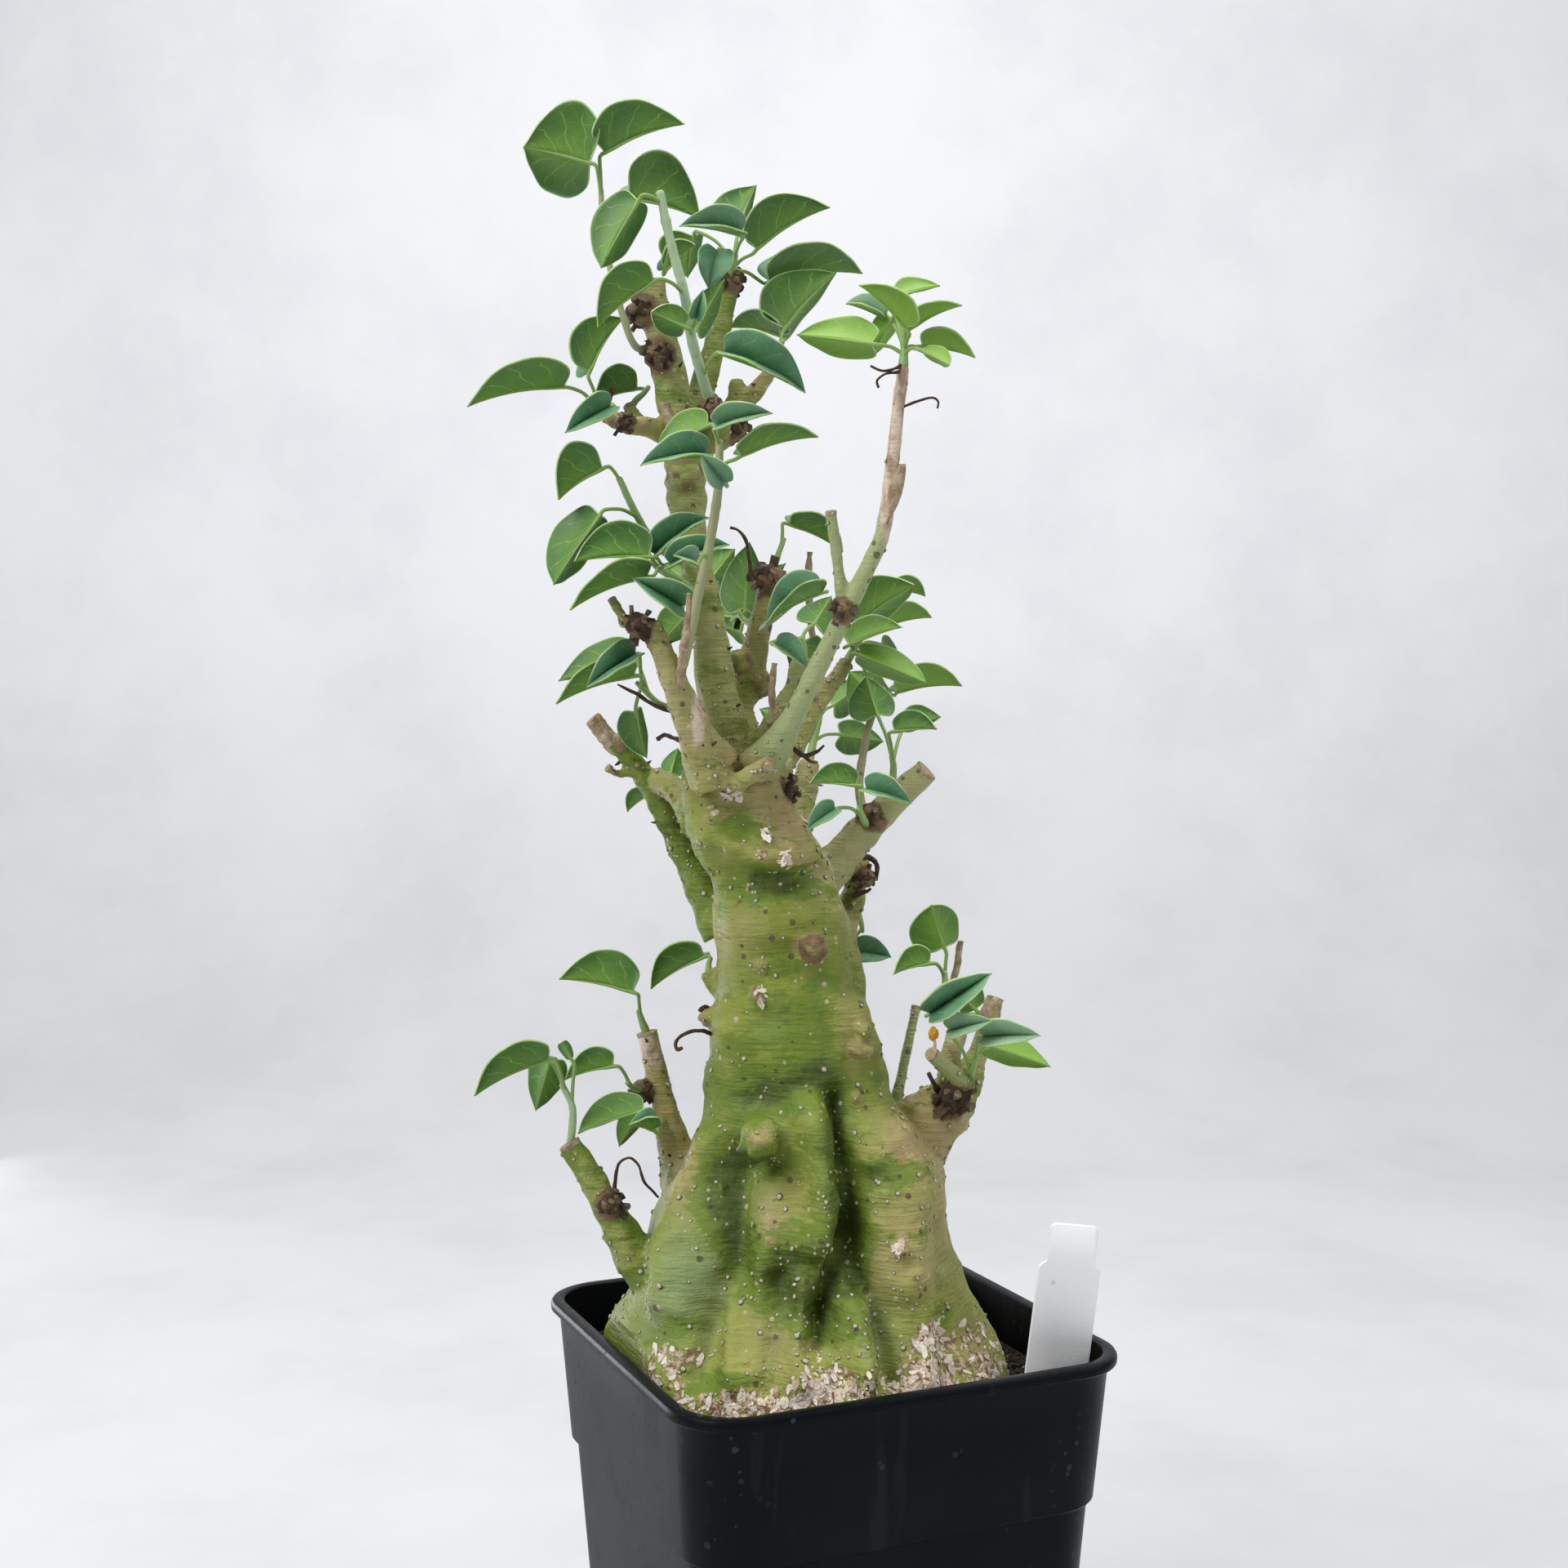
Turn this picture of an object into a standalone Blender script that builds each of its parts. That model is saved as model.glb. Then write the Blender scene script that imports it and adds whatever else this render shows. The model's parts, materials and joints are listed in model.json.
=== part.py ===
"""A potted adenia: a swollen green caudex with cut-back branches and leafy shoots, in a square
nursery pot of black plastic with a blank plant label.

Metres, +Z up. The origin is the centre of the pot's underside and the pot's sides run along X
and Y. The plant is laid out in the frame of the front view (X right, Y away, Z up) and then turned
with its empty, because in that view the pot stands with one corner forward.
"""

import math

import bmesh
import bpy
import numpy as np
from mathutils import Matrix, Vector
from mathutils.bvhtree import BVHTree

MM = 0.001

# Pot, in millimetres
POT_HEIGHT = 125.0
POT_SIDE = 120.0          # outside of the rolled lip
POT_CORNER = 17.0         # corner radius at the lip
LIP_OUT = 2.0             # how far the lip stands out of the wall
LIP_HEIGHT = 3.0
BAND_HEIGHT = 38.0        # plain band under the lip, down to the step
STEP_IN = 1.5             # the wall steps in below the band
TAPER = 0.075             # each wall leans in by this share of the height
WALL = 1.8
FLOOR = 2.2
DRAIN_RADIUS = 5.0
DRAIN_SPREAD = 30.0       # of the four drain holes, from the middle
POT_TURN = math.radians(24.0)   # the pot against the front view

# Soil and label, in millimetres
SOIL_DROP = 13.0          # soil surface below the lip
FIT = 0.35                # clearance between pieces that touch
LABEL_WIDTH = 16.0
LABEL_HEAD_WIDTH = 12.4
LABEL_HEAD = 9.5
LABEL_LENGTH = 91.0
LABEL_THICK = 1.0
LABEL_FOOT = (57.7, -22.0)      # x and y where it enters the soil, in the front view
LABEL_LEAN = math.radians(6.5)
LABEL_BURIED = 46.0

# The front view that places the plant's parts: a camera in millimetres, and pixels of its picture
VIEW_FOCAL = 2400.0
VIEW_MIDDLE = 960.0
VIEW_DISTANCE = 510.0
VIEW_SIDE = -10.0
VIEW_RISE = 160.0         # above the pot's lip
VIEW_PITCH = math.radians(-2.1)

# Foliage, in millimetres
BLADE_THICK = 0.7
PETIOLE_RADIUS = 0.6
LEAST_FOLD = math.radians(48)   # between the halves of a folded blade
HALF_WIDTH = 0.46         # of a blade, as a share of its length, where the view doesn't tell

# Caudex surface, in millimetres
CAUDEX_FIT = 1.1          # hole in the soil around it
WALL_MARGIN = 3.2         # it stays this far from the pot's inner wall
GRAIN = 0.9               # voxel that joins trunk and branches
CAUDEX_TRIANGLES = 4700
BURIED = [(-5.0, 0.955), (-13.0, 0.86), (-24.0, 0.68), (-34.0, 0.44), (-41.0, 0.16)]

# Caudex outline: row in the view, left edge, right edge, depth of its middle, depth over width
CAUDEX_ROWS = [
    (1680, 740, 1232, -2, 0.96),
    (1640, 735, 1220, -2, 0.95),
    (1610, 744, 1201, -2, 0.94),
    (1580, 764, 1188, -1, 0.92),
    (1540, 779, 1170, 0, 0.90),
    (1500, 796, 1158, 0, 0.86),
    (1460, 816, 1158, 0, 0.84),
    (1420, 846, 1154, 0, 0.84),
    (1385, 858, 1122, 0, 0.86),
    (1350, 866, 1095, 0, 0.90),
    (1300, 869, 1082, 1, 0.94),
    (1250, 869, 1067, 1, 0.96),
    (1200, 875, 1055, 1, 0.98),
    (1150, 874, 1042, 1, 0.98),
    (1100, 877, 1028, 1, 0.98),
    (1060, 868, 1014, 0, 0.96),
    (1020, 850, 993, 0, 0.94),
    (980, 838, 972, 0, 0.94),
    (945, 839, 952, 0, 0.92),
    (918, 858, 926, 0, 0.90),
]

# Relief on the caudex's front, and on its back as if seen from behind: route, half width and
# height in millimetres (a fold is negative)
FRONT_RELIEF = [
    ([(1022, 1345), (1024, 1385), (1030, 1420), (1041, 1465), (1040, 1510), (1022, 1560), (1006, 1610), (1000, 1650)], 4.0, -6.0),
    ([(1040, 1515), (1055, 1560), (1078, 1605), (1092, 1655), (1098, 1700)], 4.4, -4.0),
    ([(905, 1412), (893, 1450), (897, 1505), (888, 1560), (868, 1620), (850, 1680)], 7.5, -4.6),
    ([(952, 1570), (962, 1605), (950, 1650), (940, 1700)], 4.5, -2.6),
    ([(1008, 1610), (1020, 1655), (1030, 1700)], 3.0, -2.4),
    ([(1150, 1555), (1160, 1620), (1176, 1680)], 4.5, -2.0),
    ([(800, 1560), (788, 1605), (800, 1660)], 4.0, -1.8),
    ([(872, 1400), (850, 1455), (832, 1520), (815, 1585)], 8.0, 2.8),
    ([(1000, 1365), (1006, 1420), (1012, 1470), (1000, 1520)], 6.5, 4.2),
    ([(1072, 1385), (1092, 1440), (1095, 1500), (1105, 1565)], 10.0, 3.6),
    ([(982, 1580), (980, 1640), (985, 1690)], 4.5, 2.2),
    ([(1052, 1615), (1058, 1685)], 4.5, 2.4),
    ([(1128, 1610), (1135, 1690)], 5.0, 2.0),
    ([(880, 1600), (900, 1690)], 5.0, 1.8),
    ([(928, 1392), (934, 1397)], 4.6, 6.5),
    ([(915, 1424), (950, 1424)], 3.6, -2.4),
    ([(997, 1158), (997, 1164)], 2.6, 4.6),
    ([(940, 1172), (960, 1172)], 4.0, -1.2),
    ([(1046, 1235), (1062, 1275)], 5.0, 2.0),
    ([(866, 1235), (862, 1250)], 3.4, 1.8),
    ([(864, 1312), (862, 1330)], 4.2, 2.0),
    ([(900, 1090), (960, 1086), (1005, 1070)], 4.0, -1.4),
    ([(870, 1010), (900, 1035), (960, 1050)], 5.5, 1.6),
    ([(930, 1340), (985, 1338)], 7.0, -1.6),
]
BACK_RELIEF = [
    ([(985, 1330), (980, 1400), (970, 1470), (985, 1540), (1010, 1600), (1015, 1660)], 4.6, -5.6),
    ([(975, 1480), (940, 1550), (915, 1620), (905, 1690)], 5.0, -3.8),
    ([(1070, 1430), (1085, 1500), (1075, 1580), (1090, 1660)], 6.5, -3.4),
    ([(860, 1480), (850, 1560), (835, 1640)], 6.0, -3.0),
    ([(1025, 1380), (1030, 1450), (1035, 1540), (1050, 1640)], 7.5, 3.8),
    ([(925, 1390), (915, 1450), (880, 1540), (870, 1640)], 8.0, 3.8),
    ([(955, 1570), (960, 1660)], 5.0, 2.6),
    ([(1130, 1520), (1140, 1620)], 7.0, 2.4),
    ([(940, 1255), (944, 1262)], 3.6, 4.6),
    ([(1010, 1120), (1010, 1128)], 3.0, 3.6),
    ([(900, 1330), (985, 1325)], 6.5, -1.8),
    ([(890, 1080), (990, 1090)], 4.5, -1.6),
]

# Woody branches: points of the view (x, y), depth and radius in millimetres
BRANCHES = {
    "leader": [(893, 935, 0, 9.0), (887, 890, 0, 6.2), (877, 840, 0, 5.2), (869, 780, 0, 4.6),
               (858, 720, 0, 4.3), (846, 660, -1, 4.4), (840, 600, -1, 4.9), (834, 540, 0, 4.9),
               (823, 480, 0, 4.5), (810, 410, 1, 4.0), (795, 347, 2, 3.7)],
    "leader_fork": [(834, 535, 2, 4.2), (857, 482, 7, 3.5), (876, 420, 12, 2.9), (893, 352, 15, 2.8)],
    "front_left": [(872, 960, -14, 6.4), (852, 905, -19, 4.4), (830, 845, -24, 3.6),
                   (812, 800, -27, 3.0), (795, 765, -29, 2.9)],
    "front_spur": [(884, 935, -13, 4.4), (862, 893, -16, 2.5), (849, 860, -17, 2.0)],
    "crown_spur": [(876, 978, -8, 4.4), (908, 955, -17, 2.5), (941, 935, -23, 1.9)],
    "left_arm": [(890, 1140, 14, 7.0), (852, 1075, 17, 4.0), (826, 1020, 18, 3.6), (806, 975, 16, 3.5),
                 (780, 940, 13, 3.1), (755, 912, 10, 2.3), (724, 881, 8, 1.8)],
    "left_arm_root": [(862, 1005, -1, 6.0), (832, 972, 6, 3.6), (803, 953, 14, 3.2)],
    "left_arm_twig": [(778, 945, 13, 2.0), (758, 948, 11, 1.4), (744, 940, 9, 1.1)],
    "knob_stem": [(915, 925, 9, 6.0), (905, 872, 13, 3.8), (916, 832, 15, 4.6), (925, 790, 13, 3.5),
                  (936, 740, 12, 2.9), (948, 696, 12, 3.4)],
    "mid_stem": [(930, 925, 0, 5.5), (956, 884, -3, 4.4), (970, 850, -5, 3.1), (984, 806, -6, 2.7)],
    "long_shoot": [(930, 940, -10, 6.0), (963, 893, -17, 3.8), (995, 830, -23, 3.0),
                   (1030, 760, -28, 2.5), (1060, 700, -32, 2.1), (1080, 655, -34, 1.9),
                   (1090, 590, -35, 1.7), (1098, 520, -35, 1.6), (1106, 448, -35, 1.6)],
    "long_spur": [(1036, 758, -28, 2.2), (1027, 700, -31, 1.5), (1017, 626, -34, 1.4)],
    "back_right": [(930, 950, 16, 6.0), (965, 925, 25, 3.4), (997, 868, 35, 2.7), (1036, 812, 43, 2.1)],
    "back_left": [(895, 940, 16, 6.0), (880, 890, 29, 3.4), (868, 830, 38, 2.7), (862, 770, 44, 2.2)],
    "back_arm": [(955, 1110, 6, 9.0), (968, 1040, 27, 5.2), (982, 985, 41, 3.8), (990, 935, 50, 3.2)],
    "right_arm": [(975, 1100, 8, 10.0), (1020, 1060, 8, 5.4), (1060, 1015, 6, 4.3), (1095, 980, 4, 3.7),
                  (1135, 943, 2, 3.2)],
    "right_arm_root": [(1015, 1170, 16, 6.0), (1044, 1100, 18, 3.3), (1050, 1055, 11, 3.0)],
    "right_low": [(1075, 1440, 8, 17.0), (1120, 1392, 6, 10.5), (1155, 1356, 4, 7.6),
                  (1172, 1330, 3, 5.6)],
    "right_low_bow": [(1168, 1335, 2, 4.0), (1163, 1298, -1, 2.9), (1174, 1262, -2, 2.6)],
    "right_low_tall": [(1178, 1332, 6, 4.0), (1198, 1286, 9, 2.6), (1219, 1222, 12, 2.2)],
    "right_low_spur": [(1186, 1330, -2, 3.0), (1165, 1312, -8, 2.0), (1140, 1290, -13, 1.9)],
    "right_stick": [(1092, 1372, 14, 3.0), (1101, 1330, 16, 1.6), (1122, 1232, 20, 1.3)],
    "left_low_upper": [(856, 1456, 8, 11.0), (830, 1412, 10, 5.6), (816, 1365, 10, 3.6),
                       (803, 1310, 10, 2.9), (792, 1264, 10, 2.7)],
    "left_low_lower": [(806, 1560, -8, 9.0), (776, 1532, -10, 5.8), (748, 1485, -12, 4.0),
                       (722, 1440, -12, 3.3), (697, 1400, -12, 2.9)],
    "left_mid_spur": [(888, 1220, 6, 4.0), (866, 1190, 9, 2.1)],
    "left_knob_spur": [(872, 1250, 2, 3.4), (860, 1236, 2, 1.7)],
    "left_high_spur": [(818, 526, 0, 4.2), (787, 522, -3, 2.7), (762, 519, -5, 2.1), (742, 508, -6, 1.6)],
    "left_high_twig": [(790, 522, 0, 2.4), (770, 498, 4, 1.6)],
    "right_high_spur": [(850, 545, 5, 4.4), (886, 527, 9, 4.0), (906, 493, 10, 2.8),
                        (926, 478, 10, 2.4), (946, 452, 10, 1.5)],
    "right_high_twig": [(904, 495, 10, 2.0), (902, 466, 10, 1.5)],
    "green_stem_foot": [(884, 528, 6, 3.6), (876, 505, -2, 2.9), (868, 487, -8, 2.3)],
    "front_left_twig": [(792, 772, -29, 2.2), (765, 758, -28, 1.6), (749, 733, -27, 1.1)],
}

# Rough woody knobs where shoots were cut back: point, depth and radius
KNOBS = [
    (806, 436, -3, 3.6), (784, 768, -29, 3.4), (940, 708, 10, 3.9), (960, 884, -10, 4.6),
    (905, 812, 10, 3.8), (930, 838, 14, 4.0), (894, 346, 15, 3.4), (898, 524, 10, 3.8),
    (1068, 1000, 4, 3.9), (1168, 1346, -3, 4.2), (787, 383, 0, 3.9), (750, 474, -16, 0.0),
    (748, 1474, -15, 3.2), (786, 1336, 8, 2.8), (762, 517, -5, 2.6), (960, 968, -2, 3.4),
    (840, 585, -3, 5.4), (1034, 746, -29, 2.8), (872, 500, -6, 3.0), (1060, 1075, 10, 2.6),
]

# Leafy shoots. A stem's first point lies inside the branch that carries it, and the solid starts
# just outside. Leaves: stem point that carries it, blade's foot and tip in the view, reach there of
# its left and right half in pixels (a folded-over half is negative), depths of foot and tip, and how
# it lies: fold, face (upper side to the viewer) or back
SHOOTS = {
    "shoot_top_left": {
        "radius": 1.0,
        "stem": [(806, 432, 0), (778, 424, -5), (764, 390, -8), (750, 340, -9), (738, 285, -9), (736, 232, -9)],
        "leaves": [
            (5, (722, 200), (641, 180), 46, 66, -12, -16, "back"),
            (5, (741, 187), (838, 152), 46, -36, -9, -12, "fold"),
            (4, (770, 243), (858, 268), 62, -18, -4, 2, "back"),
        ],
    },
    "shoot_green_stem": {
        "radius": 1.5,
        "stem": [(870, 493, -5), (860, 462, -13), (846, 410, -17), (838, 360, -19), (822, 300, -20), (808, 235, -21)],
        "leaves": [
            (4, (782, 246), (736, 328), 18, 36, -24, -26, "back"),
            (3, (801, 345), (732, 401), -8, 40, -26, -28, "fold"),
            (2, (838, 400), (797, 382), 18, 20, -26, -30, "back"),
            (1, (886, 434), (986, 481), 36, -10, -24, -22, "face"),
            (4, (816, 330), (852, 300), 20, -12, -14, -10, "fold"),
            (2, (854, 400), (887, 342), 20, 14, -13, -9, "back"),
            (2, (852, 388), (861, 355), 9, 9, -22, -25, "face"),
        ],
    },
    "shoot_fork_top": {
        "radius": 1.3,
        "stem": [(894, 352, 15), (896, 330, 12), (900, 312, 10)],
        "leaves": [
            (2, (906, 275), (926, 227), 38, 10, 18, 24, "back"),
            (1, (927, 305), (1016, 254), 43, -34, 12, 10, "fold"),
            (2, (904, 287), (832, 277), -6, 30, 2, -4, "face"),
            (2, (879, 309), (867, 353), 20, 22, 0, -5, "face"),
            (2, (850, 290), (842, 340), 10, 40, 22, 26, "back"),
            (1, (942, 344), (1056, 335), 38, -30, 20, 26, "fold"),
        ],
    },
    "shoot_fork_right": {
        "radius": 1.0,
        "stem": [(944, 456, 10), (952, 432, 8), (958, 418, 6)],
        "leaves": [
            (2, (961, 402), (1024, 334), 50, 10, 10, 16, "back"),
            (2, (955, 411), (894, 401), -12, 24, 14, 20, "fold"),
        ],
    },
    "shoot_left_high": {
        "radius": 1.0,
        "stem": [(744, 509, -6), (733, 500, -8), (726, 492, -9)],
        "leaves": [
            (2, (690, 474), (572, 498), -14, 38, -14, -20, "fold"),
            (1, (722, 455), (764, 389), 40, -16, -10, -4, "fold"),
            (2, (746, 499), (692, 530), 8, 22, -18, -24, "face"),
        ],
    },
    "shoot_left_twig": {
        "radius": 0.9,
        "stem": [(771, 502, 4), (779, 490, 5), (788, 482, 6), (794, 474, 7)],
        "leaves": [
            (3, (780, 476), (727, 494), -10, 34, 7, 4, "fold"),
        ],
    },
    "shoot_left_green": {
        "radius": 1.2,
        "stem": [(838, 690, -1), (804, 668, -8), (780, 632, -12), (758, 586, -15)],
        "leaves": [
            (3, (738, 574), (684, 612), -18, 46, -18, -22, "fold"),
            (2, (735, 631), (678, 716), 16, 34, -20, -26, "back"),
        ],
    },
    "shoot_left_mid": {
        "radius": 1.1,
        "stem": [(860, 735, -1), (835, 712, -8), (812, 700, -11), (800, 690, -12)],
        "leaves": [
            (2, (795, 682), (703, 688), -8, 44, -20, -24, "back"),
            (2, (792, 706), (698, 747), -8, 28, -26, -32, "fold"),
            (3, (804, 680), (868, 634), 22, -12, -15, -13, "face"),
            (3, (824, 692), (893, 667), 24, -4, -20, -21, "face"),
            (1, (832, 742), (774, 708), 10, 24, -22, -32, "face"),
        ],
    },
    "shoot_front": {
        "radius": 1.4,
        "stem": [(828, 836, -24), (842, 790, -31), (854, 732, -33), (866, 680, -34), (878, 610, -34), (880, 575, -34), (881, 540, -34)],
        "leaves": [
            (6, (866, 522), (803, 552), -8, 24, -30, -26, "back"),
            (5, (862, 560), (784, 570), -4, 32, -40, -46, "face"),
            (6, (881, 523), (946, 506), 18, -8, -38, -42, "face"),
            (5, (908, 558), (1002, 535), 26, -14, -36, -34, "fold"),
            (5, (886, 590), (858, 556), 14, 16, -44, -48, "face"),
            (3, (848, 690), (824, 680), -2, 20, -44, -48, "face"),
        ],
    },
    "shoot_center_back": {
        "radius": 1.0,
        "stem": [(930, 765, 13), (912, 760, 18), (904, 748, 19)],
        "leaves": [
            (2, (912, 744), (918, 664), 30, 22, 20, 24, "back"),
            (2, (900, 755), (962, 690), 22, 10, 26, 32, "back"),
            (1, (905, 772), (886, 768), 16, 24, 30, 36, "back"),
        ],
    },
    "shoot_center_front": {
        "radius": 1.0,
        "stem": [(930, 775, 12), (938, 765, 4), (956, 752, -4)],
        "leaves": [
            (2, (1006, 726), (938, 764), -22, 36, -14, -20, "face"),
        ],
    },
    "shoot_knob_top": {
        "radius": 0.9,
        "stem": [(948, 694, 12), (954, 676, 13), (960, 660, 14)],
        "leaves": [
            (2, (966, 642), (1032, 676), 26, -14, 16, 20, "fold"),
        ],
    },
    "shoot_mid_stem": {
        "radius": 1.0,
        "stem": [(984, 808, -6), (984, 792, -8), (980, 782, -10)],
        "leaves": [
            (2, (950, 790), (988, 818), 22, 2, -16, -20, "face"),
            (1, (984, 786), (986, 850), 26, 20, 4, 10, "back"),
            (2, (998, 762), (1018, 730), 24, 26, -2, 8, "back"),
        ],
    },
    "shoot_long_top": {
        "radius": 1.2,
        "stem": [(1106, 451, -35), (1107, 434, -35), (1108, 426, -35)],
        "leaves": [
            (1, (1067, 421), (976, 410), 20, 28, -34, -32, "back"),
            (2, (1109, 402), (1052, 349), -4, 28, -40, -44, "fold"),
            (2, (1104, 362), (1151, 350), 14, -6, -24, -20, "back"),
            (2, (1082, 388), (1036, 372), -6, 20, -26, -24, "face"),
            (1, (1092, 392), (1066, 438), 9, 18, -28, -24, "back"),
            (2, (1115, 402), (1178, 374), 18, -10, -36, -38, "fold"),
            (2, (1130, 424), (1194, 438), 25, -8, -32, -34, "fold"),
            (1, (1130, 430), (1162, 447), 14, 4, -43, -48, "back"),
        ],
    },
    "shoot_back_right": {
        "radius": 1.3,
        "stem": [(1035, 814, 43), (1046, 794, 45), (1056, 776, 46)],
        "leaves": [
            (2, (1052, 764), (1120, 716), 40, 14, 40, 36, "back"),
            (2, (1076, 770), (1141, 756), 24, -6, 52, 58, "fold"),
            (1, (1040, 790), (1104, 768), 22, -8, 34, 30, "back"),
            (2, (1086, 722), (1133, 730), 20, -8, 58, 64, "fold"),
            (1, (1052, 802), (1134, 836), 18, 10, 34, 30, "back"),
            (1, (1066, 850), (1040, 822), 26, 24, 50, 56, "back"),
            (1, (1098, 848), (1178, 840), 30, -12, 46, 50, "fold"),
            (1, (1080, 792), (1104, 822), 14, 18, 58, 66, "back"),
        ],
    },
    "shoot_back_left": {
        "radius": 1.2,
        "stem": [(862, 772, 44), (858, 752, 46), (856, 730, 48)],
        "leaves": [
            (2, (846, 716), (812, 690), 24, 26, 54, 60, "back"),
            (2, (868, 712), (900, 672), 28, 20, 56, 62, "back"),
            (1, (876, 748), (912, 762), 20, 22, 50, 58, "back"),
            (1, (838, 756), (806, 792), 18, 26, 48, 54, "back"),
        ],
    },
    "shoot_left_cluster": {
        "radius": 0.9,
        "stem": [(832, 870, -21), (808, 862, -14), (794, 850, -12), (780, 836, -12)],
        "leaves": [
            (3, (776, 828), (681, 862), -8, 30, -16, -20, "fold"),
            (3, (777, 803), (718, 842), 4, 24, -20, -27, "face"),
            (2, (770, 806), (684, 834), -4, 22, -6, -2, "back"),
            (3, (779, 872), (792, 928), 8, 26, -8, -6, "back"),
        ],
    },
    "shoot_left_arm": {
        "radius": 0.9,
        "stem": [(800, 965, 15), (808, 969, 22), (813, 962, 27), (816, 956, 29)],
        "leaves": [
            (2, (798, 971), (768, 994), -4, 18, 29, 33, "fold"),
            (3, (822, 945), (830, 916), 14, 16, 32, 36, "back"),
        ],
    },
    "shoot_back_arm": {
        "radius": 1.2,
        "stem": [(990, 937, 50), (996, 908, 54), (1002, 886, 56), (1004, 872, 57)],
        "leaves": [
            (3, (1022, 862), (1064, 832), 22, 20, 62, 70, "back"),
            (3, (996, 852), (978, 808), 22, 24, 62, 72, "back"),
            (1, (970, 892), (930, 868), 20, 24, 64, 74, "back"),
            (1, (1030, 900), (1082, 908), 20, 22, 60, 64, "back"),
        ],
    },
    "shoot_right_twig": {
        "radius": 1.1,
        "stem": [(1092, 985, 5), (1093, 958, 8), (1094, 938, 9), (1092, 926, 9)],
        "leaves": [
            (3, (1096, 896), (1147, 893), 24, -6, 4, 0, "back"),
            (3, (1112, 888), (1152, 878), 22, 8, 18, 22, "back"),
            (3, (1074, 874), (1060, 828), 32, 24, 14, 18, "back"),
        ],
    },
    "shoot_right_stem": {
        "radius": 1.3,
        "stem": [(1062, 1008, 6), (1052, 966, 14), (1060, 905, 20), (1070, 870, 22)],
        "leaves": [
            (3, (1062, 862), (1046, 856), 8, 8, 26, 28, "back"),
        ],
    },
    "shoot_right_arm": {
        "radius": 1.0,
        "stem": [(1062, 1012, 5), (1056, 1000, -6), (1052, 990, -9)],
        "leaves": [
            (2, (1048, 962), (991, 960), -8, 26, -12, -14, "back"),
            (2, (1062, 968), (1116, 984), 24, 2, -14, -20, "face"),
            (1, (1022, 992), (988, 1016), 6, 18, -16, -20, "face"),
        ],
    },
    "shoot_left_low_top": {
        "radius": 1.1,
        "stem": [(792, 1266, 10), (786, 1250, 9), (782, 1238, 8)],
        "leaves": [
            (2, (774, 1215), (685, 1199), -10, 44, 4, 0, "back"),
        ],
    },
    "shoot_left_mid_spur": {
        "radius": 0.9,
        "stem": [(867, 1192, 9), (868, 1180, 12), (870, 1174, 14)],
        "leaves": [
            (2, (862, 1172), (797, 1211), -6, 32, 16, 18, "fold"),
        ],
    },
    "shoot_left_low_end": {
        "radius": 1.1,
        "stem": [(698, 1402, -12), (701, 1374, -13), (700, 1352, -14), (688, 1328, -14)],
        "leaves": [
            (3, (672, 1298), (581, 1342), -8, 34, -18, -22, "fold"),
            (3, (672, 1302), (656, 1360), 24, 22, -8, -4, "back"),
            (2, (700, 1298), (688, 1276), 6, 6, -18, -22, "back"),
        ],
    },
    "shoot_left_low_knob": {
        "radius": 0.9,
        "stem": [(788, 1336, 8), (776, 1332, 2), (768, 1326, 0)],
        "leaves": [
            (2, (750, 1306), (692, 1322), -10, 28, -2, -6, "fold"),
        ],
    },
    "shoot_left_low_side": {
        "radius": 0.9,
        "stem": [(815, 1372, 10), (806, 1376, 0), (796, 1372, -4)],
        "leaves": [
            (2, (788, 1360), (708, 1388), -10, 24, -8, -14, "back"),
            (1, (780, 1368), (758, 1404), 8, 18, 4, 6, "back"),
            (2, (800, 1384), (770, 1378), -20, 24, -12, -16, "face"),
        ],
    },
    "shoot_right_low_tall": {
        "radius": 1.2,
        "stem": [(1173, 1264, -2), (1160, 1236, -3), (1158, 1206, -4), (1156, 1190, -4)],
        "leaves": [
            (3, (1156, 1160), (1140, 1108), 36, 26, -4, -8, "back"),
            (3, (1138, 1180), (1094, 1193), -4, 26, -8, -12, "fold"),
            (2, (1194, 1236), (1160, 1204), 16, 26, -10, -16, "back"),
            (1, (1140, 1240), (1214, 1192), 18, 14, -18, -20, "face"),
        ],
    },
    "shoot_right_low_side": {
        "radius": 1.0,
        "stem": [(1186, 1322, 4), (1190, 1312, -6), (1196, 1292, -10)],
        "leaves": [
            (2, (1214, 1282), (1286, 1306), 22, 14, -10, -8, "back"),
            (2, (1206, 1270), (1274, 1268), 20, 10, -18, -24, "face"),
            (1, (1166, 1262), (1216, 1250), 18, 8, -20, -26, "face"),
        ],
    },
    "shoot_right_back": {
        "radius": 0.9,
        "stem": [(1046, 1104, 18), (1054, 1128, 25), (1056, 1140, 28)],
        "leaves": [
            (2, (1046, 1166), (1091, 1172), 22, 10, 32, 30, "face"),
        ],
    },
}

# Blade outline for one half: place along the midrib, edge's place along it, and edge's reach
LOBED = [(0.08, -0.06, 0.62), (0.30, 0.22, 1.0), (0.54, 0.56, 0.90), (0.80, 0.82, 0.50)]

COLOURS = {
    "skin": ((0.24, 0.31, 0.12), 0.55),
    "leaf": ((0.10, 0.24, 0.08), 0.45),
    "pot": ((0.012, 0.013, 0.015), 0.35),
    "soil": ((0.055, 0.036, 0.024), 0.95),
    "label": ((0.86, 0.87, 0.88), 0.40),
}


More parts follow.
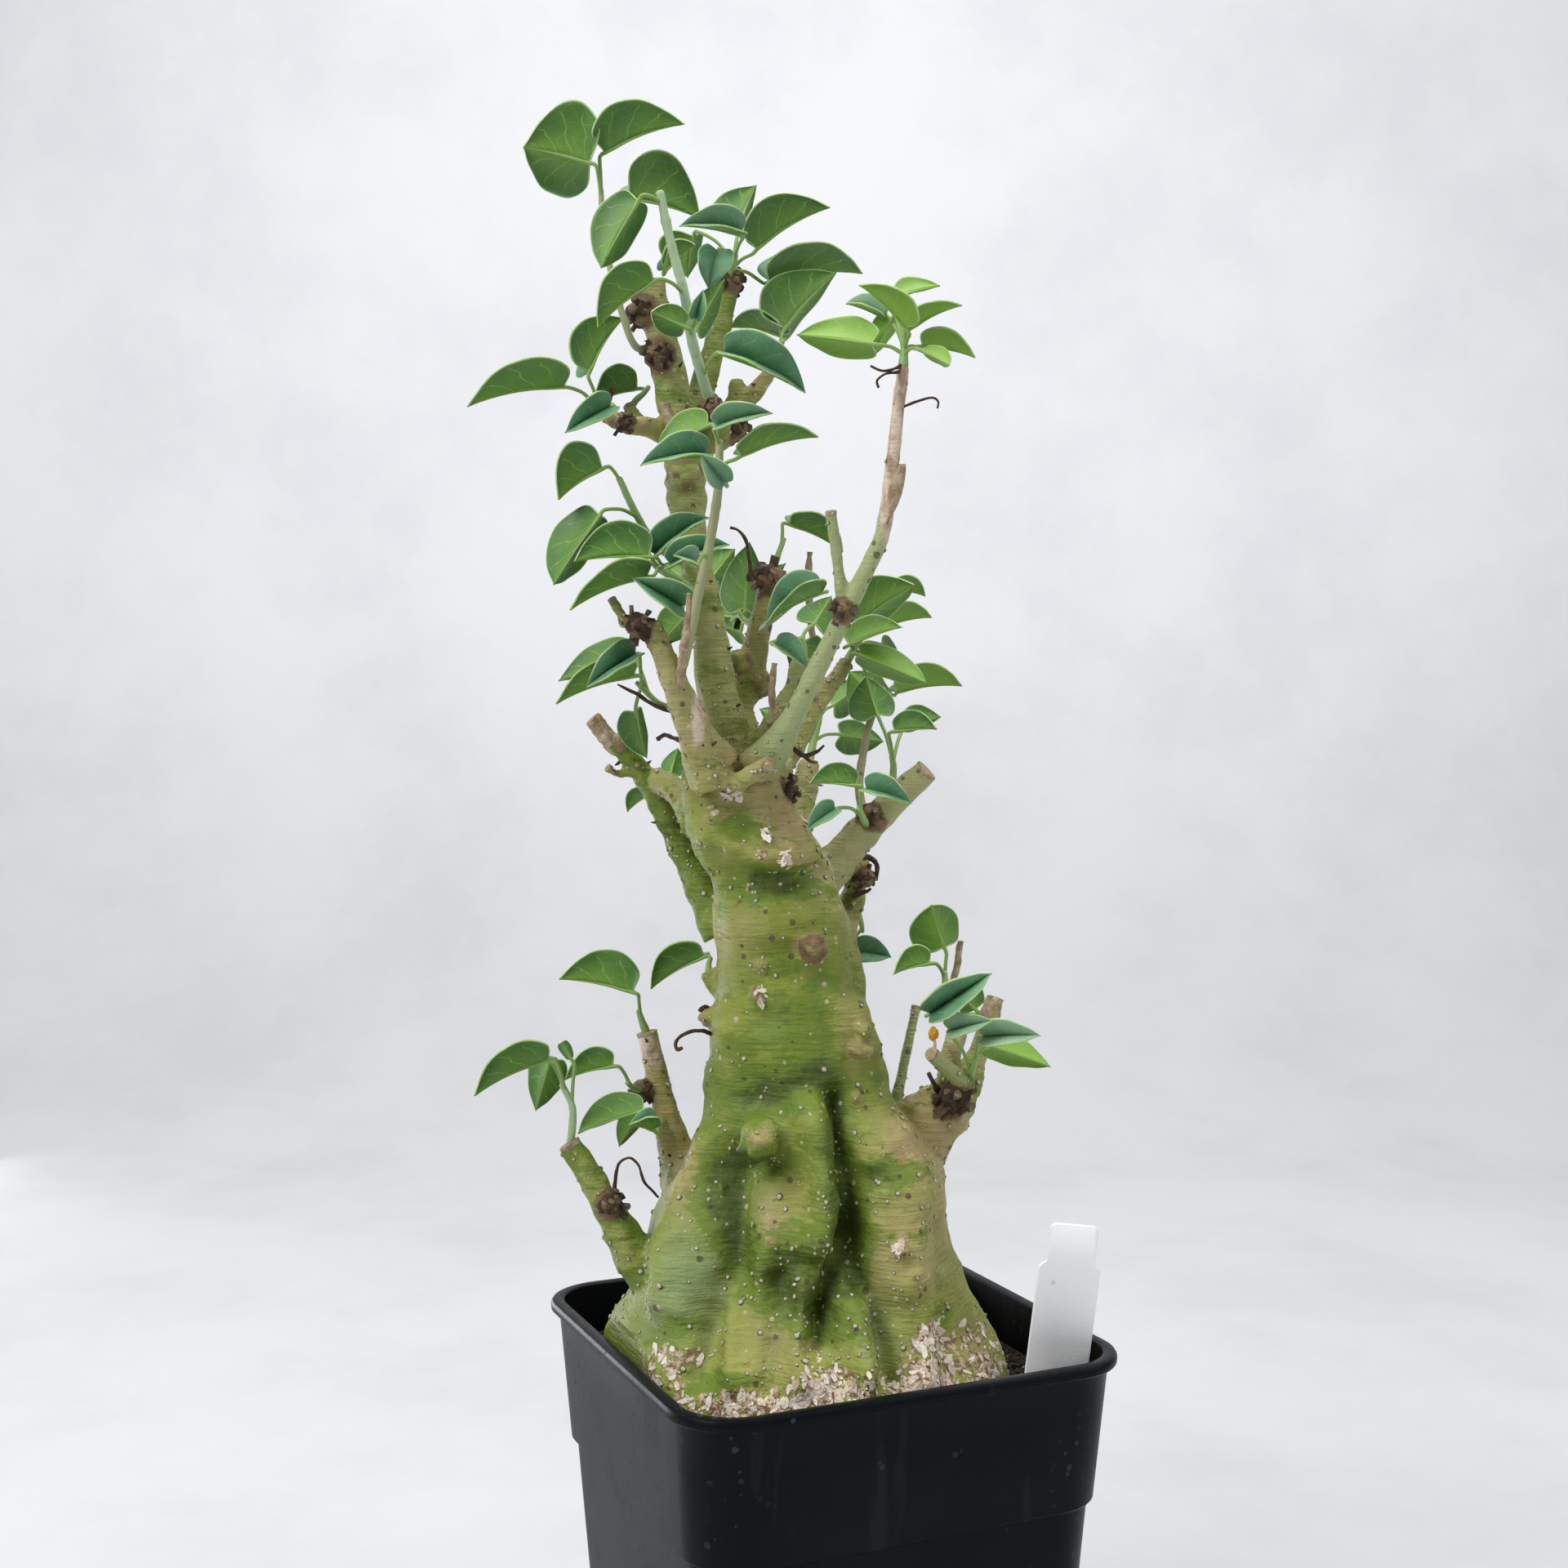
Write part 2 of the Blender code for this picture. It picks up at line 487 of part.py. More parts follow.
def material(name):
    """The named material, made once."""
    if name in bpy.data.materials:
        return bpy.data.materials[name]
    colour, roughness = COLOURS[name]
    made = bpy.data.materials.new(name)
    made.use_nodes = True
    shader = made.node_tree.nodes["Principled BSDF"]
    shader.inputs["Base Color"].default_value = (*colour, 1.0)
    shader.inputs["Roughness"].default_value = roughness
    made.diffuse_color = (*colour, 1.0)
    return made


def seen(px, py, depth):
    """The point at a depth behind the pot's middle that the front view shows at a pixel."""
    u = (px - VIEW_MIDDLE) / VIEW_FOCAL
    v = (VIEW_MIDDLE - py) / VIEW_FOCAL
    forward = math.cos(VIEW_PITCH) - v * math.sin(VIEW_PITCH)
    up = math.sin(VIEW_PITCH) + v * math.cos(VIEW_PITCH)
    reach = (VIEW_DISTANCE + depth) / forward
    return np.array((VIEW_SIDE + u * reach, depth, POT_HEIGHT + VIEW_RISE + up * reach))


def shown_at(point):
    """The pixel of the front view that shows a point."""
    x = point[0] - VIEW_SIDE
    y = point[1] + VIEW_DISTANCE
    z = point[2] - POT_HEIGHT - VIEW_RISE
    along = y * math.cos(VIEW_PITCH) + z * math.sin(VIEW_PITCH)
    rise = z * math.cos(VIEW_PITCH) - y * math.sin(VIEW_PITCH)
    return VIEW_MIDDLE + VIEW_FOCAL * x / along, VIEW_MIDDLE - VIEW_FOCAL * rise / along


def unit(vector):
    """The vector at length one."""
    return vector / max(np.linalg.norm(vector), 1e-9)


def turned(x, y, angle):
    """A point turned about Z."""
    return x * math.cos(angle) - y * math.sin(angle), x * math.sin(angle) + y * math.cos(angle)


def smooth_line(points, step):
    """Rows of numbers resampled along a Catmull-Rom curve, about one step of length apart."""
    rows = [np.array(point, dtype=float) for point in points]
    padded = [2 * rows[0] - rows[1]] + rows + [2 * rows[-1] - rows[-2]]
    line = []
    for a, b, c, d in zip(padded, padded[1:], padded[2:], padded[3:]):
        count = max(1, int(round(np.linalg.norm((c - b)[:3]) / step)))
        for k in range(count):
            t = k / count
            line.append(0.5 * (2 * b + (c - a) * t + (2 * a - 5 * b + 4 * c - d) * t * t
                               + (3 * b - a - 3 * c + d) * t ** 3))
    line.append(rows[-1])
    return line


def add_object(name, vertices, faces, slot, collection):
    """A mesh object from millimetres, with its faces pointing out."""
    mesh = bpy.data.meshes.new(name)
    mesh.from_pydata([tuple(float(value) * MM for value in vertex) for vertex in vertices], [], faces)
    work = bmesh.new()
    work.from_mesh(mesh)
    bmesh.ops.recalc_face_normals(work, faces=work.faces)
    work.to_mesh(mesh)
    work.free()
    made = bpy.data.objects.new(name, mesh)
    mesh.materials.append(material(slot))
    collection.objects.link(made)
    return made


def apply_modifiers(target):
    """Turns a part's modifiers into its mesh."""
    shown = bpy.context.evaluated_depsgraph_get()
    shown.update()
    mesh = bpy.data.meshes.new_from_object(target.evaluated_get(shown))
    old = target.data
    target.modifiers.clear()
    target.data = mesh
    bpy.data.meshes.remove(old)


def loft(rings):
    """Vertices and faces of a closed solid through rings of equal count, with flat ends."""
    count = len(rings[0])
    vertices = [point for ring in rings for point in ring]
    faces = [tuple(range(count))]
    for k in range(len(rings) - 1):
        for i in range(count):
            j = (i + 1) % count
            faces.append((k * count + i, k * count + j, (k + 1) * count + j, (k + 1) * count + i))
    faces.append(tuple(range((len(rings) - 1) * count, len(rings) * count)))
    return vertices, faces


def tube(points, sides, step, squareness=0.0):
    """Rings of a tube along points with radii, twisting as little as it can."""
    line = smooth_line(points, step)
    centres = [row[:3] for row in line]
    across = None
    rings = []
    for k, row in enumerate(line):
        ahead = unit(centres[min(k + 1, len(line) - 1)] - centres[max(k - 1, 0)])
        if across is None:
            across = unit(np.cross(ahead, (0.31, 0.2, 0.93) if abs(ahead[2]) < 0.9 else (1.0, 0.1, 0.0)))
        across = unit(across - ahead * np.dot(across, ahead))
        other = np.cross(ahead, across)
        ring = []
        for i in range(sides):
            angle = 2 * math.pi * i / sides
            ring.append(row[:3] + row[3] * (math.cos(angle) * across + math.sin(angle) * other))
        rings.append(ring)
    return rings


def pot_side(z):
    """Half the outer width of the pot's wall at a height, below the lip."""
    step = STEP_IN if z < POT_HEIGHT - BAND_HEIGHT else 0.0
    return POT_SIDE / 2 - LIP_OUT - TAPER * (POT_HEIGHT - z) - step


def square_ring(half, corner, z, segments=4):
    """A rounded square at a height."""
    ring = []
    for quarter in range(4):
        middle = math.pi / 4 + quarter * math.pi / 2
        cx = (half - corner) * math.copysign(1, math.cos(middle))
        cy = (half - corner) * math.copysign(1, math.sin(middle))
        for k in range(segments + 1):
            angle = quarter * math.pi / 2 + k / segments * math.pi / 2
            ring.append((cx + corner * math.cos(angle), cy + corner * math.sin(angle), z))
    return ring


def make_pot(collection, cutters):
    """The hollow square pot with its lip, band, step and four drain holes."""
    step = POT_HEIGHT - BAND_HEIGHT
    wall = POT_CORNER - LIP_OUT
    outside = [(pot_side(0), wall - 3.5, 0.0), (pot_side(step - 0.01), wall - 1.5, step),
               (pot_side(step), wall, step + 0.8), (pot_side(POT_HEIGHT - LIP_HEIGHT), wall, POT_HEIGHT - LIP_HEIGHT),
               (POT_SIDE / 2, POT_CORNER, POT_HEIGHT - LIP_HEIGHT + 0.4), (POT_SIDE / 2, POT_CORNER, POT_HEIGHT - 0.6),
               (POT_SIDE / 2 - 0.6, POT_CORNER - 0.6, POT_HEIGHT)]
    inside = [(pot_side(POT_HEIGHT) - WALL, wall - WALL, POT_HEIGHT),
              (pot_side(step) - WALL, wall - WALL, step + 1.0),
              (pot_side(step - 0.01) - WALL, wall - 1.5 - WALL, step - 1.0),
              (pot_side(FLOOR) - WALL, wall - 3.5 - WALL, FLOOR)]
    rings = [square_ring(half, corner, z) for half, corner, z in outside + inside]
    pot = add_object("pot", *loft(rings), "pot", collection)
    for x in (-DRAIN_SPREAD, DRAIN_SPREAD):
        for y in (-DRAIN_SPREAD, DRAIN_SPREAD):
            bpy.ops.mesh.primitive_cylinder_add(
                vertices=16, radius=DRAIN_RADIUS * MM, depth=4 * FLOOR * MM, location=(x * MM, y * MM, FLOOR * MM / 2))
            cutter = bpy.context.object
            move_to(cutter, cutters)
            cutter.display_type = "WIRE"
            cutter.hide_render = True
    cut = pot.modifiers.new("drains", "BOOLEAN")
    cut.operation = "DIFFERENCE"
    cut.operand_type = "COLLECTION"
    cut.collection = cutters
    cut.solver = "EXACT"
    apply_modifiers(pot)
    for cutter in list(cutters.objects):
        bpy.data.objects.remove(cutter)
    return pot


def move_to(target, collection):
    """Moves an object into one collection only."""
    for holder in list(target.users_collection):
        holder.objects.unlink(target)
    collection.objects.link(target)


def caudex_rings(step):
    """Centre x, centre y, height, half width and half depth of rings up the caudex."""
    rows = []
    for row, left, right, depth, ratio in CAUDEX_ROWS:
        middle = seen((left + right) / 2, row, depth)
        half = (seen(right, row, depth)[0] - seen(left, row, depth)[0]) / 2
        rows.append((middle[2], middle[0], depth, half, half * ratio))
    base = rows[0]
    low = [(base[0] + drop, base[1], base[2], base[3] * share, base[4] * share) for drop, share in reversed(BURIED)]
    return smooth_line(low + rows, step)


def bump(px, py, relief):
    """Height of the relief at a pixel, in millimetres."""
    total = 0.0
    for route, width, height in relief:
        nearest = 1e9
        for (ax, ay), (bx, by) in zip(route, route[1:]):
            dx, dy = bx - ax, by - ay
            t = max(0.0, min(1.0, ((px - ax) * dx + (py - ay) * dy) / (dx * dx + dy * dy)))
            nearest = min(nearest, math.hypot(px - ax - t * dx, py - ay - t * dy))
        scaled = nearest / (4.7 * width)
        if scaled < 2.2:
            total += height * math.exp(-1.6 * scaled * scaled)
    return total


def inside_pot(x, y, z, centre):
    """A point of the caudex pulled in to stay clear of the pot's inner wall."""
    half = pot_side(z) - WALL - WALL_MARGIN
    corner = POT_CORNER - LIP_OUT - WALL - 1.5
    for _ in range(4):
        px, py = turned(x, y, -POT_TURN)
        dx, dy = abs(px) - half + corner, abs(py) - half + corner
        over = math.hypot(max(dx, 0), max(dy, 0)) + min(max(dx, dy), 0) - corner
        if over <= 0:
            break
        away = math.hypot(x - centre[0], y - centre[1])
        share = 1 - over / away
        x, y = centre[0] + (x - centre[0]) * share, centre[1] + (y - centre[1]) * share
    return x, y


def caudex_loft(step, sides, grow):
    """Rings of the trunk with its folds and lumps, grown outwards by some millimetres."""
    rings = []
    for z, cx, cy, half, deep in caudex_rings(step):
        ring = []
        for i in range(sides):
            angle = 2 * math.pi * i / sides
            out = np.array((math.cos(angle), math.sin(angle)))
            x, y = cx + half * out[0], cy + deep * out[1]
            facing = min(1.0, abs(out[1]) * 2.2)
            if out[1] < 0:
                height = bump(*shown_at((x, y, z)), FRONT_RELIEF)
            else:
                height = bump(*shown_at((2 * cx - x, 2 * cy - y, z)), BACK_RELIEF)
            height *= facing * min(1.0, half / 12) * max(0.0, min(1.0, (z - POT_HEIGHT + SOIL_DROP + 6) / 8))
            if grow:
                height = max(0.0, height)
            wave = 0.6 * math.sin(3 * angle + z / 17) + 0.4 * math.sin(5 * angle - z / 11 + 1)
            x, y = x + out[0] * (height + wave), y + out[1] * (height + wave)
            if z < POT_HEIGHT + 4:
                x, y = inside_pot(x, y, min(z, POT_HEIGHT), (cx, cy))
            ring.append((x + out[0] * grow, y + out[1] * grow, z))
        rings.append(ring)
    return rings


def make_knob(point, radius, index, collection):
    """A rough ball where a shoot was cut back."""
    bpy.ops.mesh.primitive_ico_sphere_add(subdivisions=3, radius=radius * MM)
    knob = bpy.context.object
    move_to(knob, collection)
    for vertex in knob.data.vertices:
        away = np.array(vertex.co) / (radius * MM)
        rough = math.sin(4.1 * away[0] + index) + math.sin(4.7 * away[1] + 2 * index) + math.sin(4.3 * away[2])
        vertex.co *= 1 + 0.09 * rough
    knob.location = [float(value) * MM for value in seen(*point)]
    return knob


def branch_points(name):
    """A branch's route in millimetres with its radius, a little uneven."""
    points = []
    for k, (px, py, depth, radius) in enumerate(BRANCHES[name]):
        points.append((*seen(px, py, depth), radius))
    return points


def make_caudex(collection):
    """Trunk, branches and knobs joined into one grown solid."""
    wood = []
    top = caudex_loft(2.2, 88, 0.0)
    wood.append(add_object("trunk", *loft(top), "skin", collection))
    for name in BRANCHES:
        wood.append(add_object(name, *loft(tube(branch_points(name), 14, 2.0)), "skin", collection))
    for index, (px, py, depth, radius) in enumerate(KNOBS):
        if radius > 0:
            wood.append(make_knob((px, py, depth), radius, index, collection))
    caudex = join_all(wood, "caudex")
    caudex.data.materials.clear()
    caudex.data.materials.append(material("skin"))
    remesh = caudex.modifiers.new("grown", "REMESH")
    remesh.mode = "VOXEL"
    remesh.voxel_size = GRAIN * MM
    soften = caudex.modifiers.new("soften", "SMOOTH")
    soften.factor = 0.5
    soften.iterations = 3
    apply_modifiers(caudex)
    count = sum(len(face.vertices) - 2 for face in caudex.data.polygons)
    thin = caudex.modifiers.new("thin", "DECIMATE")
    thin.ratio = CAUDEX_TRIANGLES / count
    apply_modifiers(caudex)
    caudex.data.materials.clear()
    caudex.data.materials.append(material("skin"))
    keep_largest(caudex)
    return caudex


def join_all(pieces, name):
    """Puts several meshes into the first one's object, each at its place."""
    work = bmesh.new()
    for piece in pieces:
        part = piece.data.copy()
        part.transform(piece.matrix_basis)
        work.from_mesh(part)
        bpy.data.meshes.remove(part)
    first = pieces[0]
    for piece in pieces[1:]:
        bpy.data.objects.remove(piece)
    work.to_mesh(first.data)
    work.free()
    first.name = name
    first.data.name = name
    return first


def make_label(name, grow, collection):
    """The blank plant label, a stake with a narrower head and a pointed foot."""
    half, head = LABEL_WIDTH / 2 + grow, LABEL_HEAD_WIDTH / 2 + grow
    top = LABEL_LENGTH - LABEL_BURIED + grow
    low = -LABEL_BURIED - grow
    outline = [(-1.5 - grow, low), (1.5 + grow, low), (half, low + 16), (half, top - LABEL_HEAD - 1.2),
               (head, top - LABEL_HEAD), (head, top - 1.5), (head - 1.5, top), (-head + 1.5, top), (-head, top - 1.5),
               (-head, top - LABEL_HEAD), (-half, top - LABEL_HEAD - 1.2), (-half, low + 16)]
    rings = []
    for y in (-LABEL_THICK / 2 - grow, LABEL_THICK / 2 + grow):
        ring = []
        for x, z in outline:
            x, z = turned(x, z, -LABEL_LEAN)
            x, away = turned(x, y - 0.04 * z, math.radians(6))
            ring.append((LABEL_FOOT[0] + x, LABEL_FOOT[1] + away, POT_HEIGHT - SOIL_DROP + z))
        rings.append(ring)
    return add_object(name, *loft(rings), "label", collection)


def make_soil(collection, cutters):
    """Soil that fills the pot, with holes for the caudex and the label."""
    step = POT_HEIGHT - BAND_HEIGHT
    top = POT_HEIGHT - SOIL_DROP
    corner = POT_CORNER - LIP_OUT - WALL
    rings = []
    for z, trim in ((FLOOR + FIT, 3.5), (step - 1.2, 1.5), (step + 1.4, 0.0), (top, 0.0)):
        half = pot_side(z) - WALL - FIT
        rings.append([(*turned(x, y, POT_TURN), z) for x, y, z in square_ring(half, corner - trim - FIT, z)])
    soil = add_object("soil", *loft(rings), "soil", collection)
    hole = caudex_loft(4.0, 48, CAUDEX_FIT)
    hole = [ring for ring in hole if ring[0][2] < top + 12]
    bottom = [(x, y, z - CAUDEX_FIT) for x, y, z in hole[0]]
    add_object("caudex_hole", *loft([bottom] + hole[1:]), "soil", cutters)
    make_label("label_hole", FIT, cutters)
    cut = soil.modifiers.new("holes", "BOOLEAN")
    cut.operation = "DIFFERENCE"
    cut.operand_type = "COLLECTION"
    cut.collection = cutters
    cut.solver = "EXACT"
    apply_modifiers(soil)
    for cutter in list(cutters.objects):
        bpy.data.objects.remove(cutter)
    return soil


def blade_frame(leaf):
    """Foot, tip, directions of the two halves, half width and upper side of a leaf's blade."""
    _, foot, tip, left, right, foot_depth, tip_depth, lie = leaf
    start, end = seen(*foot, foot_depth), seen(*tip, tip_depth)
    camera = np.array((VIEW_SIDE, -VIEW_DISTANCE, POT_HEIGHT + VIEW_RISE))
    ahead = unit(end - start)
    toward = unit(camera - (start + end) / 2)
    toward = unit(toward - ahead * np.dot(toward, ahead))
    side = np.cross(toward, ahead)
    scale = (VIEW_DISTANCE + foot_depth) / VIEW_FOCAL
    reaches = [left * scale, right * scale]
    width = max(HALF_WIDTH * np.linalg.norm(end - start), 1.04 * max(abs(reach) for reach in reaches))
    halves = []
    for which, reach in enumerate(reaches):
        lean = math.sqrt(max(0.0, 1 - (reach / width) ** 2))
        if lie == "back" or (lie == "fold" and abs(reach) < max(abs(value) for value in reaches)):
            lean = -lean
        sign = 1 if which == 0 else -1
        halves.append(unit(side * sign * reach / width + toward * lean))
    opening = halves[0] + halves[1]
    if np.dot(halves[0], halves[1]) > math.cos(LEAST_FOLD):
        apart = unit(halves[0] - halves[1]) * math.sin(LEAST_FOLD / 2)
        middle = unit(opening) * math.cos(LEAST_FOLD / 2)
        halves = [middle + apart, middle - apart]
    if np.linalg.norm(opening) < 0.35:
        upper = -toward if lie == "back" else toward
    else:
        upper = unit(opening)
    return start, end, halves, width, upper


def make_leaf(leaf, places, name, collection):
    """A leaf as one closed solid that starts at one of the places and doesn't cross itself."""
    for low, back, under in [(low, back, under) for low in (0, 5, 11) for back in (1.6, 2.4) for under in (0.5, 1.3)]:
        vertices, solid = leaf_solid(leaf, places[min(low, len(places) - 1)], back, under)
        if not crosses_itself(vertices, solid):
            break
    return add_object(name, vertices, solid, "leaf", collection)


def crosses_itself(vertices, faces):
    """Whether two faces that share no corner meet."""
    triangles = [(face[0], face[k], face[k + 1]) for face in faces for k in range(1, len(face) - 1)]
    tree = BVHTree.FromPolygons([tuple(float(value) for value in vertex) for vertex in vertices], triangles)
    return any(not set(triangles[a]) & set(triangles[b]) for a, b in tree.overlap(tree))


def leaf_solid(leaf, begin, back, under):
    """Corners and faces of a blade folded along its midrib with its petiole from a point."""
    start, end, halves, width, upper = blade_frame(leaf)
    length = np.linalg.norm(end - start)

    def rib(t):
        """A place along the arched midrib."""
        return start + (end - start) * t + upper * length * 0.22 * t * (1 - t)

    points = [rib(0.0)]
    normals = [upper]
    outline = LOBED if length > 11 else LOBED[:2] + LOBED[3:]
    for t, along, reach in outline:
        points += [rib(t), rib(along) + halves[0] * width * reach, rib(along) + halves[1] * width * reach]
        normals += [upper] + [unit(upper - half * np.dot(upper, half)) for half in halves]
    points.append(rib(1.0))
    normals.append(upper)
    last = len(points) - 1
    count = len(points)
    faces = [(0, 1, 2), (0, 3, 1)]
    for k in range(len(outline) - 1):
        a, b = 1 + 3 * k, 4 + 3 * k
        faces += [(a, b, b + 1, a + 1), (a, a + 2, b + 2, b)]
    faces += [(last - 3, last, last - 2), (last - 3, last - 1, last)]
    vertices = [point + normal * BLADE_THICK / 2 for point, normal in zip(points, normals)]
    vertices += [point - normal * BLADE_THICK / 2 for point, normal in zip(points, normals)]
    solid = list(faces) + [tuple(count + index for index in reversed(face)) for face in faces]
    loop = [2 + 3 * k for k in range(len(outline))] + [last] + [3 + 3 * k for k in reversed(range(len(outline)))]
    for a, b in zip(loop, loop[1:]):
        solid.append((a, b, count + b, count + a))
    across = unit(halves[1] - halves[0])
    ahead = unit(end - start)
    away = np.linalg.norm(start - begin)
    neck = start - ahead * max(1.5, min(back, 0.35 * away)) - upper * min(under, 0.3 * away)
    bow = (begin + neck) / 2 + np.array((0, 0, 0.08 * away))
    ring = [0, len(vertices), count, len(vertices) + 1]
    behind = start - ahead * 0.9
    vertices += [behind - across * PETIOLE_RADIUS, behind + across * PETIOLE_RADIUS]
    solid += [(0, 2, ring[1]), (2, count + 2, ring[1]), (count + 2, count, ring[1])]
    solid += [(0, ring[3], 3), (3, ring[3], count + 3), (count + 3, ring[3], count)]
    previous = start
    turn = math.copysign(1, np.dot(np.cross(across, ahead), upper))
    for centre in (neck, bow, begin):
        along = unit(previous - centre)
        across = unit(across - along * np.dot(across, along))
        rise = np.cross(across, along) * turn
        fresh = [len(vertices) + k for k in range(4)]
        for push in (rise, -across, -rise, across):
            vertices.append(centre + push * PETIOLE_RADIUS)
        solid += [(ring[k], fresh[k], fresh[(k + 1) % 4], ring[(k + 1) % 4]) for k in range(4)]
        ring = fresh
        previous = centre
    solid.append(tuple(ring))
    return vertices, solid


def make_shoot(name, shoot, caudex_tree, collection, cutters):
    """A leafy shoot: stem, petioles and blades fused, its foot just clear of the branch."""
    radius = shoot["radius"]
    route = [seen(*point) for point in shoot["stem"]]
    points = [(*point, radius * (1 - 0.3 * k / (len(route) - 1))) for k, point in enumerate(route)]
    line = smooth_line(points, 0.4)
    first = clear_start(line, caudex_tree)
    stem = add_object(name, *loft(tube(thinned(line[first:]), 6, 90.0)), "leaf", collection)
    for index, leaf in enumerate(shoot["leaves"]):
        places = petiole_starts(leaf, route[leaf[0]], line[min(first + 5, len(line) - 4):-2])
        make_leaf(leaf, places, name + "_" + str(index), cutters)
    fuse_all(stem, cutters)
    for piece in list(cutters.objects):
        bpy.data.objects.remove(piece)
    return stem


def petiole_starts(leaf, origin, places):
    """Places on the stem, the ones first from which the petiole reaches the blade from behind."""
    start, end = blade_frame(leaf)[:2]
    ahead = unit(end - start)

    def cost(place):
        """Distance from the origin, and more for coming in from the side or the front."""
        behind = np.dot(unit(start - place[:3]), ahead)
        return np.linalg.norm(place[:3] - origin) + 14 * max(0.0, 0.5 - behind)

    return [place[:3] for place in sorted(places, key=cost)]


def fuse_all(stem, pieces):
    """Unites a stem with every leaf, by whichever solver gives one closed body."""
    plain = stem.data.copy()
    for solver, own in (("EXACT", False), ("MANIFOLD", False), ("EXACT", True)):
        stem.data = plain.copy()
        fuse = stem.modifiers.new("fuse", "BOOLEAN")
        fuse.operation = "UNION"
        fuse.operand_type = "COLLECTION"
        fuse.collection = pieces
        fuse.solver = solver
        fuse.use_self = own
        apply_modifiers(stem)
        keep_largest(stem)
        if open_edges(stem) == 0:
            break
    stem.data.materials.clear()
    stem.data.materials.append(material("leaf"))


def open_edges(target):
    """How many edges of a mesh don't have exactly two faces."""
    work = bmesh.new()
    work.from_mesh(target.data)
    count = sum(1 for edge in work.edges if not edge.is_manifold)
    work.free()
    return count


def thinned(line):
    """The line with a point each few millimetres, ends kept."""
    count = max(1, int(round(len(line) / 12)))
    return [line[int(round(k * (len(line) - 1) / count))] for k in range(count + 1)]


def keep_largest(target):
    """Removes slivers, and specks that aren't joined to the main body."""
    work = bmesh.new()
    work.from_mesh(target.data)
    bmesh.ops.triangulate(work, faces=work.faces)
    bmesh.ops.dissolve_degenerate(work, dist=0.001 * MM, edges=work.edges)
    bmesh.ops.triangulate(work, faces=work.faces)
    left = set(work.verts)
    groups = []
    while left:
        group = {left.pop()}
        front = list(group)
        while front:
            vertex = front.pop()
            for edge in vertex.link_edges:
                other = edge.other_vert(vertex)
                if other in left:
                    left.discard(other)
                    group.add(other)
                    front.append(other)
        groups.append(group)
    groups.sort(key=len)
    for group in groups[:-1]:
        bmesh.ops.delete(work, geom=list(group), context="VERTS")
    work.to_mesh(target.data)
    work.free()


def clear_start(line, tree):
    """The first place along a stem whose whole end stands clear of the caudex."""
    for k in range(len(line) - 2):
        ahead = unit(line[k + 1][:3] - line[k][:3])
        across = unit(np.cross(ahead, (0.3, 0.2, 0.9)))
        other = np.cross(ahead, across)
        clear = True
        for i in range(12):
            angle = 2 * math.pi * i / 12
            rim = line[k][:3] + line[k][3] * (math.cos(angle) * across + math.sin(angle) * other)
            place, normal, _, distance = tree.find_nearest(Vector([float(value) for value in rim]) * MM)
            outward = (Vector([float(value) for value in rim]) * MM - place).dot(normal)
            if outward < 0 or distance < FIT * MM:
                clear = False
        if clear:
            return k
    return 0


def main():
    """Builds every piece, then turns the plant to stand in the pot."""
    for old in list(bpy.data.objects):
        bpy.data.objects.remove(old)
    scene = bpy.context.scene
    parts = bpy.data.collections.new("potted_adenia")
    cutters = bpy.data.collections.new("cutters")
    scene.collection.children.link(parts)
    scene.collection.children.link(cutters)
    cutters.hide_render = True
    make_pot(parts, cutters)
    plant = [make_soil(parts, cutters), make_label("label", 0.0, parts)]
    caudex = make_caudex(parts)
    tree = BVHTree.FromObject(caudex, bpy.context.evaluated_depsgraph_get())
    plant.append(caudex)
    for name, shoot in SHOOTS.items():
        plant.append(make_shoot(name, shoot, tree, parts, cutters))
    turn = Matrix.Rotation(-POT_TURN, 4, "Z")
    for piece in plant:
        piece.data.transform(turn)
        piece.data.update()


main()
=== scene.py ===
import json
import math
import random

import bmesh
import bpy
import numpy as np
from mathutils import Matrix, Vector, noise
from mathutils.kdtree import KDTree

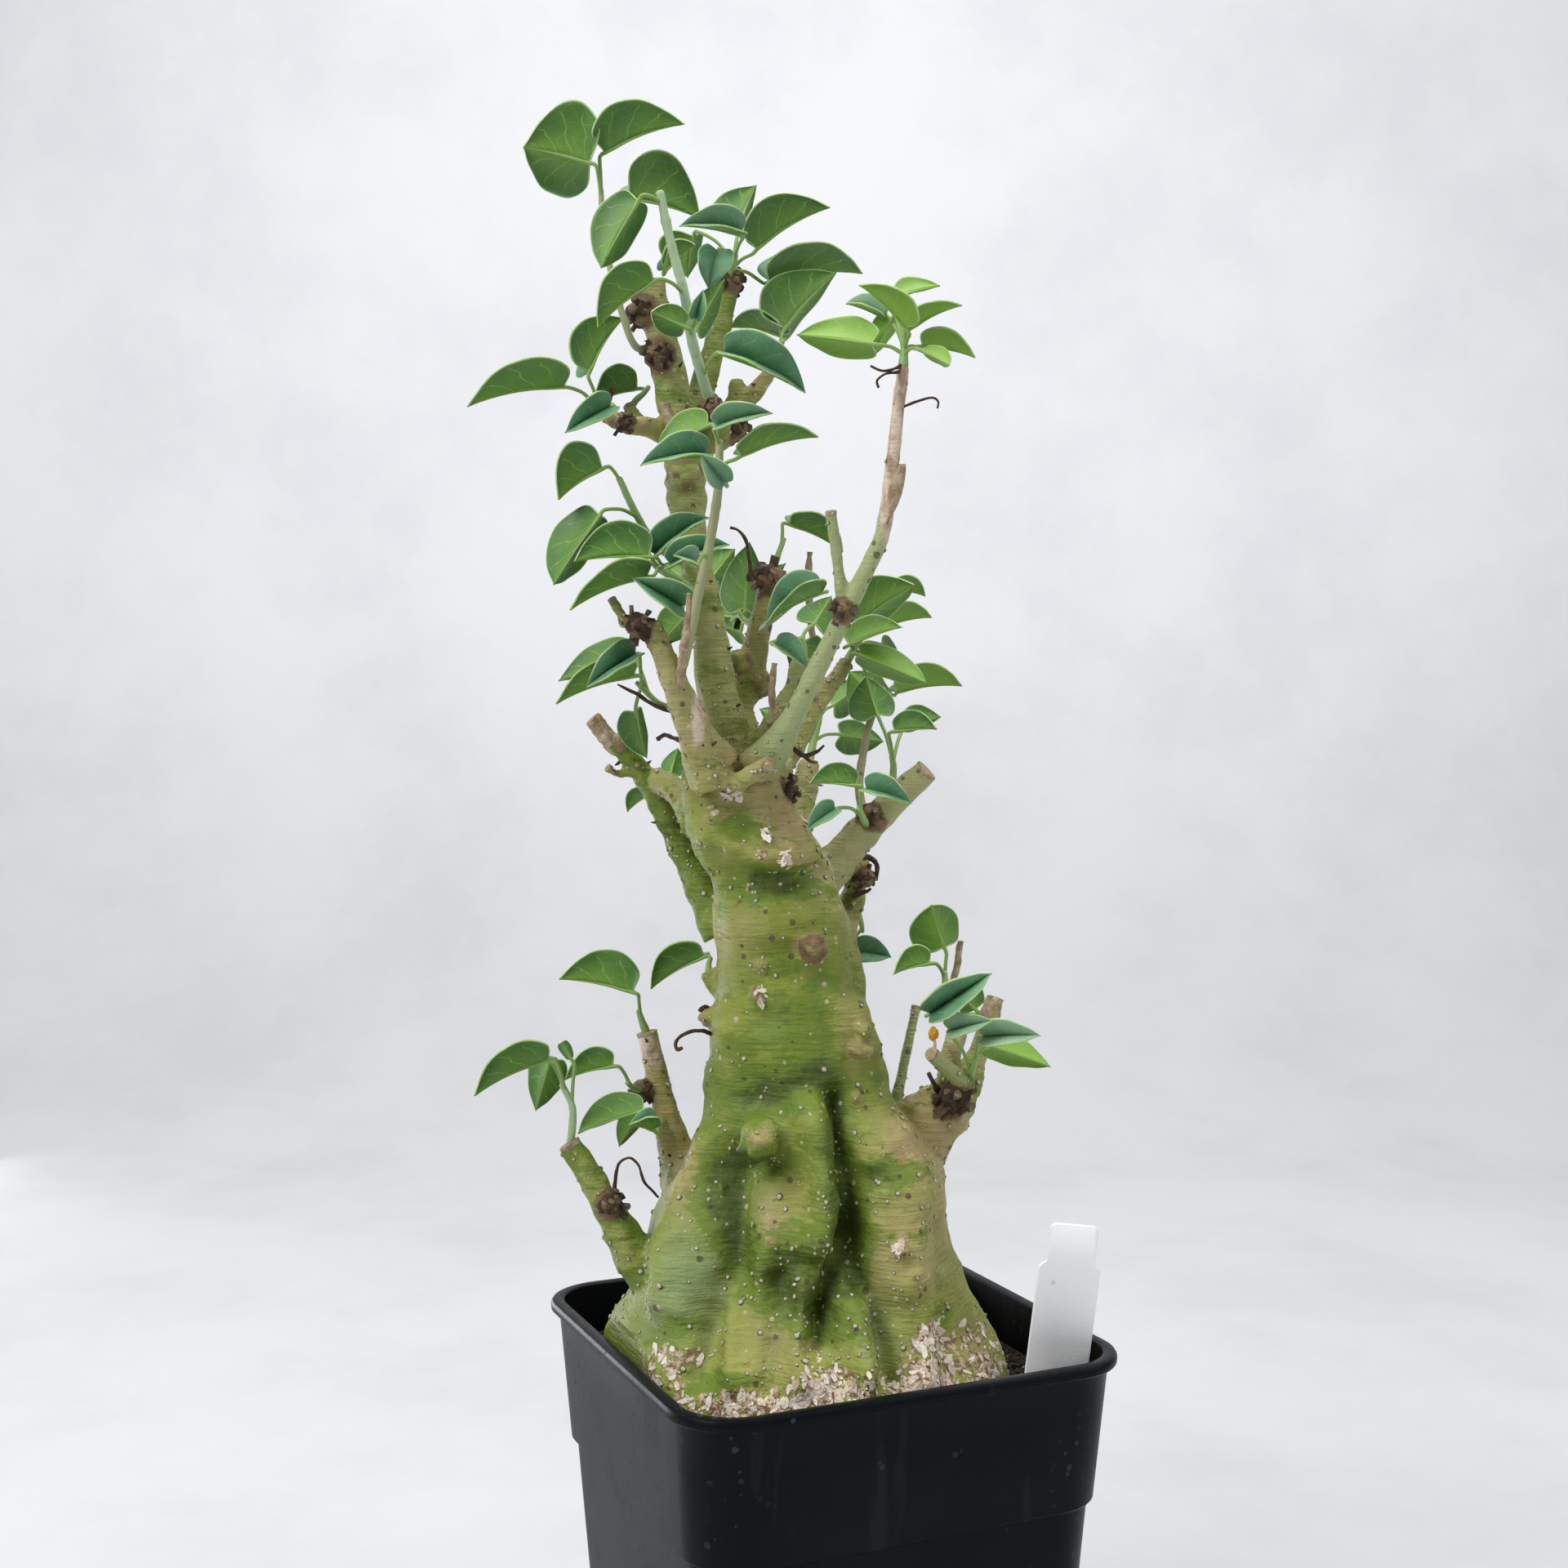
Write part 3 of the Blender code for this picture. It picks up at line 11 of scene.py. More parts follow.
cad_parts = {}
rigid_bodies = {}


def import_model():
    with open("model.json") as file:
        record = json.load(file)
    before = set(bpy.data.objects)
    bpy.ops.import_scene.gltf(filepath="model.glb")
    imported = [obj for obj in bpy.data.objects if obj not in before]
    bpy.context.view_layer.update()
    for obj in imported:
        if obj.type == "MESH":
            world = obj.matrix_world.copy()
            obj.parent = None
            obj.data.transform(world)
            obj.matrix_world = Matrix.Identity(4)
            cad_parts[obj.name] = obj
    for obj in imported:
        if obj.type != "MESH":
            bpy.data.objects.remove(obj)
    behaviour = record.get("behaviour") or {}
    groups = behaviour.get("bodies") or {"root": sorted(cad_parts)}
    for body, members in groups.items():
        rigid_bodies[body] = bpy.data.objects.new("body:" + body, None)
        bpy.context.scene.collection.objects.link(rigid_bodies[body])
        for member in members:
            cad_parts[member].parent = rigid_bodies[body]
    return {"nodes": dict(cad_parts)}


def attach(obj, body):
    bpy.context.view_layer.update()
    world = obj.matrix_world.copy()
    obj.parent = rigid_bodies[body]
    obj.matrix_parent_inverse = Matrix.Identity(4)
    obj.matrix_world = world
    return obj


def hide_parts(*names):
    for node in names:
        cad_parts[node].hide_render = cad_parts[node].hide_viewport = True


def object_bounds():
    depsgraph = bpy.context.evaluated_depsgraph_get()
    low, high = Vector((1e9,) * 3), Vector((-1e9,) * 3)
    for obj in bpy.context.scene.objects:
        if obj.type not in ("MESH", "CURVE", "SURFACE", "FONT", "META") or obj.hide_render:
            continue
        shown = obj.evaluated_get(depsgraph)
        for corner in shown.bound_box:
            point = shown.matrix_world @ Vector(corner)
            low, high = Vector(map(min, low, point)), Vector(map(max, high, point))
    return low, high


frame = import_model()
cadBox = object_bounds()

# Potted adenia. Lengths are millimetres until a mesh is made, which is in metres.
# The plant is laid out in the front view (x right, y away, z up) and turned with the pot at the end.
mm = 0.001
potTurn = math.radians(24)

frontView = {
    "focal": 2400, "middle": 960,     # pixels of the square picture
    "distance": 510, "side": -10,     # camera from the pot's middle
    "height": 285, "pitch": math.radians(-2.1),
}


# small helpers

def seen(px, py, depth):
    # the point at a depth behind the pot's middle that the front view shows at a pixel
    u = (px - frontView["middle"]) / frontView["focal"]
    v = (frontView["middle"] - py) / frontView["focal"]
    forward = math.cos(frontView["pitch"]) - v * math.sin(frontView["pitch"])
    up = math.sin(frontView["pitch"]) + v * math.cos(frontView["pitch"])
    reach = (frontView["distance"] + depth) / forward
    return np.array((frontView["side"] + u * reach, depth, frontView["height"] + up * reach))


def shownAt(points):
    # pixels of the front view for an array of points
    x = points[..., 0] - frontView["side"]
    y = points[..., 1] + frontView["distance"]
    z = points[..., 2] - frontView["height"]
    along = y * math.cos(frontView["pitch"]) + z * math.sin(frontView["pitch"])
    rise = z * math.cos(frontView["pitch"]) - y * math.sin(frontView["pitch"])
    middle, focal = frontView["middle"], frontView["focal"]
    return middle + focal * x / along, middle - focal * rise / along


def unit(vector):
    return vector / max(np.linalg.norm(vector), 1e-9)


def turned(x, y, angle):
    return x * math.cos(angle) - y * math.sin(angle), x * math.sin(angle) + y * math.cos(angle)


def turnedWithPot(points):
    # points of the front view, in metres and turned to the pot's own axes
    placed = np.array(points, dtype=float) * mm
    placed[:, 0], placed[:, 1] = turned(placed[:, 0].copy(), placed[:, 1].copy(), -potTurn)
    return placed


def curveAt(a, b, c, d, t):
    # Catmull-Rom between b and c
    square, cube = 2 * a - 5 * b + 4 * c - d, 3 * b - a - 3 * c + d
    return 0.5 * (2 * b + (c - a) * t + square * t * t + cube * t ** 3)


def smoothLine(points, step):
    # a curve through rows of numbers, in places about one step apart
    rows = [np.array(point, dtype=float) for point in points]
    padded = [2 * rows[0] - rows[1]] + rows + [2 * rows[-1] - rows[-2]]
    line = []
    for a, b, c, d in zip(padded, padded[1:], padded[2:], padded[3:]):
        count = max(1, int(round(np.linalg.norm((c - b)[:3]) / step)))
        line += [curveAt(a, b, c, d, k / count) for k in range(count)]
    return line + [rows[-1]]


def ringRow(point, radius):
    return np.array((*point, radius))


def ringFaces(rings, sides, capEnd=True):
    # the sides of a stack of rings, its foot closed and, if asked, its end
    faces = []
    for k in range(rings - 1):
        for i in range(sides):
            j = (i + 1) % sides
            low, high = k * sides, (k + 1) * sides
            faces.append((low + i, low + j, high + j, high + i))
    faces.append(tuple(reversed(range(sides))))
    if capEnd:
        faces.append(tuple((rings - 1) * sides + i for i in range(sides)))
    return faces


def tubeRings(line, sides, lumps, seed):
    # rings of a tube along rows of x, y, z, radius
    across, rings = None, []
    for k, row in enumerate(line):
        ahead = unit(line[min(k + 1, len(line) - 1)][:3] - line[max(k - 1, 0)][:3])
        if across is None:
            across = unit(np.cross(ahead, (0.31, 0.2, 0.93) if abs(ahead[2]) < 0.9 else (1.0, 0.1, 0.0)))
        across = unit(across - ahead * np.dot(across, ahead))
        other = np.cross(ahead, across)
        for i in range(sides):
            angle = 2 * math.pi * i / sides
            radius = row[3]
            if lumps:
                place = Vector((math.cos(angle) * 1.3, math.sin(angle) * 1.3 + seed, k * 0.21))
                radius *= 1 + lumps * noise.noise(place)
            rings.append(row[:3] + radius * (math.cos(angle) * across + math.sin(angle) * other))
    return rings


def linked(name, data):
    made = bpy.data.objects.new(name, data)
    bpy.context.scene.collection.objects.link(made)
    return made


def addValues(mesh, name, values):
    # one number for each point, which the materials read
    mesh.attributes.new(name, "FLOAT", "POINT").data.foreach_set("value", np.array(values, dtype=np.float32))


def triangleCount(mesh):
    return sum(len(face.vertices) - 2 for face in mesh.polygons)


class Shape:
    # gathers vertices, faces and their slots and tones, then makes one mesh
    def __init__(self):
        self.vertices, self.faces, self.slots, self.tones = [], [], [], []

    def add(self, vertices, faces, slot=0, tone=0.0):
        start = len(self.vertices)
        self.vertices.extend(vertices)
        self.tones.extend(tone if isinstance(tone, list) else [tone] * len(vertices))
        self.faces.extend(tuple(start + index for index in face) for face in faces)
        self.slots.extend([slot] * len(faces))

    def tube(self, line, sides, slot=0, tone=0.0, lumps=0.0, seed=0.0):
        self.add(tubeRings(line, sides, lumps, seed), ringFaces(len(line), sides), slot, tone)

    def ball(self, centre, radius, seed, level=3, rough=0.16, slot=0, stretch=(1, 1, 1)):
        # a ball pushed out of round by noise
        work = bmesh.new()
        bmesh.ops.create_icosphere(work, subdivisions=level, radius=1.0)
        points = []
        for vertex in work.verts:
            grow = 1 + rough * noise.noise(vertex.co * 1.7 + Vector((seed * 3.1, seed, -seed)))
            points.append(np.array(centre) + np.array(vertex.co) * np.array(stretch) * radius * grow)
        self.add(points, [tuple(corner.index for corner in face.verts) for face in work.faces], slot)
        work.free()

    def piece(self, name, materials, turn=True, smooth=True):
        mesh = bpy.data.meshes.new(name)
        points = turnedWithPot(self.vertices) if turn else np.array(self.vertices, dtype=float) * mm
        mesh.from_pydata(points.tolist(), [], self.faces)
        for material in materials:
            mesh.materials.append(material)
        mesh.polygons.foreach_set("material_index", self.slots)
        mesh.polygons.foreach_set("use_smooth", [smooth] * len(self.faces))
        addValues(mesh, "tone", self.tones)
        mesh.update()
        return linked(name, mesh)


def applyModifiers(piece):
    shown = bpy.context.evaluated_depsgraph_get()
    shown.update()
    mesh = bpy.data.meshes.new_from_object(piece.evaluated_get(shown))
    old = piece.data
    piece.modifiers.clear()
    piece.data = mesh
    bpy.data.meshes.remove(old)


def smoothByAngle(piece, degrees):
    bpy.context.view_layer.objects.active = piece
    for other in bpy.context.selected_objects:
        other.select_set(False)
    piece.select_set(True)
    bpy.ops.object.shade_smooth_by_angle(angle=math.radians(degrees))
    if piece.modifiers:
        applyModifiers(piece)
    piece.select_set(False)


# shader helpers

class Net:
    # a shader node tree
    def __init__(self, tree):
        self.tree = tree

    def feed(self, value, socket):
        value = value.socket if isinstance(value, Term) else value
        if isinstance(value, bpy.types.NodeSocket):
            self.tree.links.new(value, socket)
        else:
            socket.default_value = value

    def put(self, kind, inputs=None, **settings):
        made = self.tree.nodes.new("ShaderNode" + kind)
        for key, value in settings.items():
            setattr(made, key, value)
        for key, value in (inputs or {}).items():
            self.feed(value, made.inputs[key])
        return made

    def term(self, kind, inputs=None, output=0, **settings):
        return Term(self, self.put(kind, inputs, **settings).outputs[output])

    def vector(self, operation, a, b):
        return self.term("VectorMath", {0: a, 1: b}, operation=operation)


class Term:
    # a node's output: each sign between terms and numbers adds a Math node
    def __init__(self, net, socket):
        self.net, self.socket = net, socket

    def math(self, operation, a, b=0.0, clamp=False):
        return self.net.term("Math", {0: a, 1: b}, operation=operation, use_clamp=clamp)

    def __add__(self, other):
        return self.math("ADD", self, other)

    def __mul__(self, other):
        return self.math("MULTIPLY", self, other)

    def __sub__(self, other):
        return self.math("SUBTRACT", self, other)

    def __rsub__(self, other):
        return self.math("SUBTRACT", other, self)

    def __truediv__(self, other):
        return self.math("DIVIDE", self, other)

    def __abs__(self):
        return self.math("ABSOLUTE", self)

    def fade(self, low, high, toLow=0.0, toHigh=1.0, kind="SMOOTHSTEP"):
        ends = {"Value": self, "From Min": low, "From Max": high, "To Min": toLow, "To Max": toHigh}
        return self.net.term("MapRange", ends, interpolation_type=kind)


class Group(Net):
    # a node group that several materials share, with named inputs and float outputs
    def __init__(self, name, inputs, outputs):
        super().__init__(bpy.data.node_groups.new(name, "ShaderNodeTree"))
        for label, value in inputs.items():
            kind = "NodeSocketVector" if isinstance(value, tuple) else "NodeSocketFloat"
            socket = self.tree.interface.new_socket(name=label, in_out="INPUT", socket_type=kind)
            socket.default_value = value
        for label in outputs:
            self.tree.interface.new_socket(name=label, in_out="OUTPUT", socket_type="NodeSocketFloat")
        start = self.tree.nodes.new("NodeGroupInput")
        self.given = {label: Term(self, start.outputs[label]) for label in inputs}
        self.end = self.tree.nodes.new("NodeGroupOutput")
        self.place = self.term("TexCoord", output="Object")

    def give(self, results):
        for label, value in results.items():
            self.feed(value, self.end.inputs[label])
        return self.tree


class Paint(Net):
    # a material whose colour is laid on in layers, each named in its dictionary or given
    def __init__(self, name, look, shown, roughness, first=None):
        self.made = bpy.data.materials.new(name)
        self.made.use_nodes = True
        super().__init__(self.made.node_tree)
        self.look, self.shader = look, self.tree.nodes["Principled BSDF"]
        self.made.diffuse_color = self.tint(shown)
        self.set({"Base Color": self.tint(shown), "Roughness": roughness})
        self.colour = first or shown

    def set(self, inputs):
        for label, value in inputs.items():
            self.feed(value, self.shader.inputs[label])

    def tint(self, colour):
        return (*self.look[colour], 1) if isinstance(colour, str) else colour

    def mixed(self, share, a, b):
        return self.term("Mix", {0: share, 6: self.tint(a), 7: self.tint(b)}, output=2, data_type="RGBA")

    def lay(self, share, colour):
        self.colour = self.mixed(share, self.colour, colour)

    def value(self, name):
        return self.term("Attribute", output="Fac", attribute_name=name)

    def shared(self, group, inputs):
        made = self.put("Group", inputs, node_tree=group)
        return {socket.name: Term(self, socket) for socket in made.outputs}

    def blotch(self, scale, low=0.4, high=0.6, stretch=(1, 1, 1), detail=4.0, output="Mask"):
        given = {"Scale": scale, "Low": low, "High": high, "Stretch": stretch, "Detail": detail}
        return self.shared(blotches, given)[output]

    def specks(self, scale, size, share):
        return self.shared(specks, {"Scale": scale, "Size": size, "Share": share})

    def finished(self, height=None, strength=0.0, distance=0.0, roughness=None):
        self.set({"Base Color": self.colour})
        if height is not None:
            bump = self.term("Bump", {"Height": height, "Strength": strength, "Distance": distance})
            self.set({"Normal": bump})
        if roughness is not None:
            self.set({"Roughness": roughness})
        return self.made


def srgb(r, g, b):
    # a colour given as 0-255 screen values
    return tuple((v / 255 / 12.92) if v <= 10 else ((v / 255 + 0.055) / 1.055) ** 2.4 for v in (r, g, b))


# shader node groups that several materials share

def blotchGroup():
    # cloudy patches: Scale in patches a metre, Stretch squeezes them along each axis
    inputs = {"Scale": 60.0, "Stretch": (1, 1, 1), "Low": 0.4, "High": 0.6, "Detail": 4.0}
    group = Group("blotches", inputs, ("Mask", "Raw"))
    given = group.given
    moved = group.term("Mapping", {"Vector": group.place, "Scale": given["Stretch"]})
    look = {"Vector": moved, "Scale": given["Scale"], "Detail": given["Detail"], "Roughness": 0.6}
    cloud = group.term("TexNoise", look)
    return group.give({"Mask": cloud.fade(given["Low"], given["High"]), "Raw": cloud})


def speckGroup():
    # small round specks: Size is their share of the spacing
    group = Group("specks", {"Scale": 300.0, "Size": 0.3, "Share": 0.4}, ("Mask", "Height"))
    given = group.given
    cell = group.put("TexVoronoi", {"Vector": group.place, "Scale": given["Scale"]}, feature="F1")
    lot = group.put("SeparateColor", {0: cell.outputs["Color"]})
    size = given["Size"] * (Term(group, lot.outputs[0]) + 0.4)
    away = Term(group, cell.outputs["Distance"])
    inside = size.math("SUBTRACT", 1.0, away / size, clamp=True)
    height = inside * away.math("LESS_THAN", lot.outputs[1], given["Share"])
    return group.give({"Mask": height.fade(0.02, 0.25, kind="LINEAR"), "Height": height})


def wrinkleGroup():
    # fine creases that run round the stem: Pitch in creases a metre
    group = Group("wrinkles", {"Pitch": 420.0, "Around": 45.0}, ("Lines", "Height"))
    around = group.given["Around"]
    stretch = group.term("CombineXYZ", {0: around, 1: around, 2: group.given["Pitch"]})
    bent = group.term("TexNoise", {"Vector": group.place, "Scale": 60.0, "Detail": 2.0}, output="Color")
    moved = group.vector("MULTIPLY", group.place, stretch)
    shifted = group.vector("ADD", moved, group.vector("MULTIPLY", bent, (1.5, 1.5, 3.0)))
    cloud = group.term("TexNoise", {"Vector": shifted, "Scale": 1.0, "Detail": 3.0, "Roughness": 0.55})
    return group.give({"Lines": cloud.fade(0.62, 0.44), "Height": cloud})


def veinGroup():
    # midrib, side veins and their net, from a blade's own lay: x across from edge to edge, y from foot to tip
    group = Group("leafVeins", {"Pairs": 5.5, "Net": 5.0}, ("Midrib", "Veins", "Edge", "Across"))
    lay = group.term("UVMap", uv_map="bladeLay")
    parts = group.put("SeparateXYZ", {0: lay})
    across, along = abs(Term(group, parts.outputs[0]) * 2.0 - 1.0), Term(group, parts.outputs[1])
    bent = group.term("TexNoise", {"Vector": lay, "Scale": 5.0, "Detail": 1.0}, noise_dimensions="2D")
    slope = across * (across * -0.12 + 0.36)
    lane = (along.math("POWER", along, 0.85) - slope) * group.given["Pairs"] + bent * 0.55
    off = abs(lane.math("FRACT", lane) - 0.5) * 2.0
    side = off.fade(0.085, 0.02) * across.fade(0.9, 0.7)
    squeezed = group.vector("MULTIPLY", lay, (1.8, 1.0, 1.0))
    net = group.term("TexVoronoi", {"Vector": squeezed, "Scale": group.given["Net"]},
                     feature="DISTANCE_TO_EDGE", voronoi_dimensions="2D")
    rib = (across / (along * -0.03 + 0.045)).fade(1.4, 0.6)
    veins = side.math("MAXIMUM", side, net.fade(0.03, 0.005) * 0.5)
    return group.give({"Midrib": rib, "Veins": veins, "Edge": across.fade(0.955, 0.995), "Across": across})


blotches, specks, wrinkles, leafVeins = blotchGroup(), speckGroup(), wrinkleGroup(), veinGroup()


# camera, light and floor

cameraLook = {"lens": 45.0, "sensor": 36.0, "nearest": 0.01}

def makeCamera():
    lens = bpy.data.cameras.new("frontCamera")
    lens.lens, lens.sensor_width, lens.clip_start = (cameraLook[key] for key in ("lens", "sensor", "nearest"))
    camera = linked("frontCamera", lens)
    view = frontView
    place = Matrix.Translation((view["side"] * mm, -view["distance"] * mm, view["height"] * mm))
    tip = Matrix.Rotation(math.pi / 2 + view["pitch"], 4, "X")
    camera.matrix_world = Matrix.Rotation(-potTurn, 4, "Z") @ place @ tip
    bpy.context.scene.camera = camera


lightPlan = {
    # place in the front view in metres, what it faces, size, power
    "keyLeft": {"at": (-0.85, -0.65, 1.15), "to": (0, 0, 0.24), "size": (0.75, 0.75), "power": 15.0},
    "topBox": {"at": (0.1, 0.1, 1.45), "to": (0, 0, 0.2), "size": (1.2, 1.0), "power": 15.0},
    "fillRight": {"at": (1.2, -0.35, 0.85), "to": (0, 0, 0.24), "size": (0.9, 1.0), "power": 5.0},
    # this one only shines on the pot's glossy wall
    "potGlow": {"at": (-0.66, 0.54, 0.11), "to": (0, 0, 0.08), "size": (0.5, 0.2), "power": 2.5,
                "sheenOnly": True},
}
stageLook = {
    "seenWorld": (0.79, 0.81, 0.84), "litWorld": (0.86, 0.88, 0.92), "litStrength": 0.25,
    "wall": (0.85, 0.86, 0.88), "wallShade": (0.73, 0.74, 0.765), "wallPale": (0.86, 0.868, 0.88),
    "floorShade": (0.0, 0.0, 0.0), "wallAway": 1.15, "sweep": 0.45, "front": 1.6, "wide": 3.0, "high": 2.6,
    "below": 0.3,    # millimetres that the floor lies under the pot
}

def makeLights():
    turn = Matrix.Rotation(-potTurn, 4, "Z")
    for name, plan in lightPlan.items():
        lamp = bpy.data.lights.new(name, "AREA")
        lamp.shape = "RECTANGLE"
        lamp.size, lamp.size_y = plan["size"]
        lamp.energy = plan["power"]
        holder = linked(name, lamp)
        aim = (Vector(plan["to"]) - Vector(plan["at"])).to_track_quat("-Z", "Y").to_matrix().to_4x4()
        holder.visible_diffuse = not plan.get("sheenOnly")
        holder.matrix_world = turn @ Matrix.Translation(plan["at"]) @ aim
    # the screen colours stay as bright and clear as the picture's
    bpy.context.scene.view_settings.view_transform = "Standard"
    world = bpy.data.worlds.new("studio")
    bpy.context.scene.world = world
    world.use_nodes = True
    world.node_tree.nodes.clear()
    net = Net(world.node_tree)
    lit = net.term("Background", {"Color": (*stageLook["litWorld"], 1), "Strength": stageLook["litStrength"]})
    plain = net.term("Background", {"Color": (*stageLook["seenWorld"], 1), "Strength": 1.0})
    ray = net.term("LightPath", output="Is Camera Ray")
    net.put("OutputWorld", {0: net.term("MixShader", {0: ray, 1: lit, 2: plain})})


def makeStage():
    # a floor that sweeps up into a plain wall well behind the plant
    look = stageLook
    sweep, ends = look["sweep"], (-look["wide"], look["wide"])
    foot = look["wallAway"] - sweep
    profile = [(-look["front"], 0.0), (foot, 0.0)]
    for k in range(1, 13):
        angle = k / 12 * math.pi / 2
        profile.append((foot + sweep * math.sin(angle), sweep - sweep * math.cos(angle)))
    profile.append((look["wallAway"], look["high"]))
    shape = Shape()
    rows = [(x / mm, y / mm, z / mm - look["below"]) for y, z in profile for x in ends]
    shape.add(rows, [(2 * k, 2 * k + 1, 2 * k + 3, 2 * k + 2) for k in range(len(profile) - 1)])
    floor = shape.piece("floor", [plasterWall()])


# finishes

def plasterWall():
    wall = Paint("plasterWall", stageLook, "wall", 0.9)
    wall.lay(wall.blotch(5.0, 0.38, 0.66, detail=6.0) * 0.6, "wallShade")
    wall.lay(wall.blotch(26.0, 0.45, 0.62, detail=5.0) * 0.22, "wallPale")
    # the floor lies right under the lights, so its paint is deeper
    rise = wall.term("SeparateXYZ", {0: wall.term("TexCoord", output="Object")}, output=2)
    wall.lay(rise.fade(0.0, 0.5, 0.26, 0.0), "floorShade")
    return wall.finished()


skinColours = {
    "olive": srgb(112, 128, 28), "oliveLight": srgb(146, 156, 60), "tan": srgb(186, 164, 116),
    "brownTan": srgb(134, 108, 72), "sage": srgb(132, 152, 98), "moss": srgb(92, 124, 12),
    # fold is painted shade, laid in the deep folds of the trunk
    "mossDeep": srgb(44, 72, 0), "fold": srgb(36, 50, 8), "young": srgb(168, 180, 130),
    "cork": srgb(84, 64, 44), "flake": srgb(200, 178, 150), "flakeShade": srgb(122, 92, 66),
    "scar": srgb(60, 44, 28), "dry": srgb(216, 198, 178), "dryShade": srgb(164, 132, 110),
}

def adeniaSkin():
    skin = Paint("adeniaSkin", skinColours, "olive", 0.62)
    moss, tan, sage, fold = (skin.value(name) for name in ("moss", "tan", "sage", "fold"))
    flaky, cork, young, dry = (skin.value(name) for name in ("flaky", "cork", "young", "dry"))
    cloud = skin.blotch(45.0, 0.34, 0.66)
    skin.lay(cloud, "oliveLight")
    skin.lay(sage * 0.85, "sage")
    # tan wood shows in long soft patches
    skin.lay(tan * (skin.blotch(70.0, 0.3, 0.62, stretch=(1, 1, 0.55)) * 0.55 + 0.45), "tan")
    skin.lay(skin.blotch(120.0, 0.55, 0.72, detail=6.0) * (tan * 0.55), "brownTan")
    skin.lay(young * 0.9, "young")
    # green algae in ragged patches whose streaks follow the wrinkles
    wide = skin.blotch(75.0, stretch=(0.7, 0.7, 1.5), detail=6.0, output="Raw")
    thin = skin.blotch(620.0, stretch=(0.42, 0.42, 1.15), output="Raw")
    mossy = moss * 1.05 + (wide * 2.6 + thin * 1.3 - 1.90) - young * 0.6
    skin.lay(mossy.fade(0.16, 0.56) * 0.88, "moss")
    skin.lay(mossy.fade(0.74, 1.3) * 0.85, "mossDeep")
    creases = skin.shared(wrinkles, {"Pitch": 1300.0, "Around": 95.0})
    skin.lay(creases["Lines"] * (0.26 - young * 0.2), skin.mixed(0.5, "moss", "brownTan"))
    fine = skin.blotch(700.0, 0.35, 0.7, detail=3.0)
    skin.lay(fine * 0.14, "oliveLight")
    # painted shade: a dark green laid in streaks along the deep folds
    skin.lay(fold * (thin * 1.05), "fold")
    # thin dry bark of old shoots
    dryCloud = skin.blotch(300.0, 0.42, 0.66, stretch=(1, 1, 0.5), detail=5.0)
    skin.lay(dry.fade(0.25, 0.75), skin.mixed(dryCloud, "dry", "dryShade"))
    # pin-point warts and scars
    pin = skin.specks(420.0, 0.26, 0.16)
    skin.lay(pin["Mask"] * 0.75, "flake")
    skin.lay(skin.specks(380.0, 0.3, 0.14)["Mask"] * 0.7, "scar")
    # brown cork round the knobs and old stubs
    corkCloud = skin.blotch(240.0, 0.3, 0.65, detail=6.0)
    skin.lay((corkCloud * 0.4 + cork).fade(0.45, 0.9), skin.mixed(corkCloud, "cork", "brownTan"))
    # cream bark that peels off near the soil
    peel = (skin.blotch(330.0, 0.46, 0.58, stretch=(1, 1, 0.75), detail=6.0) * 0.6 + flaky).fade(0.98, 1.12)
    skin.lay(peel, skin.mixed(skin.blotch(620.0, 0.42, 0.6), "flakeShade", "flake"))
    height = creases["Height"] * 1.1 + peel * 0.5 + pin["Height"] * 0.7
    height = height + (fine * 0.2 + thin * 0.7) + corkCloud * cork * 0.8
    return skin.finished(height, 0.55, 0.0009, cloud * 0.1 + 0.56 + flaky * 0.2)


def barkFinish(name, dark, light, fresh, roughness, scale):
    # rough bark and wood: knobs, flakes, warts, cuts, dead twigs and the bud
    look = {"dark": srgb(*dark), "light": srgb(*light), "fresh": srgb(*fresh)}
    bark = Paint(name, look, "light", roughness, "dark")
    cloud = bark.blotch(scale, 0.32, 0.68, detail=6.0)
    grain = bark.blotch(scale * 3.1, 0.4, 0.62, stretch=(1, 1, 0.5))
    bark.lay(cloud, "light")
    bark.lay(grain * 0.35, "dark")
    # tone 1 is a broken end or the top of a wart
    bark.lay(bark.value("tone") * 0.9, "fresh")
    return bark.finished(cloud + grain, 0.6, 0.0004, cloud * 0.12 + (roughness - 0.06))


leafColours = {
    "upperDeep": srgb(76, 126, 92), "upper": srgb(104, 154, 112), "upperBloom": srgb(164, 194, 162),
    "under": srgb(84, 128, 48), "underLight": srgb(128, 172, 54), "underDeep": srgb(60, 106, 46),
    "vein": srgb(168, 196, 118), "veinUnder": srgb(158, 190, 84), "rib": srgb(186, 206, 112),
    "margin": srgb(196, 214, 160), "young": srgb(150, 186, 72),
}

def leafBlade(name, side):
    upper = side == "upper"
    leaf = Paint(name, leafColours, side, 0.42, side + "Deep")
    tone, cloud = leaf.value("tone"), leaf.blotch(90.0, 0.3, 0.7)
    veins = leaf.shared(leafVeins, {"Pairs": 5.2, "Net": 5.5})
    leaf.lay(cloud, side)
    if upper:
        leaf.lay(tone.fade(0.35, 1.0) * 0.8, "upperBloom")
        leaf.lay(veins["Veins"] * 0.42, "vein")
    else:
        leaf.lay(veins["Across"].fade(0.8, 0.0) * 0.35 + tone.fade(0.3, 1.0) * 0.75, "underLight")
        leaf.lay(veins["Veins"] * 0.55, "veinUnder")
    leaf.lay(veins["Midrib"] * 0.85, "rib")
    leaf.lay(veins["Edge"] * 0.9, "margin")
    out = -1 if upper else 1    # veins are sunk in the upper side and stand out of the under side
    height = veins["Midrib"] * (0.8 * out) + veins["Veins"] * (0.5 * out)
    height = height + leaf.blotch(500.0, 0.2, 0.8) * 0.25
    return leaf.finished(height, 0.5, 0.0003, cloud * 0.14 + (0.38 if upper else 0.48))


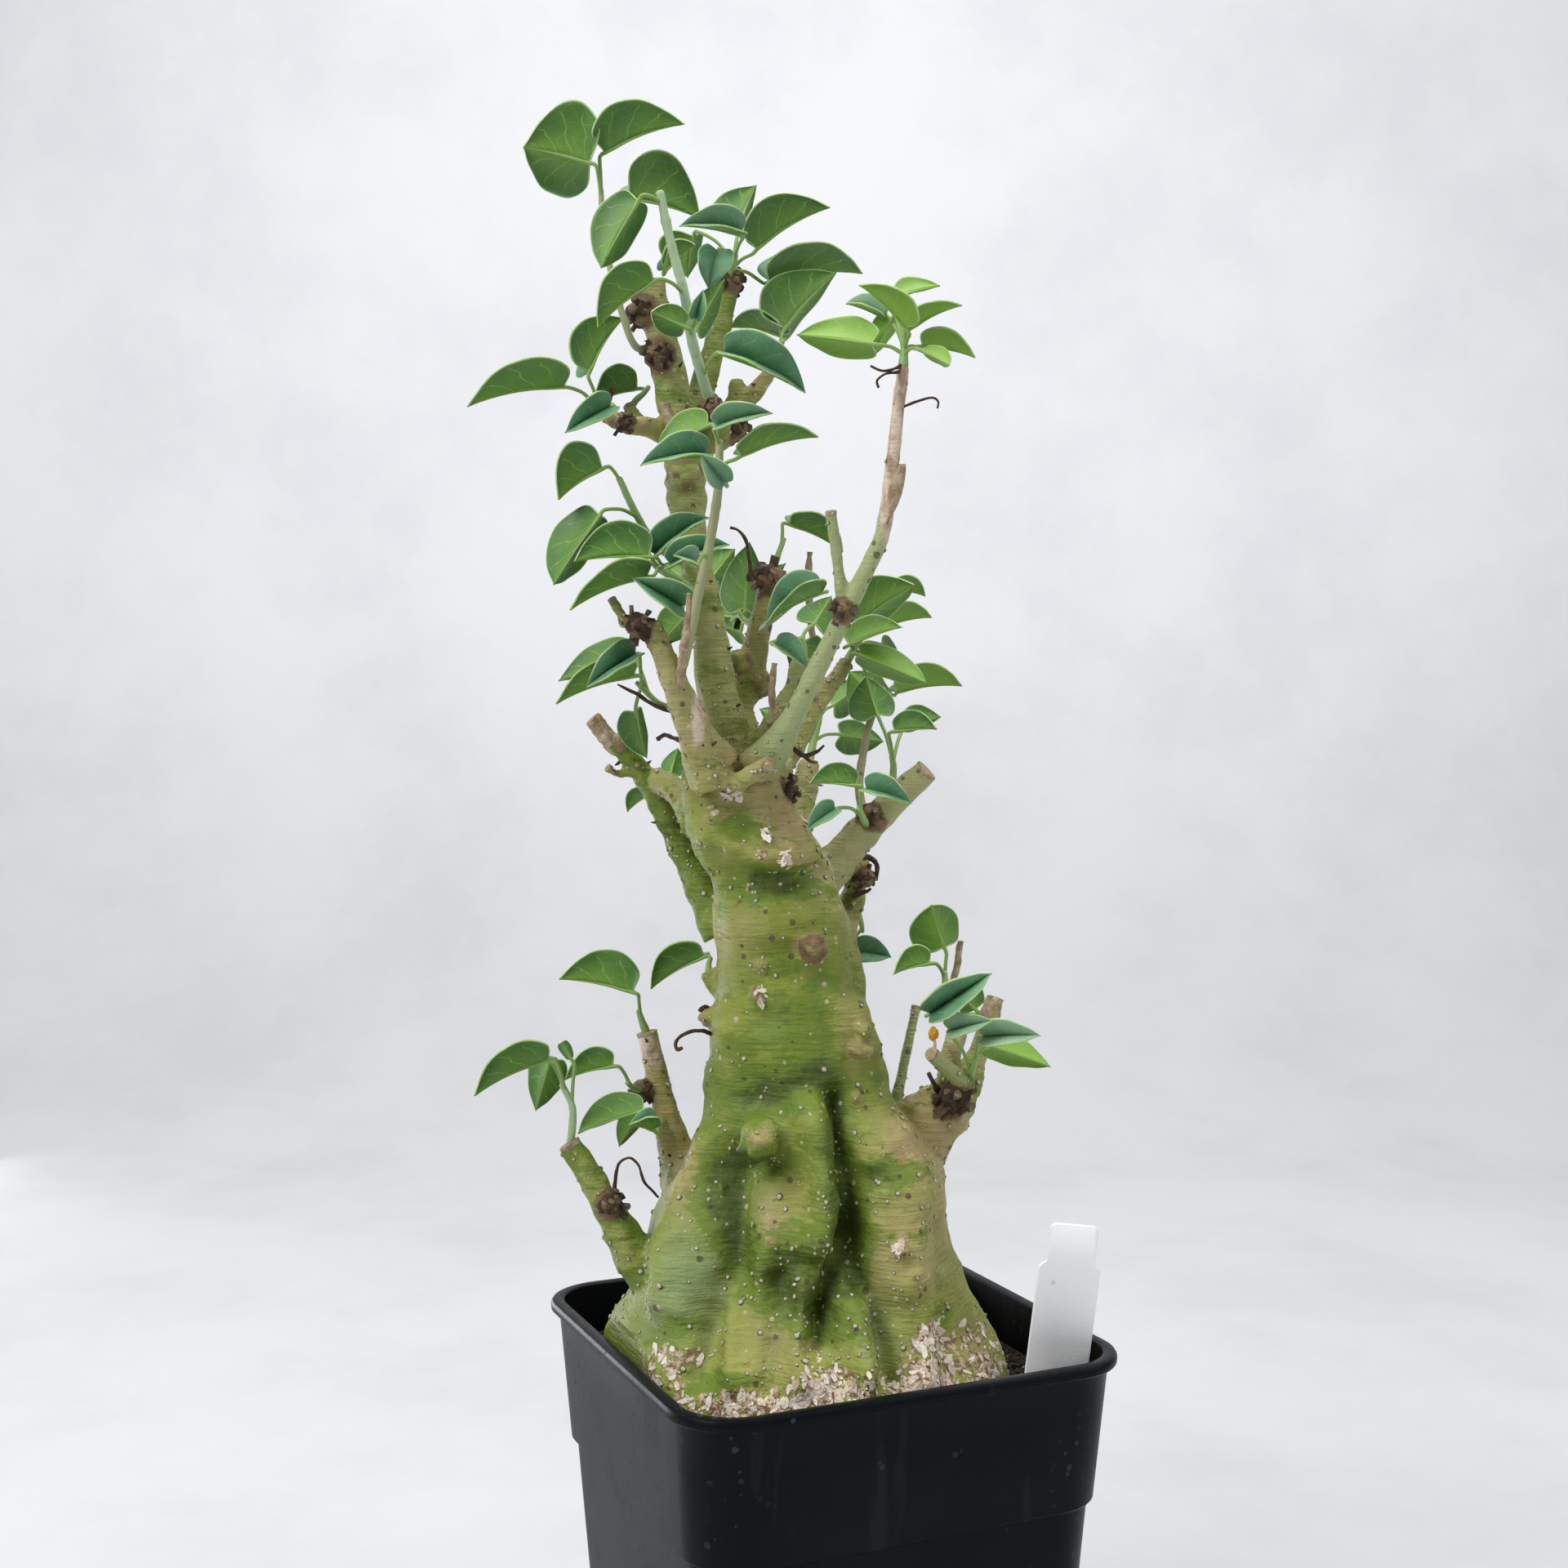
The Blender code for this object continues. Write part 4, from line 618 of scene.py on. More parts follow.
def leafMargin():
    margin = Paint("leafMargin", leafColours, "margin", 0.5)
    margin.lay(margin.blotch(200.0, 0.35, 0.65), "young")
    return margin.finished()


stemColours = {"green": srgb(134, 166, 86), "bloom": srgb(172, 192, 158), "woody": srgb(160, 148, 112),
               "scar": srgb(112, 82, 58)}

def greenStem():
    # tone: 0 green petiole, 0.5 stem with a pale bloom, 1 woody
    stem = Paint("greenStem", stemColours, "green", 0.5)
    tone = stem.value("tone")
    stem.lay(tone.fade(0.0, 0.5), "bloom")
    stem.lay(tone.fade(0.5, 1.0), "woody")
    cloud = stem.blotch(160.0, 0.35, 0.65, stretch=(1, 1, 0.4), detail=5.0)
    stem.lay(cloud * 0.3, "green")
    mark = stem.specks(420.0, 0.3, 0.22)
    stem.lay(mark["Mask"] * tone.fade(0.4, 1.0, 0.1, 0.8), "scar")
    return stem.finished(cloud + mark["Height"], 0.35, 0.0003)


potColours = {"plastic": (0.0030, 0.0042, 0.0058), "dust": (0.10, 0.125, 0.15), "scuff": (0.045, 0.05, 0.055)}

def potPlastic():
    plastic = Paint("potPlastic", potColours, "plastic", 0.36)
    plastic.set({"Specular IOR Level": 0.08})
    haze = plastic.blotch(22.0, 0.42, 0.75, detail=6.0)
    spots = plastic.specks(460.0, 0.36, 0.22)["Mask"] * plastic.blotch(30.0, 0.46, 0.58)
    plastic.lay(haze * 0.07, "scuff")
    plastic.lay(spots * 0.3, "dust")
    plastic.lay(plastic.blotch(150.0, 0.6, 0.72, stretch=(1, 1, 0.1), detail=3.0) * 0.05, "dust")
    grain = plastic.blotch(1500.0, 0.3, 0.7, detail=2.0)
    return plastic.finished(grain + spots * 0.6, 0.12, 0.0002, haze * 0.12 + spots * 0.25 + 0.33)


def soilFinish(name, dark, light, pale, scale):
    look = {"dark": srgb(*dark), "light": srgb(*light), "pale": srgb(*pale)}
    earth = Paint(name, look, "light", 0.94, "dark")
    cloud = earth.blotch(scale, 0.35, 0.65, detail=6.0)
    grit = earth.blotch(scale * 4, 0.42, 0.6)
    earth.lay(cloud, "light")
    earth.lay(grit * 0.5, "pale")
    return earth.finished(cloud + grit, 0.9, 0.0012)


labelColours = {"shown": (0.9, 0.91, 0.92), "white": (0.92, 0.925, 0.93), "haze": (0.78, 0.78, 0.75),
                "grime": (0.42, 0.38, 0.32)}

def labelPlastic():
    label = Paint("labelPlastic", labelColours, "shown", 0.38, "white")
    haze = label.blotch(60.0, 0.5, 0.8, detail=5.0)
    label.lay(haze * 0.16, "haze")
    label.lay(label.specks(420.0, 0.22, 0.08)["Mask"] * 0.35, "grime")
    grain = label.blotch(1200.0, 0.3, 0.7, detail=2.0)
    return label.finished(grain, 0.1, 0.0002, haze * 0.1 + 0.34)


# dark, light and fresh colour on the screen, roughness, patches a metre
barks = {
    "knob": ("knobBark", (44, 30, 20), (96, 74, 54), (176, 152, 122), 0.85, 420.0),
    "flake": ("flakyBark", (196, 160, 130), (244, 228, 206), (255, 250, 238), 0.85, 620.0),
    "wart": ("paleWart", (96, 88, 52), (132, 120, 80), (226, 218, 196), 0.7, 900.0),
    "cut": ("cutWood", (158, 138, 98), (200, 184, 142), (210, 196, 160), 0.8, 800.0),
    "dry": ("dryTwig", (58, 38, 28), (104, 76, 58), (140, 112, 90), 0.85, 600.0),
    "papery": ("paperyBark", (146, 120, 90), (202, 184, 154), (222, 208, 184), 0.8, 300.0),
    "bud": ("yellowBud", (206, 138, 16), (236, 176, 40), (240, 190, 60), 0.5, 500.0),
}

def makeFinishes():
    finishes = {key: barkFinish(*bark) for key, bark in barks.items()}
    finishes.update({
        "skin": adeniaSkin(), "pot": potPlastic(), "label": labelPlastic(), "stem": greenStem(),
        "upper": leafBlade("leafUpper", "upper"), "under": leafBlade("leafUnder", "under"),
        "margin": leafMargin(),
        "soil": soilFinish("pottingMix", (30, 24, 20), (62, 50, 42), (92, 78, 66), 260.0),
        "pumice": soilFinish("paleGrit", (122, 112, 98), (172, 164, 150), (200, 192, 178), 500.0),
    })
    return finishes


# pot

potShape = {
    "high": 125.0, "side": 120.0, "corner": 17.0, "lipOut": 2.0, "lipHigh": 3.0, "band": 38.0, "stepIn": 1.5,
    "taper": 0.075, "wall": 1.8, "floor": 2.2, "drainRadius": 5.0, "drainSpread": 30.0, "segments": 14,
    "straight": 10,
}

def potSide(z):
    pot = potShape
    step = pot["stepIn"] if z < pot["high"] - pot["band"] else 0.0
    return pot["side"] / 2 - pot["lipOut"] - pot["taper"] * (pot["high"] - z) - step


def squareRing(half, corner, z):
    # a square with round corners: its arcs, and points along its straight sides
    def arcPoint(quarter, angle):
        middle = math.pi / 4 + quarter * math.pi / 2
        cx = (half - corner) * math.copysign(1, math.cos(middle))
        cy = (half - corner) * math.copysign(1, math.sin(middle))
        return np.array((cx + corner * math.cos(angle), cy + corner * math.sin(angle), z))

    ring, segments, straight = [], potShape["segments"], potShape["straight"]
    for quarter in range(4):
        start = quarter * math.pi / 2
        ring += [arcPoint(quarter, start + k / segments * math.pi / 2) for k in range(segments + 1)]
        last, following = ring[-1], arcPoint(quarter + 1, start + math.pi / 2)
        ring += [last + (following - last) * k / straight for k in range(1, straight)]
    return ring


def makePot(finishes):
    pot = potShape
    high, half, corner = pot["high"], pot["side"] / 2, pot["corner"]
    wall, thick = corner - pot["lipOut"], pot["wall"]
    step, lipFoot = high - pot["band"], high - pot["lipHigh"]
    # half width, corner radius and height: up the outside, over the lip and down the inside
    rows = [(potSide(0) - 1.4, wall - 4.5, 0.0), (potSide(0) - 0.35, wall - 3.8, 0.35),
            (potSide(0), wall - 3.5, 1.4)]
    rows += [(potSide(z), wall - 3.5 + 2.0 * z / step, z) for z in (20.0, 45.0, 70.0, step - 1.4)]
    rows += [(potSide(step - 0.5), wall - 1.5, step - 0.4), (potSide(step - 0.01) + 0.35, wall - 1.1, step),
             (potSide(step) - 0.45, wall - 0.3, step + 0.3), (potSide(step + 1), wall, step + 1.0)]
    rows += [(potSide(z), wall, z) for z in (step + 12, step + 24, lipFoot - 1.0)]
    rows += [(potSide(lipFoot) + 0.3, wall + 0.2, lipFoot - 0.2), (half - 0.5, corner - 0.4, lipFoot + 0.1),
             (half - 0.08, corner, lipFoot + 0.55), (half, corner, lipFoot + 1.3),
             (half - 0.05, corner, high - 0.9), (half - 0.45, corner - 0.4, high - 0.25),
             (half - 1.2, corner - 1.2, high)]
    inside = [(potSide(high) + 0.7, wall + 0.7, high), (potSide(high) + 0.15, wall, high - 0.3),
              (potSide(high), wall, high - 1.0), (potSide(step), wall, step + 1.0),
              (potSide(step - 0.01), wall - 1.5, step - 1.0),
              (potSide(pot["floor"]), wall - 3.5, pot["floor"] + 1.5),
              (potSide(pot["floor"]) - 1.5, wall - 5.0, pot["floor"])]
    rows += [(side - thick, bend - thick, z) for side, bend, z in inside]
    rings = [squareRing(*row) for row in rows]
    shape = Shape()
    shape.add([point for ring in rings for point in ring], ringFaces(len(rings), len(rings[0])))
    piece = shape.piece("nurseryPot", [finishes["pot"]], turn=False)
    cutters = []
    spread = pot["drainSpread"]
    for x, y in ((-spread, -spread), (-spread, spread), (spread, -spread), (spread, spread)):
        bpy.ops.mesh.primitive_cylinder_add(vertices=40, radius=pot["drainRadius"] * mm, depth=0.01,
                                            location=(x * mm, y * mm, pot["floor"] * mm / 2))
        cutters.append(bpy.context.object)
        cut = piece.modifiers.new("drain", "BOOLEAN")
        cut.object, cut.solver = cutters[-1], "EXACT"
    applyModifiers(piece)
    for cutter in cutters:
        bpy.data.objects.remove(cutter)
    smoothByAngle(piece, 32)
    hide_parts("pot")
    return piece


# label

labelShape = {
    "width": 16.0, "headWidth": 12.4, "head": 9.5, "length": 91.0, "thick": 1.0, "foot": (57.7, -22.0),
    "lean": math.radians(6.5), "twist": math.radians(6), "buried": 46.0, "soilDrop": 13.0, "round": 1.6,
    "edge": 0.22,
}
soilTop = potShape["high"] - labelShape["soilDrop"]

def makeLabel(finishes):
    look = labelShape
    half, head = look["width"] / 2, look["headWidth"] / 2
    top, low = look["length"] - look["buried"], -look["buried"]
    neck, corner, edge, thick = top - look["head"], look["round"], look["edge"], look["thick"] / 2
    right = [(1.5, low), (half, low + 16), (half, neck - 2.2), (half - 0.3, neck - 1.3),
             (half - 1.0, neck - 0.8), (head + 0.15, neck - 0.3), (head, neck + 0.6)]
    for k in range(6):
        angle = k / 5 * math.pi / 2
        right.append((head - corner + corner * math.cos(angle), top - corner + corner * math.sin(angle)))
    outline = right + [(-x, z) for x, z in reversed(right)]
    points = []
    for y, inset in ((-thick, edge), (-thick + edge, 0.0), (thick - edge, 0.0), (thick, edge)):
        for x, z in outline:
            x, z = x - math.copysign(inset, x), z + (inset if z < 0 else -inset if z > top - 2 else 0.0)
            x, z = turned(x, z, -look["lean"])
            x, away = turned(x, y - 0.04 * z, look["twist"])
            points.append(np.array((look["foot"][0] + x, look["foot"][1] + away, soilTop + z)))
    shape = Shape()
    shape.add(points, ringFaces(4, len(outline)))
    piece = shape.piece("plantLabel", [finishes["label"]])
    smoothByAngle(piece, 40)
    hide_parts("label")
    return piece


# caudex and branches

# outline of the trunk: row in the view, left edge, right edge, depth of its middle, depth over width
caudexRows = [
    (1680, 740, 1232, -2, 0.96), (1640, 735, 1220, -2, 0.95), (1610, 744, 1201, -2, 0.94),
    (1580, 764, 1188, -1, 0.92), (1540, 779, 1170, 0, 0.9), (1500, 796, 1158, 0, 0.86),
    (1460, 816, 1158, 0, 0.84), (1420, 846, 1154, 0, 0.84), (1385, 858, 1122, 0, 0.86),
    (1350, 866, 1095, 0, 0.9), (1300, 869, 1082, 1, 0.94), (1250, 869, 1067, 1, 0.96),
    (1200, 875, 1055, 1, 0.98), (1150, 874, 1042, 1, 0.98), (1100, 877, 1028, 1, 0.98),
    (1060, 868, 1014, 0, 0.96), (1020, 850, 993, 0, 0.94), (980, 838, 972, 0, 0.94),
    (945, 839, 952, 0, 0.92), (918, 858, 926, 0, 0.9),
]
# relief on its front, and on its back as if seen from behind: route, half width and height in
# millimetres, a fold negative
frontRelief = [
    ([(1022, 1345), (1024, 1385), (1030, 1420), (1041, 1465), (1040, 1510), (1022, 1560), (1006, 1610),
        (1000, 1650)], 4, -6),
    ([(1040, 1515), (1055, 1560), (1078, 1605), (1092, 1655), (1098, 1700)], 4.4, -4),
    ([(905, 1412), (893, 1450), (897, 1505), (888, 1560), (868, 1620), (850, 1680)], 7.5, -4.6),
    ([(952, 1570), (962, 1605), (950, 1650), (940, 1700)], 4.5, -2.6),
    ([(1008, 1610), (1020, 1655), (1030, 1700)], 3, -2.4),
    ([(1150, 1555), (1160, 1620), (1176, 1680)], 4.5, -2),
    ([(800, 1560), (788, 1605), (800, 1660)], 4, -1.8),
    ([(872, 1400), (850, 1455), (832, 1520), (815, 1585)], 8, 2.8),
    ([(1000, 1365), (1006, 1420), (1012, 1470), (1000, 1520)], 6.5, 4.2),
    ([(1072, 1385), (1092, 1440), (1095, 1500), (1105, 1565)], 10, 3.6),
    ([(982, 1580), (980, 1640), (985, 1690)], 4.5, 2.2), ([(1052, 1615), (1058, 1685)], 4.5, 2.4),
    ([(1128, 1610), (1135, 1690)], 5, 2), ([(880, 1600), (900, 1690)], 5, 1.8),
    ([(928, 1392), (934, 1397)], 4.6, 6.5), ([(915, 1424), (950, 1424)], 3.6, -2.4),
    ([(997, 1158), (997, 1164)], 2.6, 4.6), ([(940, 1172), (960, 1172)], 4, -1.2),
    ([(1046, 1235), (1062, 1275)], 5, 2), ([(866, 1235), (862, 1250)], 3.4, 1.8),
    ([(864, 1312), (862, 1330)], 4.2, 2), ([(900, 1090), (960, 1086), (1005, 1070)], 4, -1.4),
    ([(870, 1010), (900, 1035), (960, 1050)], 5.5, 1.6), ([(930, 1340), (985, 1338)], 7, -1.6),
]
backRelief = [
    ([(985, 1330), (980, 1400), (970, 1470), (985, 1540), (1010, 1600), (1015, 1660)], 4.6, -5.6),
    ([(975, 1480), (940, 1550), (915, 1620), (905, 1690)], 5, -3.8),
    ([(1070, 1430), (1085, 1500), (1075, 1580), (1090, 1660)], 6.5, -3.4),
    ([(860, 1480), (850, 1560), (835, 1640)], 6, -3),
    ([(1025, 1380), (1030, 1450), (1035, 1540), (1050, 1640)], 7.5, 3.8),
    ([(925, 1390), (915, 1450), (880, 1540), (870, 1640)], 8, 3.8), ([(955, 1570), (960, 1660)], 5, 2.6),
    ([(1130, 1520), (1140, 1620)], 7, 2.4), ([(940, 1255), (944, 1262)], 3.6, 4.6),
    ([(1010, 1120), (1010, 1128)], 3, 3.6), ([(900, 1330), (985, 1325)], 6.5, -1.8),
    ([(890, 1080), (990, 1090)], 4.5, -1.6),
]
# points of the view with depth and radius
woodyBranches = {
    "leader": [(893, 935, 0, 9), (887, 890, 0, 6.2), (877, 840, 0, 5.2), (869, 780, 0, 4.6),
        (858, 720, 0, 4.3), (846, 660, -1, 4.4), (840, 600, -1, 4.9), (834, 540, 0, 4.9),
        (823, 480, 0, 4.5), (810, 410, 1, 4), (795, 347, 2, 3.7)],
    "leader_fork": [(834, 535, 2, 4.2), (857, 482, 7, 3.5), (876, 420, 12, 2.9), (893, 352, 15, 2.8)],
    "front_left": [(872, 960, -14, 6.4), (852, 905, -19, 4.4), (830, 845, -24, 3.6), (812, 800, -27, 3),
        (795, 765, -29, 2.9)],
    "front_spur": [(884, 935, -13, 4.4), (862, 893, -16, 2.5), (849, 860, -17, 2)],
    "crown_spur": [(876, 978, -8, 4.4), (908, 955, -17, 2.5), (941, 935, -23, 1.9)],
    "left_arm": [(890, 1140, 14, 7), (852, 1075, 17, 4), (826, 1020, 18, 3.6), (806, 975, 16, 3.5),
        (780, 940, 13, 3.1), (755, 912, 10, 2.3), (724, 881, 8, 1.8)],
    "left_arm_root": [(862, 1005, -1, 6), (832, 972, 6, 3.6), (803, 953, 14, 3.2)],
    "left_arm_twig": [(778, 945, 13, 2), (758, 948, 11, 1.4), (744, 940, 9, 1.1)],
    "knob_stem": [(915, 925, 9, 6), (905, 872, 13, 3.8), (916, 832, 15, 4.6), (925, 790, 13, 3.5),
        (936, 740, 12, 2.9), (948, 696, 12, 3.4)],
    "mid_stem": [(930, 925, 0, 5.5), (956, 884, -3, 4.4), (970, 850, -5, 3.1), (984, 806, -6, 2.7)],
    "long_shoot": [(930, 940, -10, 6), (963, 893, -17, 3.3), (995, 830, -23, 2.6), (1030, 760, -28, 2.3),
        (1060, 700, -32, 2.1), (1080, 655, -34, 1.9), (1090, 590, -35, 1.7), (1098, 520, -35, 1.6),
        (1106, 448, -35, 1.6)],
    "long_spur": [(1036, 758, -28, 2.2), (1027, 700, -31, 1.5), (1017, 626, -34, 1.4)],
    "back_right": [(930, 950, 16, 6), (965, 925, 25, 3.4), (997, 868, 35, 2.7), (1036, 812, 43, 2.1)],
    "back_left": [(895, 940, 16, 6), (880, 890, 29, 3.4), (868, 830, 38, 2.7), (862, 770, 44, 2.2)],
    "back_arm": [(955, 1110, 6, 9), (968, 1040, 27, 5.2), (982, 985, 41, 3.8), (990, 935, 50, 3.2)],
    "right_arm": [(975, 1100, 8, 10), (1020, 1060, 8, 5.4), (1060, 1015, 6, 4.3), (1095, 980, 4, 3.7),
        (1135, 943, 2, 3.2)],
    "right_arm_root": [(1015, 1170, 16, 6), (1044, 1100, 18, 3.3), (1050, 1055, 11, 3)],
    "right_low": [(1075, 1440, 8, 17), (1120, 1392, 6, 10.5), (1155, 1356, 4, 7.6), (1172, 1330, 3, 5.6)],
    "right_low_bow": [(1168, 1335, 2, 4), (1163, 1298, -1, 2.9), (1174, 1262, -2, 2.6)],
    "right_low_tall": [(1178, 1332, 6, 4), (1198, 1286, 9, 2.6), (1219, 1222, 12, 2.2)],
    "right_low_spur": [(1186, 1330, -2, 3), (1165, 1312, -8, 2), (1140, 1290, -13, 1.9)],
    "right_stick": [(1092, 1372, 14, 3), (1101, 1330, 16, 1.6), (1122, 1232, 20, 1.3)],
    "left_low_upper": [(856, 1456, 8, 11), (830, 1412, 10, 5.6), (816, 1365, 10, 3.6), (803, 1310, 10, 2.9),
        (792, 1264, 10, 2.7)],
    "left_low_lower": [(806, 1560, -8, 9), (776, 1532, -10, 5.8), (748, 1485, -12, 4),
        (722, 1440, -12, 3.3), (697, 1400, -12, 2.9)],
    "left_mid_spur": [(888, 1220, 6, 4), (866, 1190, 9, 2.1)],
    "left_knob_spur": [(872, 1250, 2, 3.4), (860, 1236, 2, 1.7)],
    "left_high_spur": [(818, 526, 0, 4.2), (787, 522, -3, 2.7), (762, 519, -5, 2.1), (742, 508, -6, 1.6)],
    "left_high_twig": [(790, 522, 0, 2.4), (770, 498, 4, 1.6)],
    "right_high_spur": [(850, 545, 5, 4.4), (886, 527, 9, 4), (906, 493, 10, 2.8), (926, 478, 10, 2.4),
        (946, 452, 10, 1.5)],
    "right_high_twig": [(904, 495, 10, 2), (902, 466, 10, 1.5)],
    "green_stem_foot": [(884, 528, 6, 3.6), (876, 505, -2, 2.9), (868, 487, -8, 2.3)],
    "front_left_twig": [(792, 772, -29, 2.2), (765, 758, -28, 1.6), (749, 733, -27, 1.1)],
}
# rough knobs where shoots were cut back: point, depth and radius (0 leaves one out)
woodyKnobs = [
    (806, 436, -3, 3.6), (784, 768, -29, 3.4), (940, 708, 10, 3.9), (960, 884, -10, 4.6),
    (905, 812, 10, 3.8), (930, 838, 14, 4), (894, 346, 15, 3.4), (898, 524, 10, 3.8), (1068, 1000, 4, 3.4),
    (1168, 1346, -3, 4.2), (787, 383, 0, 3.9), (750, 474, -16, 0), (748, 1474, -15, 3.2),
    (786, 1336, 8, 2.8), (762, 517, -5, 2.6), (960, 968, -2, 3.4), (840, 585, -3, 5.4),
    (1034, 746, -29, 2.8), (872, 500, -6, 3), (1060, 1075, 10, 2.6),
]


def bumpField(px, py, relief):
    # height of the relief at arrays of pixels, and how deep the folds among it are
    total, folds = np.zeros_like(px), np.zeros_like(px)
    for route, width, height in relief:
        nearest = np.full_like(px, 1e9)
        for (ax, ay), (bx, by) in zip(route, route[1:]):
            dx, dy = bx - ax, by - ay
            t = np.clip(((px - ax) * dx + (py - ay) * dy) / (dx * dx + dy * dy), 0, 1)
            nearest = np.minimum(nearest, np.hypot(px - ax - t * dx, py - ay - t * dy))
        scaled = nearest / (4.7 * width)
        share = np.where(scaled < 2.2, np.exp(-1.6 * scaled * scaled), 0.0)
        total += height * share
        if height < 0:
            folds += -height * share ** 3.5
    return total, folds


# smaller folds and swellings of the front that only the finished skin carries
fineRelief = [
    ([(985, 1352), (1004, 1400), (1018, 1460), (1016, 1520)], 4.5, 2),
    ([(868, 1392), (842, 1470), (812, 1560)], 5, 1.6), ([(905, 1440), (940, 1436)], 5, -1.8),
    ([(977, 1560), (975, 1590)], 6, -1.6), ([(958, 1610), (948, 1700)], 2.6, 1.5),
    ([(1000, 1620), (994, 1700)], 2, -1.5), ([(1040, 1590), (1052, 1650), (1056, 1720)], 3.2, 1.9),
    ([(1086, 1600), (1104, 1700)], 2.4, -1.5), ([(1150, 1560), (1172, 1640), (1188, 1700)], 3.5, 1.5),
    ([(900, 1560), (912, 1640), (905, 1710)], 3, -1.3), ([(935, 1500), (930, 1560)], 4, 1.2),
    ([(1070, 1390), (1110, 1372), (1150, 1385)], 4, 1.6), ([(1060, 1440), (1090, 1448)], 3.2, -1.4),
    ([(1128, 1500), (1140, 1524)], 3.6, -1.1), ([(1100, 1500), (1096, 1560)], 5, 1.3),
    ([(880, 1235), (900, 1330)], 4, 1.1), ([(940, 1200), (1000, 1196)], 4.4, -1.2),
    ([(1010, 1205), (1024, 1290)], 3.4, -1), ([(1050, 1230), (1066, 1300)], 3, 1.3),
    ([(900, 1265), (960, 1270)], 4.4, 1), ([(920, 1350), (980, 1356)], 4.4, -1.4),
    ([(880, 1130), (960, 1140), (1020, 1120)], 4.2, 1), ([(870, 1030), (930, 1052), (990, 1046)], 3.6, 1.4),
    ([(880, 1068), (940, 1078), (1000, 1072)], 3, -1.3), ([(890, 985), (920, 1015)], 3.4, -1),
    ([(1034, 1330), (1040, 1290)], 2.2, -1.1),
]
# round stubs and warts of the trunk: pixel and radius
trunkKnobs = [
    (997, 1163, 3.1), (930, 1400, 4.3), (1052, 1286, 2.4), (1057, 1262, 1.9), (865, 1241, 2.4),
    (873, 996, 1.6), (928, 1216, 1.2), (934, 1182, 1.1), (1048, 1348, 1.3), (888, 1457, 1),
    (1101, 1530, 1.7), (949, 1525, 1), (939, 1024, 1.2), (962, 1052, 1.3), (1160, 1405, 1.4),
    (1118, 1560, 0.9), (912, 1660, 0.9), (1045, 1627, 1),
]

caudexShape = {
    "step": 1.2, "sides": 168, "grain": 0.66, "quickGrain": 1.0, "triangles": 188000, "quickTriangles": 90000,
    "wallMargin": 3.2, "fineLumps": 0.36, "trunkLumps": 1.15, "relief": 1.5,
    "fineSide": 18, "fineUp": 12, "patchSide": 35, "patchUp": 28,    # pixels, moves on the back
    "lowStub": 4.2,    # a stub this thick keeps its green skin but for its tip
    "buried": [(-5.0, 0.955), (-13.0, 0.86), (-24.0, 0.68), (-34.0, 0.44), (-41.0, 0.16)],
}

def caudexSpine(step):
    # height, centre x, centre y, half width and half depth up the trunk
    rows = []
    for row, left, right, depth, ratio in caudexRows:
        middle = seen((left + right) / 2, row, depth)
        half = (seen(right, row, depth)[0] - seen(left, row, depth)[0]) / 2
        rows.append((middle[2], middle[0], depth, half, half * ratio))
    base = rows[0]
    low = [(base[0] + drop, base[1], base[2], base[3] * share, base[4] * share)
           for drop, share in reversed(caudexShape["buried"])]
    return smoothLine(low + rows, step)


def insidePot(x, y, z, cx, cy):
    # trunk points pulled in to stay clear of the pot's inner wall
    half = potSide(z) - potShape["wall"] - caudexShape["wallMargin"]
    corner = potShape["corner"] - potShape["lipOut"] - potShape["wall"] - 1.5
    for _ in range(4):
        px, py = turned(x, y, -potTurn)
        dx, dy = np.abs(px) - half + corner, np.abs(py) - half + corner
        over = np.hypot(np.maximum(dx, 0), np.maximum(dy, 0)) + np.minimum(np.maximum(dx, dy), 0) - corner
        away = np.hypot(x - cx, y - cy)
        share = 1 - np.maximum(over, 0) / away
        x, y = cx + (x - cx) * share, cy + (y - cy) * share
    return x, y


def trunkRings():
    rings, look = [], caudexShape
    sides = look["sides"]
    angle = 2 * math.pi * np.arange(sides) / sides
    outX, outY = np.cos(angle), np.sin(angle)
    for z, cx, cy, half, deep in caudexSpine(look["step"]):
        x, y = cx + half * outX, cy + deep * outY
        facing = np.minimum(1.0, np.abs(outY) * 2.2)
        level = np.full(sides, z)
        pixels = shownAt(np.stack([x, y, level], -1))
        front = bumpField(*pixels, frontRelief)[0] * look["relief"] + bumpField(*pixels, fineRelief)[0]
        # the back has folds of its own and the front's small ones, turned over and moved
        pixels = shownAt(np.stack([2 * cx - x, 2 * cy - y, level], -1))
        back = bumpField(*pixels, backRelief)[0] * look["relief"]
        back += bumpField(pixels[0] + look["fineSide"], pixels[1] - look["fineUp"], fineRelief)[0]
        height = np.where(outY < 0, front, back) * facing * min(1.0, half / 12)
        height *= max(0.0, min(1.0, (z - soilTop + 6) / 8))    # no relief under the soil
        wave = 0.6 * np.sin(3 * angle + z / 17) + 0.4 * np.sin(5 * angle - z / 11 + 1)
        x, y = x + outX * (height + wave), y + outY * (height + wave)
        if z < potShape["high"] + 4:
            x, y = insidePot(x, y, min(z, potShape["high"]), cx, cy)
        rings.append(np.stack([x, y, level], -1))
    return rings


